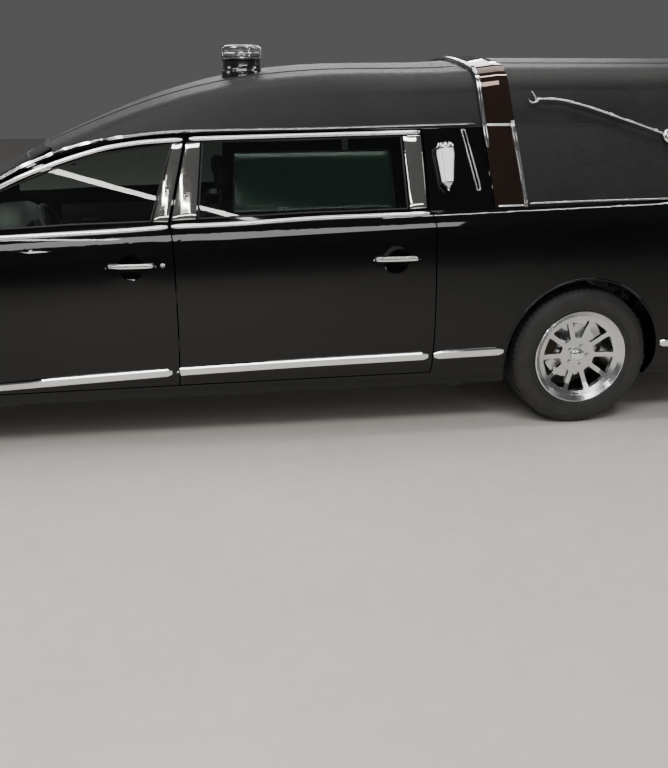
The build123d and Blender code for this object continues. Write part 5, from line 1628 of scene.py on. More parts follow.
@dataclass
class Wheels:
    """Treaded tyres, centre caps, wheel nuts, valves and brake callipers."""

    places: dict[str, float] = field(default_factory=lambda: {"front": 2.180, "rear": -1.500})
    track_half: float = 0.812
    radius: float = 0.3447
    bead_radius: float = 0.2225
    half_width: float = 0.1172
    grooves: tuple[float, ...] = (-0.055, -0.0185, 0.0185, 0.055)
    groove: tuple[float, float] = (0.0045, 0.0075)
    sipes: int = 72
    sipe_depth: float = 0.014
    nut_circle: float = 0.050
    nuts: int = 5

    def profile(self) -> list[Point2]:
        """The tyre's outline from its inner bead to its outer one."""
        r, w = self.radius, self.half_width
        side = [
            (self.bead_radius, 0.086), (self.bead_radius + 0.004, 0.096), (self.bead_radius + 0.011, 0.1035),
            (0.244, 0.1075), (0.2475, 0.1110), (0.2510, 0.1088), (0.2540, 0.1100), (0.2570, 0.1130),
            (0.2600, 0.1118), (0.272, w - 0.0012), (0.285, w), (0.298, w - 0.0012), (0.301, w + 0.0002),
            (0.304, w - 0.0020), (0.315, 0.1110), (0.324, 0.1045), (0.3285, 0.1010), (0.3300, 0.0975),
            (0.3350, 0.0950), (r - 0.0045, 0.0890), (r - 0.0020, 0.0800), (r - 0.0010, 0.0700),
        ]
        line = [(a, -b) for a, b in side]
        half, depth = self.groove
        for place in self.grooves:
            crown = r - 0.0009 * (place / 0.07) ** 2
            line += [
                (crown, place - half), (crown - depth, place - half * 0.7),
                (crown - depth, place + half * 0.7), (crown, place + half),
            ]
            if place == self.grooves[1]:
                line.append((r, 0.0))
        line += list(reversed(side))
        return [*line, line[0]]

    def tyre(self, centre: Vector) -> Shape:
        """One tyre with rib grooves and shoulder sipes.

        Args:
            centre: The wheel's middle.

        Returns:
            The tyre.
        """
        steps = self.sipes * 4

        def tread(angle: float, height: float) -> float:
            """Shoulder sipes and the small cuts in the middle ribs."""
            step = round(angle / (2 * math.pi) * steps) % 4
            if 0.0605 < abs(height) < 0.0965 and step == 0:
                return 1.0 - self.sipe_depth
            if abs(height) < 0.0600 and step == 2:
                return 1.0 - self.sipe_depth * 0.25
            return 1.0

        return turned(self.profile(), centre, LEFTWARD, steps, ripple=tread)

    def face(self, centre: Vector) -> Shape:
        """The centre cap, the nuts and the bright rim lip of a left wheel.

        Args:
            centre: The wheel's middle.

        Returns:
            Its bright parts.
        """
        shape = turned([
            (0.0, 0.0800), (0.010, 0.0798), (0.020, 0.0785), (0.024, 0.0770), (0.026, 0.0782),
            (0.030, 0.0775), (0.034, 0.0745), (0.0355, 0.0700), (0.0365, 0.0640), (0.0365, 0.0600),
        ], centre, LEFTWARD, 48)
        for k in range(self.nuts):
            angle = 2 * math.pi * (k + 0.5) / self.nuts
            place = centre + at(self.nut_circle * math.cos(angle), 0, self.nut_circle * math.sin(angle))
            shape.join(turned(
                [(0.0, 0.0715), (0.0045, 0.0715), (0.0070, 0.0695), (0.0078, 0.0670), (0.0078, 0.0560)],
                place, LEFTWARD, 6,
            ))
            shape.join(turned(
                [(0.0078, 0.0600), (0.0086, 0.0600), (0.0086, 0.0580), (0.0078, 0.0580)], place, LEFTWARD, 24
            ))
        lip = [
            (0.2270, 0.1055), (0.2278, 0.1075), (0.2296, 0.1079), (0.2312, 0.1072), (0.2318, 0.1052),
            (0.2270, 0.1055),
        ]
        shape.join(turned(lip, centre, LEFTWARD, 120))
        return shape

    def calliper(self, centre: Vector, angle: float) -> Shape:
        """A brake calliper astride the disc, turned about the axle.

        Args:
            centre: The wheel's middle.
            angle: How far it is turned from the top, in radians.

        Returns:
            The calliper.
        """
        shape = brick((-0.062, -0.023, 0.086), (0.062, -0.009, 0.150), 0.005)
        shape.join(brick((-0.052, -0.064, 0.088), (0.052, -0.045, 0.150), 0.005))
        shape.join(brick((-0.055, -0.062, 0.1455), (0.055, -0.010, 0.163), 0.005))
        for x in (-0.030, 0.030):
            shape.join(turned(
                [(0.0, 0.012), (0.012, 0.011), (0.015, 0.008), (0.0155, 0.0), (0.0155, -0.006)],
                at(x, -0.064, 0.118), RIGHTWARD, 24,
            ))
            shape.join(turned(
                [(0.0, 0.004), (0.006, 0.003), (0.007, 0.0), (0.007, -0.003)], at(x, -0.009, 0.130), LEFTWARD,
                6,
            ))
        return shape.moved(Matrix.Translation(centre) @ Matrix.Rotation(angle, 4, "Y"))

    def build(self) -> None:
        """Dress all four wheels."""
        for where, x in self.places.items():
            centre = at(x, self.track_half, self.radius + 0.0003)
            tyre = self.tyre(centre)
            for hand, shape in (("left", tyre), ("right", tyre.mirrored())):
                body = f"wheel_{where}_{hand}"
                Piece(f"treaded_tyre_{where}_{hand}", RUBBER, body, "rubber").place(
                    shape, 28.0, [f"tyre_{where}_{hand}"]
                )
            Piece(f"wheel_face_{where}", CHROME, f"wheel_{where}_left", "chrome").place_pair(
                self.face(centre), 30.0
            )
            valve = rod(
                [centre + at(0, 0.090, -0.196), centre + at(0, 0.104, -0.190), centre + at(0, 0.116, -0.186)],
                [0.0040, 0.0036, 0.0030], 10,
            )
            Piece(f"valve_{where}", SEAL, f"wheel_{where}_left", "rubber").place_pair(valve)
            carrier, angle = ("knuckle_left", -1.15) if where == "front" else ("body", 1.15)
            Piece(f"calliper_{where}", IRON, carrier, "iron").place_pair(self.calliper(centre, angle))
        LOG.info("wheels: tyres, caps, nuts and callipers")


@dataclass
class FrontEnd:
    """Grille backing, lamp units, fog lamps, intake bars and bumper strips."""

    nose_x: float = 3.200
    lamp_units: tuple[Point3, ...] = ((0.530, 0.703, 0.043), (0.640, 0.706, 0.040))
    indicator: Point3 = (0.730, 0.712, 0.026)
    fog: Point3 = (0.655, 0.420, 0.0435)
    intake: Point3 = (0.505, 0.262, 0.346)
    fins: int = 33
    strip_y: Point2 = (0.455, 0.885)
    strip_z: float = 0.512
    lip_half: float = 0.78
    lip_z: float = 0.246

    def grille_x(self, y: float, z: float) -> float:
        """How far forward the grille's face lies.

        Args:
            y: How far to the left.
            z: How high.

        Returns:
            The x of the face.
        """
        lean = 0.012 + 0.010 * (z - 0.2) / 0.36 if z < 0.56 else 0.022 + 0.096 * (z - 0.56) / 0.24
        bow = 0.054 * (y / 0.6) ** 2 - 0.008
        return self.nose_x - max(lean, bow)

    def grille(self) -> None:
        """Close the grille with a dark plate behind its bars."""
        grid: list[list[Seat]] = []
        for i in range(18):
            z = 0.412 + (0.742 - 0.412) * i / 17
            half = (0.310 + 0.115 * min(1.0, (z - 0.392) / 0.248)) - 0.030
            grid.append([
                Seat(at(self.grille_x(y, z) - 0.060, y, z), AHEAD)
                for y in (half * (k / 17 * 2 - 1) for k in range(18))
            ])
        Piece("grille_backing", GRILLE_DARK, "body", "grille_chrome").place(slab(grid, 0.002, 0.001, 0.004))

    def lamps(self) -> None:
        """Fill the headlamps with reflectors, lenses, an indicator and a light strip."""
        bowls, lenses, amber = Shape(), Shape(), Shape()
        for y, z, r in self.lamp_units:
            centre = at(2.975, y, z)
            bowls.join(turned([
                (0.0, -0.004), (r * 0.75, -0.002), (r * 0.97, 0.020), (r + 0.003, 0.044), (r + 0.003, 0.050),
                (r - 0.001, 0.050), (r - 0.002, 0.040), (r * 0.86, 0.016), (r * 0.5, 0.004), (0.0, 0.002),
            ], centre, AHEAD, 48))
            lenses.join(turned([
                (0.0, 0.056), (r * 0.35, 0.053), (r * 0.62, 0.045), (r * 0.78, 0.034), (r * 0.80, 0.028),
                (0.0, 0.026),
            ], centre, AHEAD, 40))
        y, z, r = self.indicator
        amber.join(turned(
            [(0.0, 0.018), (r * 0.5, 0.016), (r, 0.010), (r, -0.004), (0.0, -0.004)], at(2.970, y, z), AHEAD,
            36,
        ))
        housing = brick((2.9565, 0.437, 0.655), (2.966, 0.765, 0.752), 0.003)
        housing.join(brick((2.966, 0.437, 0.650), (3.020, 0.700, 0.656), 0.002))
        skin = Skin("headlamps")
        seats = lifted(skin.row(Side.FRONT, straight((0.452, 0.667), (0.742, 0.676), 24), 0.03), -0.020)
        strip = rod([s.point for s in seats], 0.0045, 8)
        Piece("lamp_reflectors", CHROME, "body", "chrome").place_pair(bowls)
        Piece("lamp_projectors", LENS_CLEAR, "body", "lamp_clear").place_pair(lenses)
        Piece("lamp_indicator", LENS_AMBER, "body", "lamp_clear").place_pair(amber)
        Piece("lamp_housing", GRILLE_DARK, "body", "grille_chrome").place_pair(housing)
        Piece("lamp_light_strip", OPAL, "body", "lamp_white").place_pair(strip)

    def bumper(self) -> None:
        """Fit the bumper's fog lamps, intake bars, bright strips and lip."""
        skin = Skin("front_bumper")
        y, z, r = self.fog
        face = skin.seat(Side.FRONT, y - r - 0.012, z).point.x
        middle = Seat(at(face - 0.018, y, z), AHEAD)
        ring = boss([
            (r, -0.030), (r, 0.0), (r - 0.002, 0.005), (r - 0.006, 0.006), (r - 0.009, 0.001),
            (r - 0.010, -0.012), (r - 0.010, -0.030), (r, -0.030),
        ], middle)
        lens = boss([
            (0.0, -0.004), (r * 0.4, -0.005), (r - 0.0105, -0.009), (r - 0.0105, -0.018), (0.0, -0.018),
        ], middle, 40)
        Piece("fog_ring", CHROME, "body", "chrome").place_pair(ring)
        Piece("fog_lens", LENS_CLEAR, "body", "lamp_clear").place_pair(lens)
        half, low, high = self.intake
        back = skin.seat(Side.FRONT, 0.0, low - 0.012).point.x - 0.105
        mesh = brick((back, -half, low - 0.004), (back + 0.004, half, high + 0.004), 0.001)
        for k in range(self.fins):
            y = -half + 2 * half * (k + 0.5) / self.fins
            mesh.join(brick((back + 0.003, y - 0.003, low), (back + 0.050, y + 0.003, high), 0.001))
        Piece("intake_fins", GRILLE_DARK, "body", "grille_chrome").place(mesh)
        strip = skin.bead(Side.FRONT, level(*self.strip_y, self.strip_z, 44), half_round(0.018, 0.007), 0.03)
        Piece("bumper_strip", CHROME, "body", "chrome").place_pair(strip)
        lip = skin.bead(
            Side.FRONT, level(-self.lip_half, self.lip_half, self.lip_z, 90), flat_bar(0.018, 0.006, 0.002),
            0.03,
        )
        Piece("bumper_lip", TRIM_PLASTIC, "body", "rubber").place(lip)

    def build(self) -> None:
        """Build the front end."""
        self.grille()
        self.lamps()
        self.bumper()
        LOG.info("front end: grille, lamps and bumper")


@dataclass
class Windscreen:
    """The windscreen's rubber, the wipers, the cowl vents and the washer jets."""

    low_z: float = 0.990
    high_z: float = 1.318
    inset: float = 0.008
    rubber: Point2 = (0.016, 0.004)
    pivots: Point2 = (0.560, -0.060)
    pivot_x: float = 1.690
    blade_length: float = 0.520
    blade_z: Point2 = (1.020, 1.040)
    blade: tuple[Point2, ...] = (
        (-0.0015, -0.005), (-0.0045, 0.001), (-0.0045, 0.005), (0.0045, 0.005), (0.0045, 0.001),
        (0.0015, -0.005),
    )
    arm_radii: tuple[float, ...] = (0.009, 0.008, 0.006, 0.0045, 0.004)
    vents: int = 26
    vents_half: float = 0.60
    vent_x: Point2 = (1.745, 1.785)
    jets: Point2 = (0.32, -0.32)
    jet_x: float = 1.860

    def edge(self, skin: Skin, z: float) -> float:
        """How far the glass reaches to the left at a height.

        Args:
            skin: The glass.
            z: The height.

        Returns:
            The y of the edge, found by halving.
        """
        low, high = 0.2, 1.1
        for _ in range(16):
            middle = (low + high) / 2
            if skin.seat(Side.FRONT, middle, z):
                low = middle
            else:
                high = middle
        return low

    def seal(self, skin: Skin) -> None:
        """Run the rubber round the glass.

        Args:
            skin: The glass.
        """
        left = [(self.edge(skin, z) - self.inset, z) for z in spread(self.low_z, self.high_z, 20)]
        right = [(-y, z) for y, z in reversed(left)]
        top = straight(left[-1], right[0], 50)[1:-1]
        foot = straight(right[-1], left[0], 60)[1:-1]
        line = left + top + right + foot
        rubber = skin.bead(Side.FRONT, line, half_round(*self.rubber), 0.2, closed=True)
        Piece("screen_rubber", SEAL, "body", "rubber").place(rubber)

    def wipers(self, skin: Skin, cowl: Skin) -> None:
        """Rest two wipers on the glass.

        Args:
            skin: The glass.
            cowl: What the pivots stand on.
        """
        blades, arms = Shape(), Shape()
        for pivot in self.pivots:
            tip = pivot + 0.020
            line = straight((tip, self.blade_z[0]), (tip - self.blade_length, self.blade_z[1]), 30)
            rest = lifted(skin.row(Side.FRONT, line, 0.05), 0.007)
            blades.join(sweep(rest, self.blade))
            root = cowl.seat(Side.TOP, self.pivot_x, pivot - 0.010)
            start = root.point + at(0, 0, 0.010)
            middle = rest[15].point + rest[15].out * 0.009
            knee = (start + middle) / 2 + at(0.012, 0, 0.010)
            arm = [start, start + at(-0.010, -0.010, 0.006), knee, middle + (knee - middle) * 0.25, middle]
            arms.join(rod(arm, self.arm_radii, 10, 0.7))
            arms.join(boss(
                [(0.0, 0.020), (0.010, 0.019), (0.014, 0.012), (0.015, 0.004), (0.018, -0.002)], root, 28
            ))
        Piece("wiper_blades", SEAL, "body", "rubber").place(blades)
        Piece("wiper_arms", TRIM_PLASTIC, "body", "rubber").place(arms)

    def cowl_fittings(self, cowl: Skin) -> None:
        """Fit the vents on the cowl and the jets on the hood.

        Args:
            cowl: What the vents stand on.
        """
        vents, jets = Shape(), Shape()
        for y in spread(-self.vents_half, self.vents_half, self.vents - 1):
            vents.join(cowl.bead(
                Side.TOP, level(*self.vent_x, y, 6), half_round(0.010, 0.002), 0.02, taper=1
            ))
        Piece("cowl_vents", TRIM_PLASTIC, "body", "rubber").place(vents)
        hood = Skin("hood")
        for y in self.jets:
            seat = hood.seat(Side.TOP, self.jet_x, y)
            jets.join(boss([(0.0, 0.0075), (0.005, 0.007), (0.008, 0.004), (0.010, -0.001)], seat, 20))
        Piece("washer_jets", TRIM_PLASTIC, "hood", "rubber").place(jets)

    def build(self) -> None:
        """Fit the rubber, the wipers, the vents and the jets."""
        skin = Skin("windshield")
        cowl = Skin("cowl", "hood", "windshield")
        self.seal(skin)
        self.wipers(skin, cowl)
        self.cowl_fittings(cowl)
        LOG.info("windscreen: rubber, wipers and vents")


@dataclass
class TailEnd:
    """Tail-lamp bezels and lenses, the loading door's fittings and the rear bumper's pads."""

    lamp: tuple[Point2, ...] = ((0.632, 0.710), (0.826, 0.710), (0.838, 1.016), (0.632, 1.016))
    lens_y: Point2 = (0.644, 0.800)
    reversing_z: Point2 = (0.722, 0.772)
    turn_z: Point2 = (0.952, 1.004)
    ribs: int = 7
    rib_y: Point2 = (0.644, 0.815)
    rib_foot_z: float = 0.795
    rib_pitch: float = 0.022
    window: tuple[Point2, ...] = ((-0.436, 1.094), (0.436, 1.094), (0.405, 1.506), (-0.405, 1.506))
    window_middle_z: float = 1.300
    belt_y: Point2 = (-0.520, 0.505)
    belt_z: float = 1.045
    plate: Point3 = (0.153, 0.790, 0.942)
    plate_margin: float = 0.006
    stop_lamp: Point2 = (0.150, 1.556)
    grip_y: Point2 = (-0.500, -0.360)
    grip_z: float = 0.985
    lock: Point2 = (-0.430, 0.945)
    pad_half: float = 0.55
    strip: Point2 = (0.84, 0.565)
    reflector_y: Point2 = (0.560, 0.700)
    reflector_z: Point2 = (0.462, 0.498)
    sensors_y: Point2 = (0.22, 0.46)
    sensor_z: float = 0.500
    jump: float = 0.3

    def panel(self, skin: Skin, ends: Point2, heights: Point2, rim: float, steps: int) -> list[list[Seat]]:
        """Seats of an upright panel, with a narrow row along its lower and upper edge.

        Args:
            skin: What it lies on.
            ends: The y of both ends.
            heights: The z of both edges.
            rim: How high the narrow rows are.
            steps: Steps along each row.

        Returns:
            Five rows of seats.
        """
        low, high = heights
        rows = (low, low + rim, (low + high) / 2, high - rim, high)
        return [skin.row(Side.BACK, level(*ends, z, steps), self.jump) for z in rows]

    def lamps(self) -> None:
        """Edge the tail lamps and set their white, amber and red parts."""
        skin = Skin("tail_lamps", "body_side_left")
        bezel = skin.bead(
            Side.BACK, loop_of(self.lamp, 0.012), half_round(0.010, 0.005), self.jump, closed=True
        )
        Piece("tail_lamp_bezel", CHROME, "body", "chrome").place_pair(bezel)
        glass = Skin("tail_lamps")
        for name, finish, slot, heights in (
            ("reversing_lens", OPAL, "lamp_white", self.reversing_z),
            ("turn_lens", LENS_AMBER, "lamp_clear", self.turn_z),
        ):
            grid = self.panel(glass, self.lens_y, heights, 0.004, 18)
            Piece(name, finish, "body", slot).place_pair(slab(grid, 0.003, 0.001))
        ribs = Shape()
        for k in range(self.ribs):
            line = level(*self.rib_y, self.rib_foot_z + self.rib_pitch * k, 20)
            ribs.join(glass.bead(Side.BACK, line, half_round(0.012, 0.003), self.jump, taper=1))
        Piece("tail_lamp_ribs", LENS_RED, "body", "lamp_red").place_pair(ribs)

    def door(self) -> None:
        """Fit the loading door's window, moulding, plate and lamps."""
        skin = Skin("loading_door", "loading_door_glass")
        middle = self.window_middle_z
        inner = [(y * 0.972, middle + (z - middle) * 0.95) for y, z in self.window]
        half, low, high = self.plate
        margin = self.plate_margin
        frame = box_loop((-half - margin, low - margin), (half + margin, high + margin), 0.012)
        stop_half, stop_z = self.stop_lamp
        for name, finish, slot, line, profile, closed in (
            (
                "tail_window_rubber", SEAL, "rubber", loop_of(self.window, 0.016), half_round(0.018, 0.006),
                True,
            ),
            ("tail_window_bead", CHROME, "chrome", loop_of(inner, 0.016), half_round(0.007, 0.006), True),
            (
                "tail_belt_moulding", CHROME, "chrome", level(*self.belt_y, self.belt_z, 40),
                half_round(0.024, 0.009), False,
            ),
            ("plate_frame", CHROME, "chrome", frame, half_round(0.011, 0.006), True),
            (
                "plate_lamp", CHROME, "chrome", level(-0.110, 0.110, high + 0.030, 16),
                half_round(0.026, 0.016), False,
            ),
            (
                "high_stop_lamp", LENS_RED, "lamp_red", level(-stop_half, stop_half, stop_z, 20),
                flat_bar(0.022, 0.008, 0.003), False,
            ),
        ):
            strip = skin.bead(Side.BACK, line, profile, self.jump, closed)
            Piece(name, finish, "loading_door", slot).place(strip)
        grid = self.panel(skin, (-half, half), (low, high), 0.004, 12)
        flat = [[Seat(s.point, grid[2][6].out) for s in row] for row in grid]
        Piece("blank_plate", PLAIN_PLATE, "loading_door", "lamp_white").place(slab(flat, 0.004, 0.0015))
        self.handle(skin)

    def handle(self, skin: Skin) -> None:
        """Fit the loading door's grip and lock.

        Args:
            skin: The loading door.
        """
        steps = 16
        grip = skin.row(Side.BACK, level(*self.grip_y, self.grip_z, steps), self.jump)
        points = [
            s.point + s.out * (0.004 + 0.018 * min(1.0, min(k, steps - k) / 3)) for k, s in enumerate(grip)
        ]
        shape = rod(points, 0.0075, 12, 1.25)
        for end in (grip[0], grip[-1]):
            shape.join(boss([(0.0, 0.008), (0.009, 0.007), (0.014, 0.003), (0.015, -0.001)], end, 28))
        lock = skin.seat(Side.BACK, *self.lock)
        shape.join(boss(
            [(0.0, 0.0015), (0.004, 0.0015), (0.0045, 0.004), (0.010, 0.004), (0.013, -0.001)], lock, 28
        ))
        Piece("tail_door_handle", CHROME, "loading_door", "chrome").place(shape)

    def bumper(self) -> None:
        """Fit the rear bumper's step pad, strip, reflectors and sensors."""
        skin = Skin("rear_bumper")
        half = self.pad_half
        line = [(-3.148 - 0.016 * (1 - (y / half) ** 2), y) for y in spread(half, -half, 40)]
        top = skin.row(Side.TOP, line, 0.2)
        pad = Shape()
        for k in range(5):
            shift = at(-0.007 + 0.0035 * k, 0, 0)
            pad.join(sweep([Seat(s.point + shift, UP) for s in top], half_round(0.003, 0.0022), taper=1))
        pad.join(sweep([Seat(s.point, UP) for s in top], flat_bar(0.020, 0.0012, 0.0005)))
        Piece("step_pad", SEAL, "body", "rubber").place(pad)
        half, z = self.strip
        strip = skin.bead(
            Side.BACK, level(-half, half, z, 90), half_round(0.022, 0.004), self.jump, lift=-0.002
        )
        Piece("rear_bumper_strip", CHROME, "body", "chrome").place(strip)
        grid = self.panel(skin, self.reflector_y, self.reflector_z, 0.003, 14)
        sunk = [lifted(row, -0.002) for row in grid]
        Piece("rear_reflector", LENS_RED, "body", "lamp_red").place_pair(slab(sunk, 0.0035, 0.001))
        sensors = Shape()
        for y in self.sensors_y:
            sensors.join(boss([
                (0.0, 0.0006), (0.008, 0.0006), (0.0085, -0.0008), (0.0100, -0.0008), (0.0108, 0.0008),
                (0.0120, -0.001),
            ], skin.seat(Side.BACK, y, self.sensor_z), 28))
        Piece("parking_sensor", BEACON_BLACK, "body", "beacon_black").place_pair(sensors)

    def build(self) -> None:
        """Build the tail."""
        self.lamps()
        self.door()
        self.bumper()
        LOG.info("tail: lamps, loading door and bumper")


@dataclass
class ArchLips:
    """Rolled lips round the wheel openings, and the filler flap."""

    axles: tuple[float, float] = (2.180, -1.500)
    radius: float = 0.396
    axle_z: float = 0.345
    filler: Point2 = (-2.200, 0.900)

    def build(self) -> None:
        """Lay the lips and the flap."""
        skin = Skin("front_fender_left", "body_side_left", "front_bumper")
        for name, x in zip(("front", "rear"), self.axles):
            line = []
            for k in range(61):
                angle = math.radians(-8 + 196 * k / 60)
                line.append((x + self.radius * math.cos(angle), self.axle_z + self.radius * math.sin(angle)))
            seats = skin.row(Side.LEFT, line, 0.03)
            Piece(f"{name}_arch_lip", PAINT, "body", "black_paint").place_pair(sweep(
                lifted(seats, -0.001), half_round(0.012, 0.0045)
            ))
        x, z = self.filler
        flap = []
        for turn in spread(0, 2 * math.pi, 64)[:-1]:
            flap.append((x + 0.085 * squared(math.cos(turn), 0.5), z + 0.075 * squared(math.sin(turn), 0.5)))
        Piece("filler_flap_gap", SEAL, "body", "rubber").place(
            sweep(skin.row(Side.LEFT, flap), half_round(0.0022, 0.0004, 0.0005, 4), closed=True)
        )
        LOG.info("arches: lips and filler flap")


def ease(value: float, start: float, end: float) -> float:
    """A smooth step from 0 at start to 1 at end."""
    share = min(1.0, max(0.0, (value - start) / (end - start)))
    return share * share * (3 - 2 * share)


def pillow(half: Sequence[float], radius: float, cuts: int, crown: float = 0.0, pull: float = 0.0) -> Shape:
    """A rounded block with crowned faces whose sides pull in between its corners.

    Args:
        half: Half the size along each axis.
        radius: The edges' radius.
        cuts: Steps along each edge.
        crown: How far the middle of the upper and lower faces stands out.
        pull: How far the sides draw in between the corners, as a share.

    Returns:
        The closed block, centred on the origin.
    """
    size = Vector(half)
    core = Vector([h - radius for h in size])
    shape = Shape()
    for axis in range(3):
        a, b = (axis + 1) % 3, (axis + 2) % 3
        for sign in (-1.0, 1.0):
            points: list[Vector] = []
            for i in range(cuts + 1):
                for j in range(cuts + 1):
                    p = Vector()
                    p[axis] = sign * size[axis]
                    p[a] = size[a] * math.sin((i / cuts - 0.5) * math.pi)
                    p[b] = size[b] * math.sin((j / cuts - 0.5) * math.pi)
                    q = Vector([max(-core[k], min(core[k], p[k])) for k in range(3)])
                    p = q + (p - q).normalized() * radius
                    u, v, w = (p[k] / size[k] for k in range(3))
                    p.z += crown * w * (1 - u * u) * (1 - v * v)
                    p.x *= 1 - pull * (1 - v * v)
                    p.y *= 1 - pull * (1 - u * u)
                    points.append(p)
            wide = cuts + 1
            faces = [
                (i * wide + j, i * wide + j + 1, (i + 1) * wide + j + 1, (i + 1) * wide + j)
                for i in range(cuts)
                for j in range(cuts)
            ]
            shape.add(points, faces if sign > 0 else [tuple(reversed(f)) for f in faces])
    return shape


def bent(shape: Shape, bend: Callable[[Vector], Vector]) -> Shape:
    """The shape with every point put through a bend."""
    return Shape([bend(p) for p in shape.points], list(shape.faces))


def pillow_at(
    place: Point3, half: Sequence[float], radius: float, cuts: int, crown: float = 0.0
) -> Shape:
    """A rounded block that stands at a place.

    Args:
        place: The block's middle.
        half: Half the size along each axis.
        radius: The edges' radius.
        cuts: Steps along each edge.
        crown: How far the middle of the upper and lower faces stands out.

    Returns:
        The closed block.
    """
    x, y, z = place
    return bent(pillow(half, radius, cuts, crown), lambda p: at(x + p.x, y + p.y, z + p.z))


@dataclass
class Pad:
    """A stuffed piece: swollen by cloth simulation, sewn down along its seams and bent into place."""

    name: str
    form: Shape
    bend: Callable[[Vector], Vector]
    seam: Callable[[Vector], float]
    voxel: float = 0.012
    cap: float = 0.024
    pressure: float = 4.0
    frames: int = 20
    fill: float = 0.75

    def baked(self, thing: bpy.types.Object) -> None:
        """Put the modifiers' result into the object's own mesh.

        Args:
            thing: The object that has the modifiers.
        """
        graph = bpy.context.evaluated_depsgraph_get()
        mesh = bpy.data.meshes.new_from_object(thing.evaluated_get(graph))
        thing.modifiers.clear()
        thing.data = mesh

    def swollen(self, thing: bpy.types.Object) -> None:
        """Blow the cover up against its stuffing.

        Args:
            thing: The cover before it swells.
        """
        remesh = thing.modifiers.new("remesh", "REMESH")
        remesh.mode = "VOXEL"
        remesh.voxel_size = self.voxel
        self.baked(thing)
        start = [v.co.copy() for v in thing.data.vertices]
        cloth = thing.modifiers.new("cloth", "CLOTH")
        cloth.settings.quality = 5
        cloth.settings.mass = 0.3
        cloth.settings.use_pressure = True
        cloth.settings.uniform_pressure_force = self.pressure
        cloth.settings.effector_weights.gravity = 0
        cloth.point_cache.frame_start = 1
        cloth.point_cache.frame_end = self.frames
        for frame in range(1, self.frames + 1):
            bpy.context.scene.frame_set(frame)
        self.baked(thing)
        bpy.context.scene.frame_set(1)
        for vertex, rest in zip(thing.data.vertices, start):
            move = vertex.co - rest
            if move.length > self.cap:
                vertex.co = rest + move.normalized() * self.cap

    def shape(self) -> Shape:
        """The finished cover."""
        mesh = bpy.data.meshes.new(self.name)
        mesh.from_pydata([tuple(p) for p in self.form.points], [], self.form.faces)
        work = bmesh.new()
        work.from_mesh(mesh)
        bmesh.ops.remove_doubles(work, verts=work.verts, dist=0.0001)
        bmesh.ops.recalc_face_normals(work, faces=work.faces)
        work.to_mesh(mesh)
        work.free()
        thing = bpy.data.objects.new(self.name, mesh)
        bpy.context.scene.collection.objects.link(thing)
        self.swollen(thing)
        finer = thing.modifiers.new("finer", "SUBSURF")
        finer.levels = 1
        finer.render_levels = 1
        self.baked(thing)
        mesh = thing.data
        sewn = [v.co - v.normal * self.seam(v.co) for v in mesh.vertices]
        result = Shape([self.bend(p) for p in sewn], [tuple(f.vertices) for f in mesh.polygons])
        bpy.data.objects.remove(thing)
        return result


def line_depth(distance: float, depth: float, width: float) -> float:
    """How deep a sewn line pulls the cover in at a distance from it."""
    return depth * math.exp(-((distance / width) ** 2))


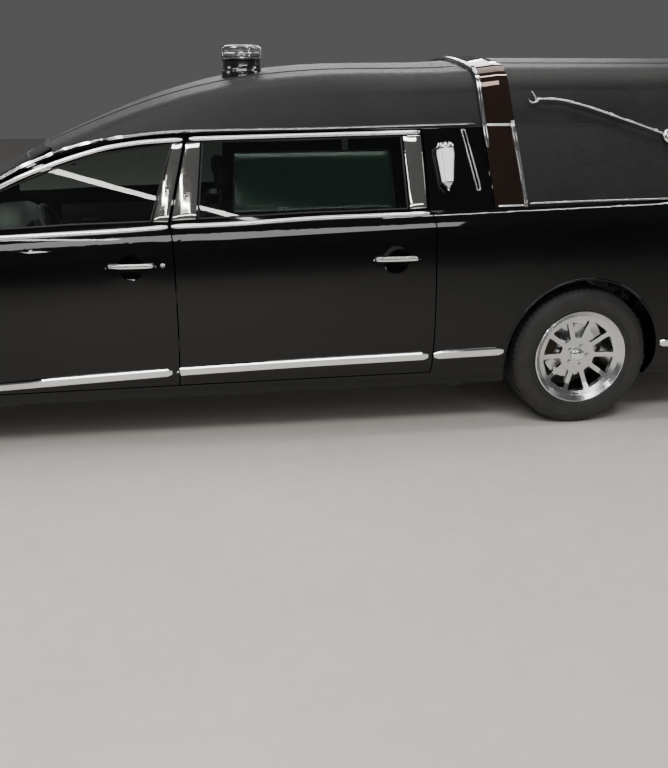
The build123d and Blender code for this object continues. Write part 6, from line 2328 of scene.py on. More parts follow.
@dataclass
class FrontSeats:
    """Two leather seats: swollen cushions, backs and head restraints on rails and shields."""

    middle_y: float = 0.375
    cushion_centre: Point3 = (0.606, 0.0, 0.428)
    cushion_half: Point3 = (0.252, 0.222, 0.062)
    back_half: Point3 = (0.048, 0.214, 0.298)
    back_foot: Point2 = (0.372, 0.462)
    back_top: Point2 = (0.232, 1.086)
    head_half: Point3 = (0.036, 0.106, 0.052)
    head_centre: Point3 = (0.215, 0.0, 1.199)
    insert: float = 0.135
    shield_y: float = 0.232
    rail_y: float = 0.165
    post_y: float = 0.052

    def on_cushion(self, p: Vector) -> Vector:
        """Bend the cushion: raised bolsters, front lifted.

        Args:
            p: A point of the flat cushion.

        Returns:
            Where it goes in the car.
        """
        c = self.cushion_centre
        lift = 0.016 * ease(abs(p.y), 0.115, 0.19) * (1 if p.z > 0 else 0) + 0.010 * p.x / 0.25
        return at(c[0] + p.x, self.middle_y + p.y, c[2] + p.z + lift)

    def cushion_seam(self, p: Vector) -> float:
        """Bolster seams, cross channels and the welt round the side.

        Args:
            p: A point of the flat cushion.

        Returns:
            How deep the cover is pulled in there.
        """
        if p.z < -0.01:
            return 0.0
        depth = line_depth(abs(p.y) - self.insert, 0.010, 0.007)
        if abs(p.y) < self.insert:
            depth = max(
                depth, *(line_depth(p.x - x, 0.008, 0.008) for x in (-0.17, -0.105, -0.04, 0.025, 0.09))
            )
        depth = max(depth, line_depth(p.x - 0.150, 0.009, 0.007))
        return depth

    def on_back(self, p: Vector) -> Vector:
        """Bend the back: lean, lumbar curve, wings and narrower shoulders.

        Args:
            p: A point of the straight back.

        Returns:
            Where it goes in the car.
        """
        t = (p.z + 0.31) / 0.62
        (x0, z0), (x1, z1) = self.back_foot, self.back_top
        thick = 1.18 - 0.36 * t
        wing = 0.026 * ease(abs(p.y), 0.115, 0.19) * (1 - 0.5 * t) if p.x > 0 else 0.0
        y = p.y * (1 - 0.20 * ease(t, 0.62, 1.0))
        x = x0 + (x1 - x0) * t + p.x * thick + wing + 0.010 * math.sin(math.pi * min(1, max(0, t)))
        return at(x, self.middle_y + y, z0 + (z1 - z0) * t)

    def back_seam(self, p: Vector) -> float:
        """Bolster seams and the insert's cross channels.

        Args:
            p: A point of the straight back.

        Returns:
            How deep the cover is pulled in there.
        """
        if p.x < 0:
            return 0.0
        depth = line_depth(abs(p.y) - self.insert, 0.010, 0.007)
        if abs(p.y) < self.insert:
            depth = max(
                depth,
                *(line_depth(p.z - z, 0.008, 0.008) for z in (-0.19, -0.125, -0.06, 0.005, 0.07, 0.135)),
            )
        return max(depth, line_depth(p.z - 0.190, 0.009, 0.007))

    def on_head(self, p: Vector) -> Vector:
        """Set the head restraint, its upper edge drawn back."""
        c = self.head_centre
        return at(c[0] + p.x - 0.12 * (p.z + 0.05) * 0.5, self.middle_y + p.y, c[2] + p.z)

    def head_seam(self, p: Vector) -> float:
        """The seam round the head restraint's face."""
        return line_depth(math.hypot(p.y / 0.080, p.z / 0.036) - 1, 0.005, 0.10) if p.x > 0 else 0.0

    def hardware(self) -> None:
        """Build shields, rails, posts and back shells."""
        plastic, steel = Shape(), Shape()
        for hand in (-1, 1):
            y = self.middle_y + hand * self.shield_y
            shield = pillow((0.235, 0.010, 0.034), 0.009, 8)
            plastic.join(bent(shield, lambda p, y=y: at(0.600 + p.x, y + p.y, 0.377 + p.z * (1 - 0.8 * p.x))))
            pivot = [(0.0, 0.010), (0.030, 0.010), (0.038, 0.005), (0.040, -0.006)]
            plastic.join(turned(pivot, at(0.375, y, 0.455), at(0, hand, 0), 32))
            y = self.middle_y + hand * self.rail_y
            steel.join(brick((0.345, y - 0.016, 0.3295), (0.865, y + 0.016, 0.352), 0.004))
            y = self.middle_y + hand * self.post_y
            steel.join(rod([at(0.222, y, 1.070), at(0.217, y, 1.130), at(0.214, y, 1.175)], 0.0058, 12))
        shell = pillow((0.009, 0.190, 0.262), 0.009, 14)
        plastic.join(bent(shell, lambda p: self.on_back(at(-0.051, p.y, p.z)) + at(p.x - 0.006, 0, 0)))
        Piece("seat_shields", TRIM_PLASTIC, "body", "dash_plastic").place_pair(plastic)
        Piece("seat_rails", STEEL, "body", "steel").place_pair(steel)

    def build(self) -> None:
        """Build both seats."""
        pads = (
            Pad(
                "seat_cushion", pillow(self.cushion_half, 0.042, 22, 0.008, 0.02), self.on_cushion,
                self.cushion_seam, 0.012, 0.022,
            ),
            Pad(
                "seat_back", pillow(self.back_half, 0.038, 22, 0.0, 0.02), self.on_back, self.back_seam,
                0.012, 0.022,
            ),
            Pad(
                "head_restraint", pillow(self.head_half, 0.030, 14, 0.004, 0.02), self.on_head,
                self.head_seam, 0.008, 0.016,
            ),
        )
        for pad in pads:
            form = pad.shape()
            for hand, shape in (("left", form), ("right", form.mirrored())):
                thing = Piece(f"{pad.name}_{hand}", LEATHER, "body", "leather").place(
                    shape, 60.0, ["front_seats"]
                )
        self.hardware()
        LOG.info("front seats: cushions, backs, head restraints and rails")


@dataclass
class CabinTrim:
    """Headliner, carpets, dashboard fittings, pedals, mirror and visors."""

    roof_span: Point2 = (-2.86, 0.93)
    roof_half: float = 0.585
    carpet_span: Point2 = (-0.965, 1.200)
    carpet_half: float = 0.755
    floor_z: float = 0.328
    driver_y: float = 0.375
    dials_y: Point2 = (0.290, 0.460)
    dial_z: float = 0.880
    dial_marks: int = 11
    mark_radius: float = 0.044
    vents_y: tuple[float, ...] = (-0.640, -0.185, 0.185, 0.640)
    vent_z: float = 0.800
    vent_half: Point2 = (0.055, 0.036)
    glovebox: tuple[Point2, Point2] = ((-0.62, 0.690), (-0.20, 0.765))
    wood_half: float = 0.70
    wood_z: float = 0.847
    knobs: tuple[float, ...] = (-0.075, 0.0, 0.075)
    knob_z: float = 0.745
    wheel_centre: Point3 = (1.010, 0.375, 0.905)
    wheel_axis: Point3 = (-0.9117, 0, 0.4108)
    rim_radius: float = 0.180
    stitch_starts: tuple[float, ...] = (0.45, 2.30, 4.55)
    pedals: tuple[Point2, ...] = ((0.335, 0.050), (0.455, 0.026))
    mirror_x: float = 0.960
    mirror_drop: float = 0.105
    dashboard: Skin = field(default_factory=lambda: Skin("dashboard"))

    def over(self, skin: Skin, x: float, y: float) -> Seat:
        """The ceiling above a place, taken nearer the middle where there is none.

        Args:
            skin: The roof.
            x: How far forward.
            y: How far to the left.

        Returns:
            The seat under the ceiling.
        """
        for share in (1.0, 0.97, 0.94, 0.9, 0.8, 0.5, 0.0):
            seat = skin.cast(at(x, y * share, 0.98), UP)
            if seat:
                return Seat(at(x, y * share, seat.point.z), seat.out)
        return Seat(at(x, y, 1.45), DOWN)

    def linings(self) -> None:
        """Line the ceiling and the floor."""
        skin = Skin("roof")
        grid = [
            [Seat(self.over(skin, x, self.roof_half * (1 - 2 * k / 22)).point, DOWN) for k in range(23)]
            for x in spread(*self.roof_span, 63)
        ]
        Piece("headliner", HEADLINER, "body", "vinyl").place(slab(grid, 0.006, 0.003, -0.002))
        floor = Skin("floor_pan")
        grid = []
        for x in spread(*self.carpet_span, 49):
            row = []
            for k in range(41):
                y = self.carpet_half * (2 * k / 40 - 1)
                seat = floor.cast(at(x, y, 0.62), DOWN)
                row.append(Seat(seat.point if seat else at(x, y, self.floor_z), UP))
            grid.append(row)
        Piece("cabin_carpet", CARPET, "body", "vinyl").place(slab(grid, 0.007, 0.002, -0.0005))
        mat = pillow_at((1.040, self.driver_y, 0.3400), (0.150, 0.215, 0.0045), 0.0044, 14)
        Piece("floor_mat", SEAL, "body", "rubber").place_pair(mat)

    def face(self, y: float, z: float) -> Seat:
        """The dashboard's face toward the seats, level across."""
        seat = self.dashboard.cast(at(0.6, y, z), AHEAD)
        return Seat(seat.point if seat else at(1.26, y, z), BEHIND)

    def dials(self) -> None:
        """Fit two dials with bezels, marks and needles."""
        bezel, dials = Shape(), Shape()
        mark = at(0.0008, 0.0012, 0.0030)
        for y in self.dials_y:
            seat = self.face(y, self.dial_z)
            dials.join(boss([(0.0, 0.002), (0.052, 0.002), (0.054, -0.002)], seat))
            bezel.join(boss(
                [(0.053, 0.001), (0.053, 0.008), (0.056, 0.011), (0.060, 0.009), (0.062, -0.002)], seat
            ))
            for k in range(self.dial_marks):
                angle = math.radians(-30 + 24 * k)
                spot = seat.point + at(
                    -0.0025, self.mark_radius * math.cos(angle), self.mark_radius * math.sin(angle)
                )
                bezel.join(brick(spot - mark, spot + mark, 0.0004))
            needle = [seat.point + at(-0.005, 0, 0), seat.point + at(-0.005, 0.030, -0.020)]
            bezel.join(rod(needle, [0.0018, 0.0006], 8))
        Piece("dial_faces", BEACON_BLACK, "body", "dash_plastic").place(dials)
        Piece("dial_bezels", CHROME, "body", "chrome").place(bezel)

    def vent(self, y: float) -> Shape:
        """One air vent: six blades in a frame.

        Args:
            y: The vent's place across the dashboard.

        Returns:
            Its blades and frame.
        """
        middle = self.face(y, self.vent_z).point
        shape = Shape()
        for k in range(6):
            z = middle.z - 0.025 + 0.010 * k
            shape.join(bent(
                pillow((0.007, 0.048, 0.0016), 0.0015, 4),
                lambda p, z=z: at(middle.x - 0.004 + p.x - 0.3 * p.z, middle.y + p.y, z + p.z + 0.2 * p.x),
            ))
        wide, tall = self.vent_half
        ring = [self.face(y + a, self.vent_z + b) for a, b in box_loop((-wide, -tall), (wide, tall), 0.012)]
        return shape.join(sweep(ring, half_round(0.008, 0.010), closed=True))

    def dash(self) -> None:
        """Fit the screen, the vents, a wood strip, knobs and the glovebox's edge to the dashboard."""
        screen = self.face(0, self.dial_z).point
        form = pillow_at((screen.x - 0.006, screen.y, screen.z), (0.006, 0.120, 0.062), 0.006, 10)
        Piece("blank_screen", SIGN, "body", "dash_plastic").place(form)
        hood = [
            self.face(self.driver_y + 0.172 * math.cos(angle), 0.872 + 0.074 * math.sin(angle))
            for angle in spread(0, math.pi, 32)
        ]
        fittings = sweep(hood, flat_bar(0.010, 0.055, 0.003), taper=0)
        for y in self.vents_y:
            fittings.join(self.vent(y))
        ring = [self.face(y, z) for y, z in box_loop(*self.glovebox, 0.02)]
        fittings.join(sweep(ring, half_round(0.004, 0.0025), closed=True))
        Piece("dash_fittings", TRIM_PLASTIC, "body", "dash_plastic").place(fittings)
        line = [self.face(y, self.wood_z) for y in spread(self.wood_half, -self.wood_half, 50)]
        wood = sweep([s for s in line if s.point.y < -0.135], half_round(0.030, 0.005))
        Piece("dash_wood", DECK, "body", "deck").place(wood)
        knobs = Shape()
        for y in self.knobs:
            knobs.join(boss(
                [
                    (0.0, 0.020), (0.012, 0.020), (0.015, 0.018), (0.017, 0.004), (0.020, 0.002),
                    (0.021, -0.002),
                ],
                self.face(y, self.knob_z), 32, lambda a, h: 1 + (0.03 * math.cos(16 * a) if h > 0.003 else 0),
            ))
        Piece("dash_knobs", ALLOY, "body", "alloy").place(knobs)

    def steering_wheel(self) -> None:
        """Dress the steering wheel with a pad, a bright ring and stitches."""
        axis = at(*self.wheel_axis).normalized()
        centre = at(*self.wheel_centre)

        def lobes(angle: float, height: float) -> float:
            """The three lobes of the pad."""
            return 1.0 + 0.10 * math.cos(3 * angle + math.pi)

        pad = turned([
            (0.0, 0.034), (0.025, 0.033), (0.046, 0.028), (0.058, 0.020), (0.062, 0.010), (0.060, 0.002),
            (0.052, -0.008),
        ], centre, axis, 48, lobes)
        Piece("wheel_pad", LEATHER, "steering_wheel", "leather").place(pad)
        loop = [(0.047, 0.0285), (0.050, 0.0300), (0.053, 0.0270), (0.050, 0.0240), (0.047, 0.0285)]
        Piece("wheel_pad_ring", CHROME, "steering_wheel", "chrome").place(turned(
            loop, centre, axis, 48, lobes
        ))
        frame = axis.to_track_quat("Z", "Y").to_matrix()
        seams = Shape()
        for start in self.stitch_starts:
            for k in range(9):
                angle = start + k * 0.026
                place = centre + frame @ at(
                    self.rim_radius * math.cos(angle), self.rim_radius * math.sin(angle), 0.0
                )
                radial = (frame @ at(math.cos(angle), math.sin(angle), 0.0)).normalized()
                ends = [place + radial * 0.004 + axis * 0.0150, place - radial * 0.004 + axis * 0.0150]
                seams.join(rod(ends, 0.0009, 6))
        Piece("wheel_stitches", TRIM_PLASTIC, "steering_wheel", "leather").place(seams)

    def controls(self) -> None:
        """Fit the column's stalks and the pedals."""
        base = at(*self.wheel_centre) - at(*self.wheel_axis).normalized() * 0.060
        stalks = Shape()
        for hand in (-1, 1):
            line = [
                base + at(x, hand * y, z)
                for x, y, z in (
                    (0, 0.030, 0), (-0.006, 0.080, 0.004), (-0.012, 0.125, 0.010), (-0.016, 0.150, 0.014)
                )
            ]
            stalks.join(rod(line, [0.006, 0.0055, 0.007, 0.0085], 12, 0.7))
        Piece("column_stalks", TRIM_PLASTIC, "body", "dash_plastic").place(stalks)
        pedals = Shape()
        for y, wide in self.pedals:
            pedals.join(bent(
                pillow((0.006, wide, 0.032), 0.005, 8),
                lambda p, y=y: at(1.390 + p.x + 0.45 * p.z, y + p.y, 0.470 + p.z),
            ))
            pedals.join(rod([at(1.396, y, 0.480), at(1.430, y, 0.560), at(1.450, y, 0.650)], 0.007, 10))
        Piece("pedals", SEAL, "body", "rubber").place(pedals)

    def overhead(self) -> None:
        """Hang the inner mirror and the sun visors."""
        skin = Skin("roof", "windshield")
        roof = self.over(skin, 0.990, 0.0).point

        def leaned(x: float) -> Callable[[Vector], Vector]:
            """The bend of a layer of the mirror that stands at x."""
            drop = self.mirror_drop
            return lambda p: at(x + p.x + 0.15 * p.z, p.y, roof.z - drop + p.z * (1 - 3 * p.y * p.y / 0.12))

        mirror = bent(pillow((0.012, 0.120, 0.032), 0.011, 12), leaned(self.mirror_x))
        stem = [roof - at(0, 0, 0.004), roof - at(0.012, 0, 0.05), at(0.968, 0, roof.z - 0.10)]
        mirror.join(rod(stem, [0.012, 0.007, 0.006], 10))
        Piece("inner_mirror", TRIM_PLASTIC, "body", "dash_plastic").place(mirror)
        glass = bent(pillow((0.0012, 0.112, 0.026), 0.0011, 10), leaned(0.947))
        Piece("inner_mirror_glass", CHROME, "body", "chrome").place(glass)
        base = self.over(skin, 0.88, 0.34).point
        visor = bent(
            pillow((0.075, 0.190, 0.007), 0.0065, 14, 0.002),
            lambda p: at(0.870 + p.x, 0.340 + p.y, base.z - 0.030 + p.z - 0.16 * p.x),
        )
        visor.join(rod([at(0.935, 0.16, base.z - 0.034), at(0.935, 0.52, base.z - 0.034)], 0.0045, 8))
        Piece("sun_visor", HEADLINER, "body", "vinyl").place_pair(visor)

    def build(self) -> None:
        """Build the cabin's trim."""
        self.linings()
        self.dials()
        self.dash()
        self.steering_wheel()
        self.controls()
        self.overhead()
        LOG.info("cabin: linings, dashboard, controls, mirror and visors")


@dataclass
class DoorCards:
    """The doors' inner trim: card, armrest, pull, speaker and pocket."""

    doors: tuple[str, ...] = ("front_door", "rear_door")
    low_z: float = 0.435
    high_z: float = 0.945
    inset: float = 0.075
    front_end_x: float = 1.165
    armrest_place: Point2 = (0.800, 0.660)
    pull_y: float = 0.812
    pull_z: float = 0.760
    lever_y: float = 0.816
    lever_z: float = 0.850
    speaker_place: Point2 = (0.8225, 0.545)
    pocket_place: Point2 = (0.812, 0.505)

    def inner_face(self, skin: Skin, x: float, z: float) -> Seat:
        """The door's inner face.

        Args:
            skin: The door.
            x: How far forward.
            z: How high.

        Returns:
            A seat that points into the cabin.
        """
        seat = skin.cast(at(x, 0.30, z), LEFTWARD)
        y = min(0.836, seat.point.y) if seat else 0.832
        return Seat(at(x, y, z), RIGHTWARD)

    def metal(self, middle: float) -> Shape:
        """The pull and the opening lever.

        Args:
            middle: The x of the card's middle.

        Returns:
            Both bars.
        """
        y, z = self.pull_y, self.pull_z
        grip = [
            at(middle + 0.10 + 0.22 * t, y - 0.030 * math.sin(math.pi * t), z + 0.03 * t)
            for t in spread(0, 1, 12)
        ]
        y, z = self.lever_y, self.lever_z
        lever = [at(middle + 0.13 + 0.10 * t, y - 0.012 * math.sin(math.pi * t), z) for t in spread(0, 1, 8)]
        return rod(grip, 0.0075, 12).join(rod(lever, 0.006, 10))

    def speaker(self, x: float) -> Shape:
        """A round speaker with five rings.

        Args:
            x: The speaker's x.

        Returns:
            The speaker.
        """
        seat = Seat(at(x, *self.speaker_place), RIGHTWARD)
        shape = boss([(0.0, 0.003), (0.060, 0.002), (0.070, 0.005), (0.078, 0.004), (0.082, -0.002)], seat)
        for ring in range(1, 6):
            radius = 0.011 * ring
            shape.join(boss([(radius - 0.002, 0.002), (radius, 0.0042), (radius + 0.002, 0.002)], seat, 40))
        return shape

    def build(self) -> None:
        """Trim all four doors."""
        for door in self.doors:
            node = f"{door}_left"
            low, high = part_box(node)
            x0, x1 = low[0] + self.inset, min(high[0] - self.inset, self.front_end_x)
            skin = Skin(node)
            grid = [
                [self.inner_face(skin, x, z) for x in spread(x0, x1, 24)] for z in spread(
                    self.low_z, self.high_z, 14
                )
            ]
            Piece(f"{door}_card", LEATHER, node, "leather").place_pair(slab(grid, 0.010, 0.004, 0.0))
            middle, half = (x0 + x1) / 2, (x1 - x0) / 2 - 0.10
            y, z = self.armrest_place
            rest = bent(
                pillow((half, 0.030, 0.026), 0.022, 14, 0.004),
                lambda p, y=y, z=z, middle=middle: at(middle + p.x, y + p.y, z + p.z + 0.06 * p.x),
            )
            Piece(f"{door}_armrest", LEATHER, node, "leather").place_pair(rest)
            Piece(f"{door}_pull", CHROME, node, "chrome").place_pair(self.metal(middle))
            Piece(f"{door}_speaker", TRIM_PLASTIC, node, "dash_plastic").place_pair(self.speaker(x1 - 0.16))
            pocket = pillow_at((middle - 0.06, *self.pocket_place), (half * 0.72, 0.014, 0.040), 0.011, 10)
            Piece(f"{door}_pocket", TRIM_PLASTIC, node, "dash_plastic").place_pair(pocket)
        LOG.info("doors: cards, armrests and pulls")


@dataclass
class LoadBay:
    """The casket deck's rollers, runners and bier pins, and the bay's linings."""

    top_z: float = 0.700
    span: Point2 = (-2.980, 0.070)
    pins: tuple[Point2, ...] = ((-2.250, 0.300), (-2.250, -0.300), (-0.750, 0.300), (-0.750, -0.300))
    rollers: tuple[float, ...] = (-2.900, -2.500, -1.950, -1.400, -0.850, -0.300)
    roller_y: Point2 = (0.055, 0.175)
    axle_y: Point2 = (0.040, 0.190)
    bracket_y: Point2 = (0.042, 0.186)
    axle_rise: float = 0.018
    runners: tuple[float, ...] = (-0.440, -0.210, 0.210, 0.440)
    edge_half: float = 0.590
    edge_z: float = 0.690
    lining_x: Point2 = (-2.780, -1.160)
    lining_z: Point2 = (0.560, 1.020)
    lining_limit: float = 0.840
    partition_x: float = 0.092
    partition_half: float = 0.560
    partition_z: Point2 = (0.712, 0.945)

    def roller(self, x: float, hand: int) -> tuple[Shape, Shape]:
        """One roller on its axle between two brackets.

        Args:
            x: How far forward.
            hand: 1 on the left, -1 on the right.

        Returns:
            The rubber part and the metal part.
        """
        top = self.top_z
        start, end = (at(x, hand * y, top + self.axle_rise) for y in self.roller_y)
        barrel = [start, start.lerp(end, 0.06), start.lerp(end, 0.5), start.lerp(end, 0.94), end]
        rubber = rod(barrel, [0.013, 0.015, 0.0152, 0.015, 0.013], 24)
        metal = rod([at(x, hand * y, top + self.axle_rise) for y in self.axle_y], 0.004, 12)
        for y in self.bracket_y:
            metal.join(brick(
                (x - 0.014, hand * y - 0.003, top), (x + 0.014, hand * y + 0.003, top + 0.027), 0.002
            ))
        return rubber, metal

    def deck(self) -> None:
        """Lay runners, rollers, pins and an edge rail on the deck."""
        metal, rubber = Shape(), Shape()
        x0, x1 = self.span
        for y in self.runners:
            line = [Seat(at(x, y, self.top_z), UP) for x in spread(x0, x1, 40)]
            metal.join(sweep(line, half_round(0.030, 0.007)))
        for x in self.rollers:
            for hand in (-1, 1):
                roller, axle = self.roller(x, hand)
                rubber.join(roller)
                metal.join(axle)
        for x, y in self.pins:
            seat = Seat(at(x, y, self.top_z), UP)
            metal.join(boss([
                (0.0, 0.112), (0.006, 0.111), (0.009, 0.106), (0.009, 0.006), (0.030, 0.005), (0.032, 0.001),
                (0.032, -0.001),
            ], seat, 32))
            rubber.join(boss([
                (0.0092, 0.080), (0.022, 0.080), (0.025, 0.076), (0.025, 0.044), (0.022, 0.040),
                (0.0092, 0.040),
            ], seat, 32))
        half, z = self.edge_half, self.edge_z
        for a, b, side in (
            (at(x1, -half, z), at(x0, -half, z), RIGHTWARD),
            (at(x0, -half, z), at(x0, half, z), BEHIND),
            (at(x0, half, z), at(x1, half, z), LEFTWARD),
        ):
            line = [Seat(a.lerp(b, share) + side * 0.010, side) for share in spread(0, 1, 30)]
            metal.join(sweep(line, half_round(0.022, 0.006)))
        Piece("deck_metal", ALLOY, "body", "alloy").place(metal)
        Piece("deck_rubber", SEAL, "body", "rubber").place(rubber)

    def linings(self) -> None:
        """Line the bay's sides and pleat the partition."""
        skin = Skin("body_side_left")
        grid = []
        for z in spread(*self.lining_z, 19):
            row = []
            for x in spread(*self.lining_x, 39):
                seat = skin.cast(at(x, 0.20, z), LEFTWARD)
                row.append(Seat(at(x, min(seat.point.y, self.lining_limit) if seat else 0.780, z), RIGHTWARD))
            grid.append(row)
        Piece("bay_side_lining", CARPET, "body", "vinyl").place_pair(slab(grid, 0.006, 0.002, -0.001))
        low, high = self.partition_z
        rings = []
        for k, y in enumerate(spread(-self.partition_half, self.partition_half, 120)):
            x = self.partition_x - 0.003 * (1 + math.cos(k * math.pi * 0.5))
            rings.append([at(x, y, low), at(x, y, high), at(x - 0.004, y, high), at(x - 0.004, y, low)])
        Piece("partition_lining", HEADLINER, "body", "vinyl").place(tube_of(rings))

    def build(self) -> None:
        """Build the bay."""
        self.deck()
        self.linings()
        LOG.info("load bay: rollers, runners, pins and linings")


@dataclass
class Underside:
    """Springs, dampers, lines, exhaust clamps and tank straps."""

    front_x: float = 2.180
    rear_x: float = -1.500
    strut_y: float = 0.600
    rear_spring: Point2 = (0.520, 0.392)
    bellows: int = 7
    lines_y: tuple[float, ...] = (0.335, 0.352, 0.369)
    lines_z: float = 0.293
    line_clips: int = 7
    pipe: Point2 = (-0.330, 0.262)
    pipe_clamps: tuple[float, ...] = (1.30, 0.55, -0.35, -1.15, -2.05)
    silencer: Point2 = (-0.330, 0.307)
    silencer_bands: tuple[float, ...] = (-2.742, -2.700, -2.280, -2.238)
    straps_x: Point2 = (-2.560, -2.300)
    strap_path: tuple[Point2, ...] = (
        (-0.2225, 0.488), (-0.2235, 0.310), (-0.205, 0.2885), (0.115, 0.2885), (0.435, 0.2885),
        (0.4535, 0.310), (0.4525, 0.488),
    )

    def springs(self) -> None:
        """Wind the coils and stand them between their seats."""
        coils = helix(at(self.front_x, self.strut_y, 0.590), 0.060, 0.235, 5.5, 0.0065)
        coils.join(helix(at(self.rear_x, *self.rear_spring), 0.054, 0.090, 3.2, 0.0070))
        Piece("coil_springs", IRON, "body", "iron").place_pair(coils)
        seats = Shape()
        for z, flip in ((0.583, 1), (0.830, -1)):
            cup = [
                (0.042, 0.0), (0.070, 0.0), (0.072, 0.006 * flip), (0.066, 0.008 * flip),
                (0.043, 0.004 * flip), (0.042, 0.0),
            ]
            seats.join(turned(cup, at(self.front_x, self.strut_y, z), UP, 40))
        for k in range(self.bellows):
            fold = [(0.026, 0.0), (0.035, 0.004), (0.035, 0.009), (0.026, 0.013)]
            seats.join(turned(fold, at(self.front_x, self.strut_y, 0.640 + 0.016 * k), UP, 32))
        Piece("spring_seats", SEAL, "body", "rubber").place_pair(seats)

    def dampers(self) -> None:
        """Stand the rear dampers on their eyes."""
        foot, neck, head = at(-1.630, 0.440, 0.300), at(-1.624, 0.430, 0.400), at(-1.618, 0.421, 0.492)
        eye = [(0.0, 0.014), (0.016, 0.014), (0.019, 0.010), (0.019, -0.010), (0.016, -0.014), (0.0, -0.014)]
        damper = rod([foot, neck], 0.024, 20)
        damper.join(rod([neck, head], 0.009, 14))
        damper.join(turned(eye, at(-1.632, 0.441, 0.290), LEFTWARD, 24))
        Piece("rear_dampers", STEEL, "body", "steel").place_pair(damper)

    def lines(self) -> None:
        """Run the brake and fuel lines in their clips."""
        lines = Shape()
        for y in self.lines_y:
            path = [at(1.60 - 3.02 * k / 30, y + 0.004 * math.sin(k * 0.7), self.lines_z) for k in range(31)]
            lines.join(rod(path, 0.0032, 8))
        for k in range(self.line_clips):
            place = (1.45 - 0.45 * k, self.lines_y[1], self.lines_z + 0.0015)
            lines.join(pillow_at(place, (0.010, 0.030, 0.005), 0.004, 6))
        Piece("brake_and_fuel_lines", STEEL, "body", "steel").place(lines)

    def clamps(self) -> None:
        """Put clamps on the exhaust pipe and bands on its silencer."""
        clamps = Shape()
        clamp = [(0.0282, -0.016), (0.033, -0.014), (0.031, 0.0), (0.033, 0.014), (0.0282, 0.016)]
        for x in self.pipe_clamps:
            clamps.join(turned(clamp, at(x, *self.pipe), AHEAD, 32))
        band = [(0.077, -0.006), (0.0815, -0.003), (0.0815, 0.003), (0.077, 0.006)]
        for x in self.silencer_bands:
            clamps.join(turned(band, at(x, *self.silencer), AHEAD, 48))
        Piece("exhaust_clamps", STEEL, "body", "steel").place(clamps)

    def straps(self) -> None:
        """Sling the fuel tank in two straps."""
        straps = Shape()
        for x in self.straps_x:
            rings = []
            for y, z in self.strap_path:
                out = at(0, -1 if y < -0.21 else 1 if y > 0.44 else 0, -1 if z < 0.30 else 0).normalized()
                lift = out * 0.0025
                p = at(x, y, z)
                rings.append([
                    p + at(-0.018, 0, 0), p + at(0.018, 0, 0), p + at(0.016, 0, 0) + lift,
                    p + at(-0.016, 0, 0) + lift,
                ])
            straps.join(tube_of(rings))
        Piece("tank_straps", STEEL, "body", "steel").place(straps)

    def build(self) -> None:
        """Build what hangs below the floor."""
        self.springs()
        self.dampers()
        self.lines()
        self.clamps()
        self.straps()
        LOG.info("underside: springs, dampers, lines and clamps")


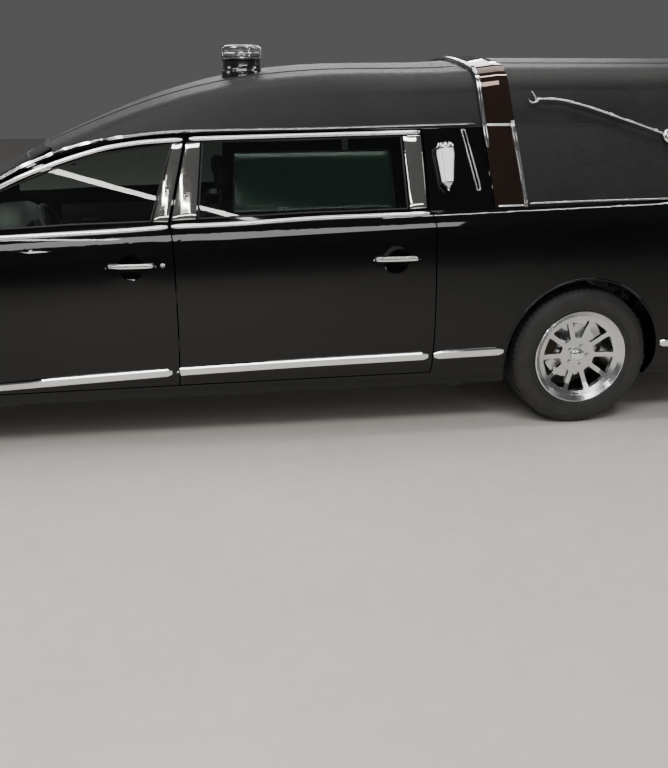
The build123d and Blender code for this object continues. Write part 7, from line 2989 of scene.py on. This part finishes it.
@dataclass
class EngineBay:
    """Engine cover, radiator, battery, air box, hoses and the bonnet's pad."""

    cover_z: float = 0.742
    cover_ribs: int = 7
    oil_cap: Point2 = (2.400, 0.150)
    radiator_x: float = 2.860
    radiator_half: float = 0.330
    radiator_z: Point2 = (0.400, 0.680)
    radiator_slats: int = 21
    fan_z: float = 0.540
    fan_blades: int = 7
    battery_place: Point2 = (1.835, -0.420)
    air_box_place: Point2 = (2.560, 0.420)
    intake: tuple[Point3, ...] = (
        (2.500, 0.350, 0.680), (2.470, 0.300, 0.730), (2.430, 0.230, 0.775), (2.380, 0.170, 0.780),
    )
    upper_hose: tuple[Point3, ...] = (
        (2.480, -0.150, 0.700), (2.560, -0.180, 0.710), (2.680, -0.240, 0.700), (2.790, -0.310, 0.660),
        (2.870, -0.350, 0.640),
    )
    lower_hose: tuple[Point3, ...] = (
        (2.480, 0.160, 0.420), (2.580, 0.190, 0.400), (2.700, 0.260, 0.410), (2.800, 0.330, 0.430),
        (2.870, 0.352, 0.440),
    )
    pad_x: Point2 = (1.960, 2.880)
    pad_half: float = 0.500

    def cover(self) -> None:
        """Lay the ribbed engine cover and its oil cap."""
        z = self.cover_z
        cover = pillow_at((2.235, 0.0, z + 0.022), (0.235, 0.205, 0.026), 0.020, 18, 0.010)
        for k in range(self.cover_ribs):
            y = -0.150 + 0.05 * k
            cover.join(bent(
                pillow((0.170, 0.008, 0.006), 0.005, 8),
                lambda p, y=y: at(2.215 + p.x, y + p.y, z + 0.056 - 0.10 * p.x * p.x - 0.20 * y * y + p.z),
            ))
        cap = turned(
            [(0.0, 0.020), (0.016, 0.020), (0.022, 0.017), (0.023, 0.004), (0.018, -0.006)],
            at(*self.oil_cap, z + 0.044), UP, 32, lambda a, h: 1 + 0.04 * math.cos(12 * a),
        )
        Piece("engine_cover", TRIM_PLASTIC, "body", "dash_plastic").place(cover)
        Piece("oil_cap", SEAL, "body", "rubber").place(cap)

    def radiator(self) -> None:
        """Stand the radiator's slatted core between its tanks."""
        x, half = self.radiator_x, self.radiator_half
        low, high = self.radiator_z
        core = brick((x, -half, low), (x + 0.030, half, high), 0.004)
        inner = half - 0.008
        for k in range(self.radiator_slats):
            z = low + 0.012 + 0.256 * k / (self.radiator_slats - 1)
            core.join(brick((x - 0.004, -inner, z - 0.0022), (x + 0.034, inner, z + 0.0022), 0.0008))
        Piece("radiator_core", CAST_ALLOY, "body", "alloy").place(core)
        tank = pillow_at((x + 0.015, 0.352, 0.540), (0.026, 0.028, 0.150), 0.018, 8)
        Piece("radiator_tank", TRIM_PLASTIC, "body", "dash_plastic").place_pair(tank)

    def fan(self) -> None:
        """Hang the fan and its ring behind the radiator."""
        middle = Seat(at(self.radiator_x - 0.010, 0.0, self.fan_z), BEHIND)
        fan = boss([(0.150, 0.0), (0.148, 0.034), (0.142, 0.036), (0.140, 0.004), (0.150, 0.0)], middle, 64)
        fan.join(boss([(0.0, 0.030), (0.028, 0.028), (0.032, 0.010), (0.0, 0.008)], middle, 32))
        thick = at(0.002, 0, 0)
        for k in range(self.fan_blades):
            angle = 2 * math.pi * k / self.fan_blades
            spoke = at(0, math.cos(angle), math.sin(angle))
            turn = at(0, -math.sin(angle), math.cos(angle))
            rings = []
            for r, wide, lean in ((0.028, 0.018, 0.010), (0.080, 0.026, 0.009), (0.134, 0.030, 0.007)):
                centre = at(self.radiator_x - 0.028, 0.0, self.fan_z) + spoke * r
                side = turn * wide
                rings.append([
                    centre + side + at(lean, 0, 0), centre + thick, centre - side - at(lean, 0, 0),
                    centre - side - at(lean + 0.002, 0, 0), centre - thick,
                    centre + side + at(lean - 0.002, 0, 0),
                ])
            fan.join(tube_of(rings))
        Piece("radiator_fan", TRIM_PLASTIC, "body", "dash_plastic").place(fan)

    def battery(self) -> None:
        """Set the battery on its tray."""
        x, y = self.battery_place
        battery = pillow_at((x, y, 0.640), (0.090, 0.075, 0.075), 0.006, 8)
        for hand in (-1, 1):
            post = [(0.0, 0.020), (0.008, 0.020), (0.009, 0.0)]
            battery.join(turned(post, at(x + 0.055 * hand, y + 0.035, 0.715), UP, 20))
        battery.join(pillow_at((x, y, 0.560), (0.094, 0.079, 0.008), 0.004, 8))
        Piece("battery", BEACON_BLACK, "body", "dash_plastic").place(battery)

    def air_box(self) -> None:
        """Set the ribbed air box and its intake."""
        x, y = self.air_box_place
        box = pillow_at((x, y, 0.660), (0.110, 0.085, 0.060), 0.020, 12, 0.008)
        for k in range(5):
            box.join(pillow_at((x, y - 0.050 + 0.025 * k, 0.724), (0.095, 0.005, 0.005), 0.004, 6))
        box.join(rod([at(*p) for p in self.intake], 0.034, 20))
        Piece("air_box", TRIM_PLASTIC, "body", "dash_plastic").place(box)

    def hoses(self) -> None:
        """Run both coolant hoses."""
        hoses = Shape()
        for path in (self.upper_hose, self.lower_hose):
            hoses.join(rod([at(*p) for p in path], 0.020, 16))
        Piece("coolant_hoses", SEAL, "body", "rubber").place(hoses)

    def bonnet_pad(self) -> None:
        """Line the bonnet's underside."""
        skin = Skin("hood")
        grid = []
        for x in spread(*self.pad_x, 23):
            row = []
            for k in range(25):
                y = self.pad_half * (2 * k / 24 - 1)
                seat = skin.cast(at(x, y, 0.45), UP)
                row.append(Seat(at(x, y, seat.point.z if seat else 0.860), DOWN))
            grid.append(row)
        Piece("bonnet_pad", CARPET, "hood", "vinyl").place(slab(grid, 0.008, 0.004, -0.001))

    def build(self) -> None:
        """Fill the engine bay."""
        self.cover()
        self.radiator()
        self.fan()
        self.battery()
        self.air_box()
        self.hoses()
        self.bonnet_pad()
        LOG.info("engine bay: cover, radiator, battery and hoses")


@dataclass
class Studio:
    """The pale floor, the soft lights and the photograph's camera."""

    eye: Point3 = (0.3368, 4.9878, 1.5987)
    yaw: float = 0.1476
    pitch: float = 0.3128
    roll: float = -0.0028
    focal_pixels: float = 905.0
    frame_pixels: float = 668.0
    sensor: float = 36.0
    floor_half: float = 30.0
    tubes: tuple[tuple[str, Point3, Point3, float], ...] = (
        ("left_tube", (1.75, 3.10, 3.0), (-0.45, 6.60, 3.0), 55.0),
        ("shoulder_tube", (1.95, 1.25, 3.0), (1.00, 2.22, 3.0), 16.0),
        ("roof_tube", (-3.2, 0.9, 3.4), (-0.9, 1.1, 3.4), 22.0),
        ("right_tube", (3.0, -3.2, 3.1), (-3.0, -3.6, 3.1), 60.0),
    )
    tube_width: float = 0.13

    def camera(self) -> None:
        """Stand the camera where the photograph was taken from."""
        forward = at(
            -math.sin(self.yaw) * math.cos(self.pitch), -math.cos(self.yaw) * math.cos(self.pitch),
            -math.sin(self.pitch),
        )
        level = forward.cross(UP).normalized()
        upright = level.cross(forward)
        right = level * math.cos(self.roll) + upright * math.sin(self.roll)
        up = upright * math.cos(self.roll) - level * math.sin(self.roll)
        data = bpy.data.cameras.new("photo_camera")
        data.sensor_fit = "HORIZONTAL"
        data.sensor_width = self.sensor
        data.lens = self.focal_pixels / self.frame_pixels * self.sensor
        data.clip_end = 200.0
        camera = bpy.data.objects.new("photo_camera", data)
        turn = Matrix((right, up, -forward)).transposed().to_4x4()
        camera.matrix_world = Matrix.Translation(self.eye) @ turn
        bpy.context.scene.collection.objects.link(camera)
        bpy.context.scene.camera = camera

    def floor(self) -> None:
        """Lay a pale floor."""
        half = self.floor_half
        mesh = bpy.data.meshes.new("floor")
        mesh.from_pydata(
            [(-half, -half, 0), (half, -half, 0), (half, half, 0), (-half, half, 0)], [], [(0, 1, 2, 3)]
        )
        mesh.materials.append(CONCRETE.material())
        thing = bpy.data.objects.new("floor", mesh)
        bpy.context.scene.collection.objects.link(thing)

    def lamp(self, name: str, place: Point3, size: Point2, power: float, colour: Colour = (1, 1, 1)) -> None:
        """Hang a soft panel light that faces the car.

        Args:
            name: The light's name.
            place: Where it hangs.
            size: Its two sides.
            power: Its power in watts.
            colour: Its colour.
        """
        data = bpy.data.lights.new(name, "AREA")
        data.shape = "RECTANGLE"
        data.size, data.size_y = size
        data.energy = power
        data.color = colour
        thing = bpy.data.objects.new(name, data)
        thing.location = place
        aim = at(-0.2, 0, 0.8) - Vector(place)
        thing.rotation_euler = aim.to_track_quat("-Z", "Y").to_euler()
        bpy.context.scene.collection.objects.link(thing)

    def tube(self, name: str, start: Vector, end: Vector, power: float) -> None:
        """Hang a long narrow light that faces down.

        Args:
            name: The light's name.
            start: One end.
            end: The other end.
            power: Its power in watts.
        """
        data = bpy.data.lights.new(name, "AREA")
        data.shape = "RECTANGLE"
        data.size = (end - start).length
        data.size_y = self.tube_width
        data.energy = power
        data.color = (1.0, 0.985, 0.95)
        thing = bpy.data.objects.new(name, data)
        along = (end - start).normalized()
        thing.matrix_world = Matrix.Translation((start + end) / 2) @ Matrix((
            along, UP.cross(along), UP
        )).transposed().to_4x4()
        bpy.context.scene.collection.objects.link(thing)

    def build(self) -> None:
        """Set up the floor, the lights, the surroundings and the camera."""
        self.floor()
        self.lamp("ceiling_panel", (0.0, -0.8, 6.2), (9.0, 3.0), 200.0)
        self.lamp("low_panel", (-0.6, 8.4, 2.5), (8.0, 0.22), 70.0)
        self.lamp("left_panel", (0.5, 5.6, 7.2), (7.0, 2.0), 330.0)
        self.lamp("right_panel", (-2.0, -7.5, 5.6), (7.0, 2.5), 240.0)
        self.lamp("front_panel", (9.0, 0.5, 4.4), (3.0, 2.5), 150.0)
        self.lamp("rear_panel", (-9.0, 1.0, 4.4), (3.0, 2.5), 150.0)
        for name, start, end, power in self.tubes:
            self.tube(name, Vector(start), Vector(end), power)
        world = bpy.data.worlds.new("studio")
        world.use_nodes = True
        world.node_tree.nodes["Background"].inputs["Color"].default_value = (0.60, 0.60, 0.61, 1.0)
        world.node_tree.nodes["Background"].inputs["Strength"].default_value = 0.16
        bpy.context.scene.world = world
        self.camera()
        LOG.info("studio: floor, lights and camera")


def main() -> None:
    """Dress the frame and build the car's trim, sub-assembly by sub-assembly."""
    logging.basicConfig(level=logging.INFO, format="%(name)s: %(message)s")
    Studio().build()
    dress_frame()
    SideTrim().build()
    RoofTrim().build()
    QuarterTrim().build()
    LandauBars().build()
    DoorFittings().build()
    RoofBeacon().build()
    Mirrors().build()
    Wheels().build()
    FrontEnd().build()
    Windscreen().build()
    TailEnd().build()
    ArchLips().build()
    FrontSeats().build()
    CabinTrim().build()
    DoorCards().build()
    LoadBay().build()
    Underside().build()
    EngineBay().build()


if __name__ == "__main__":
    main()
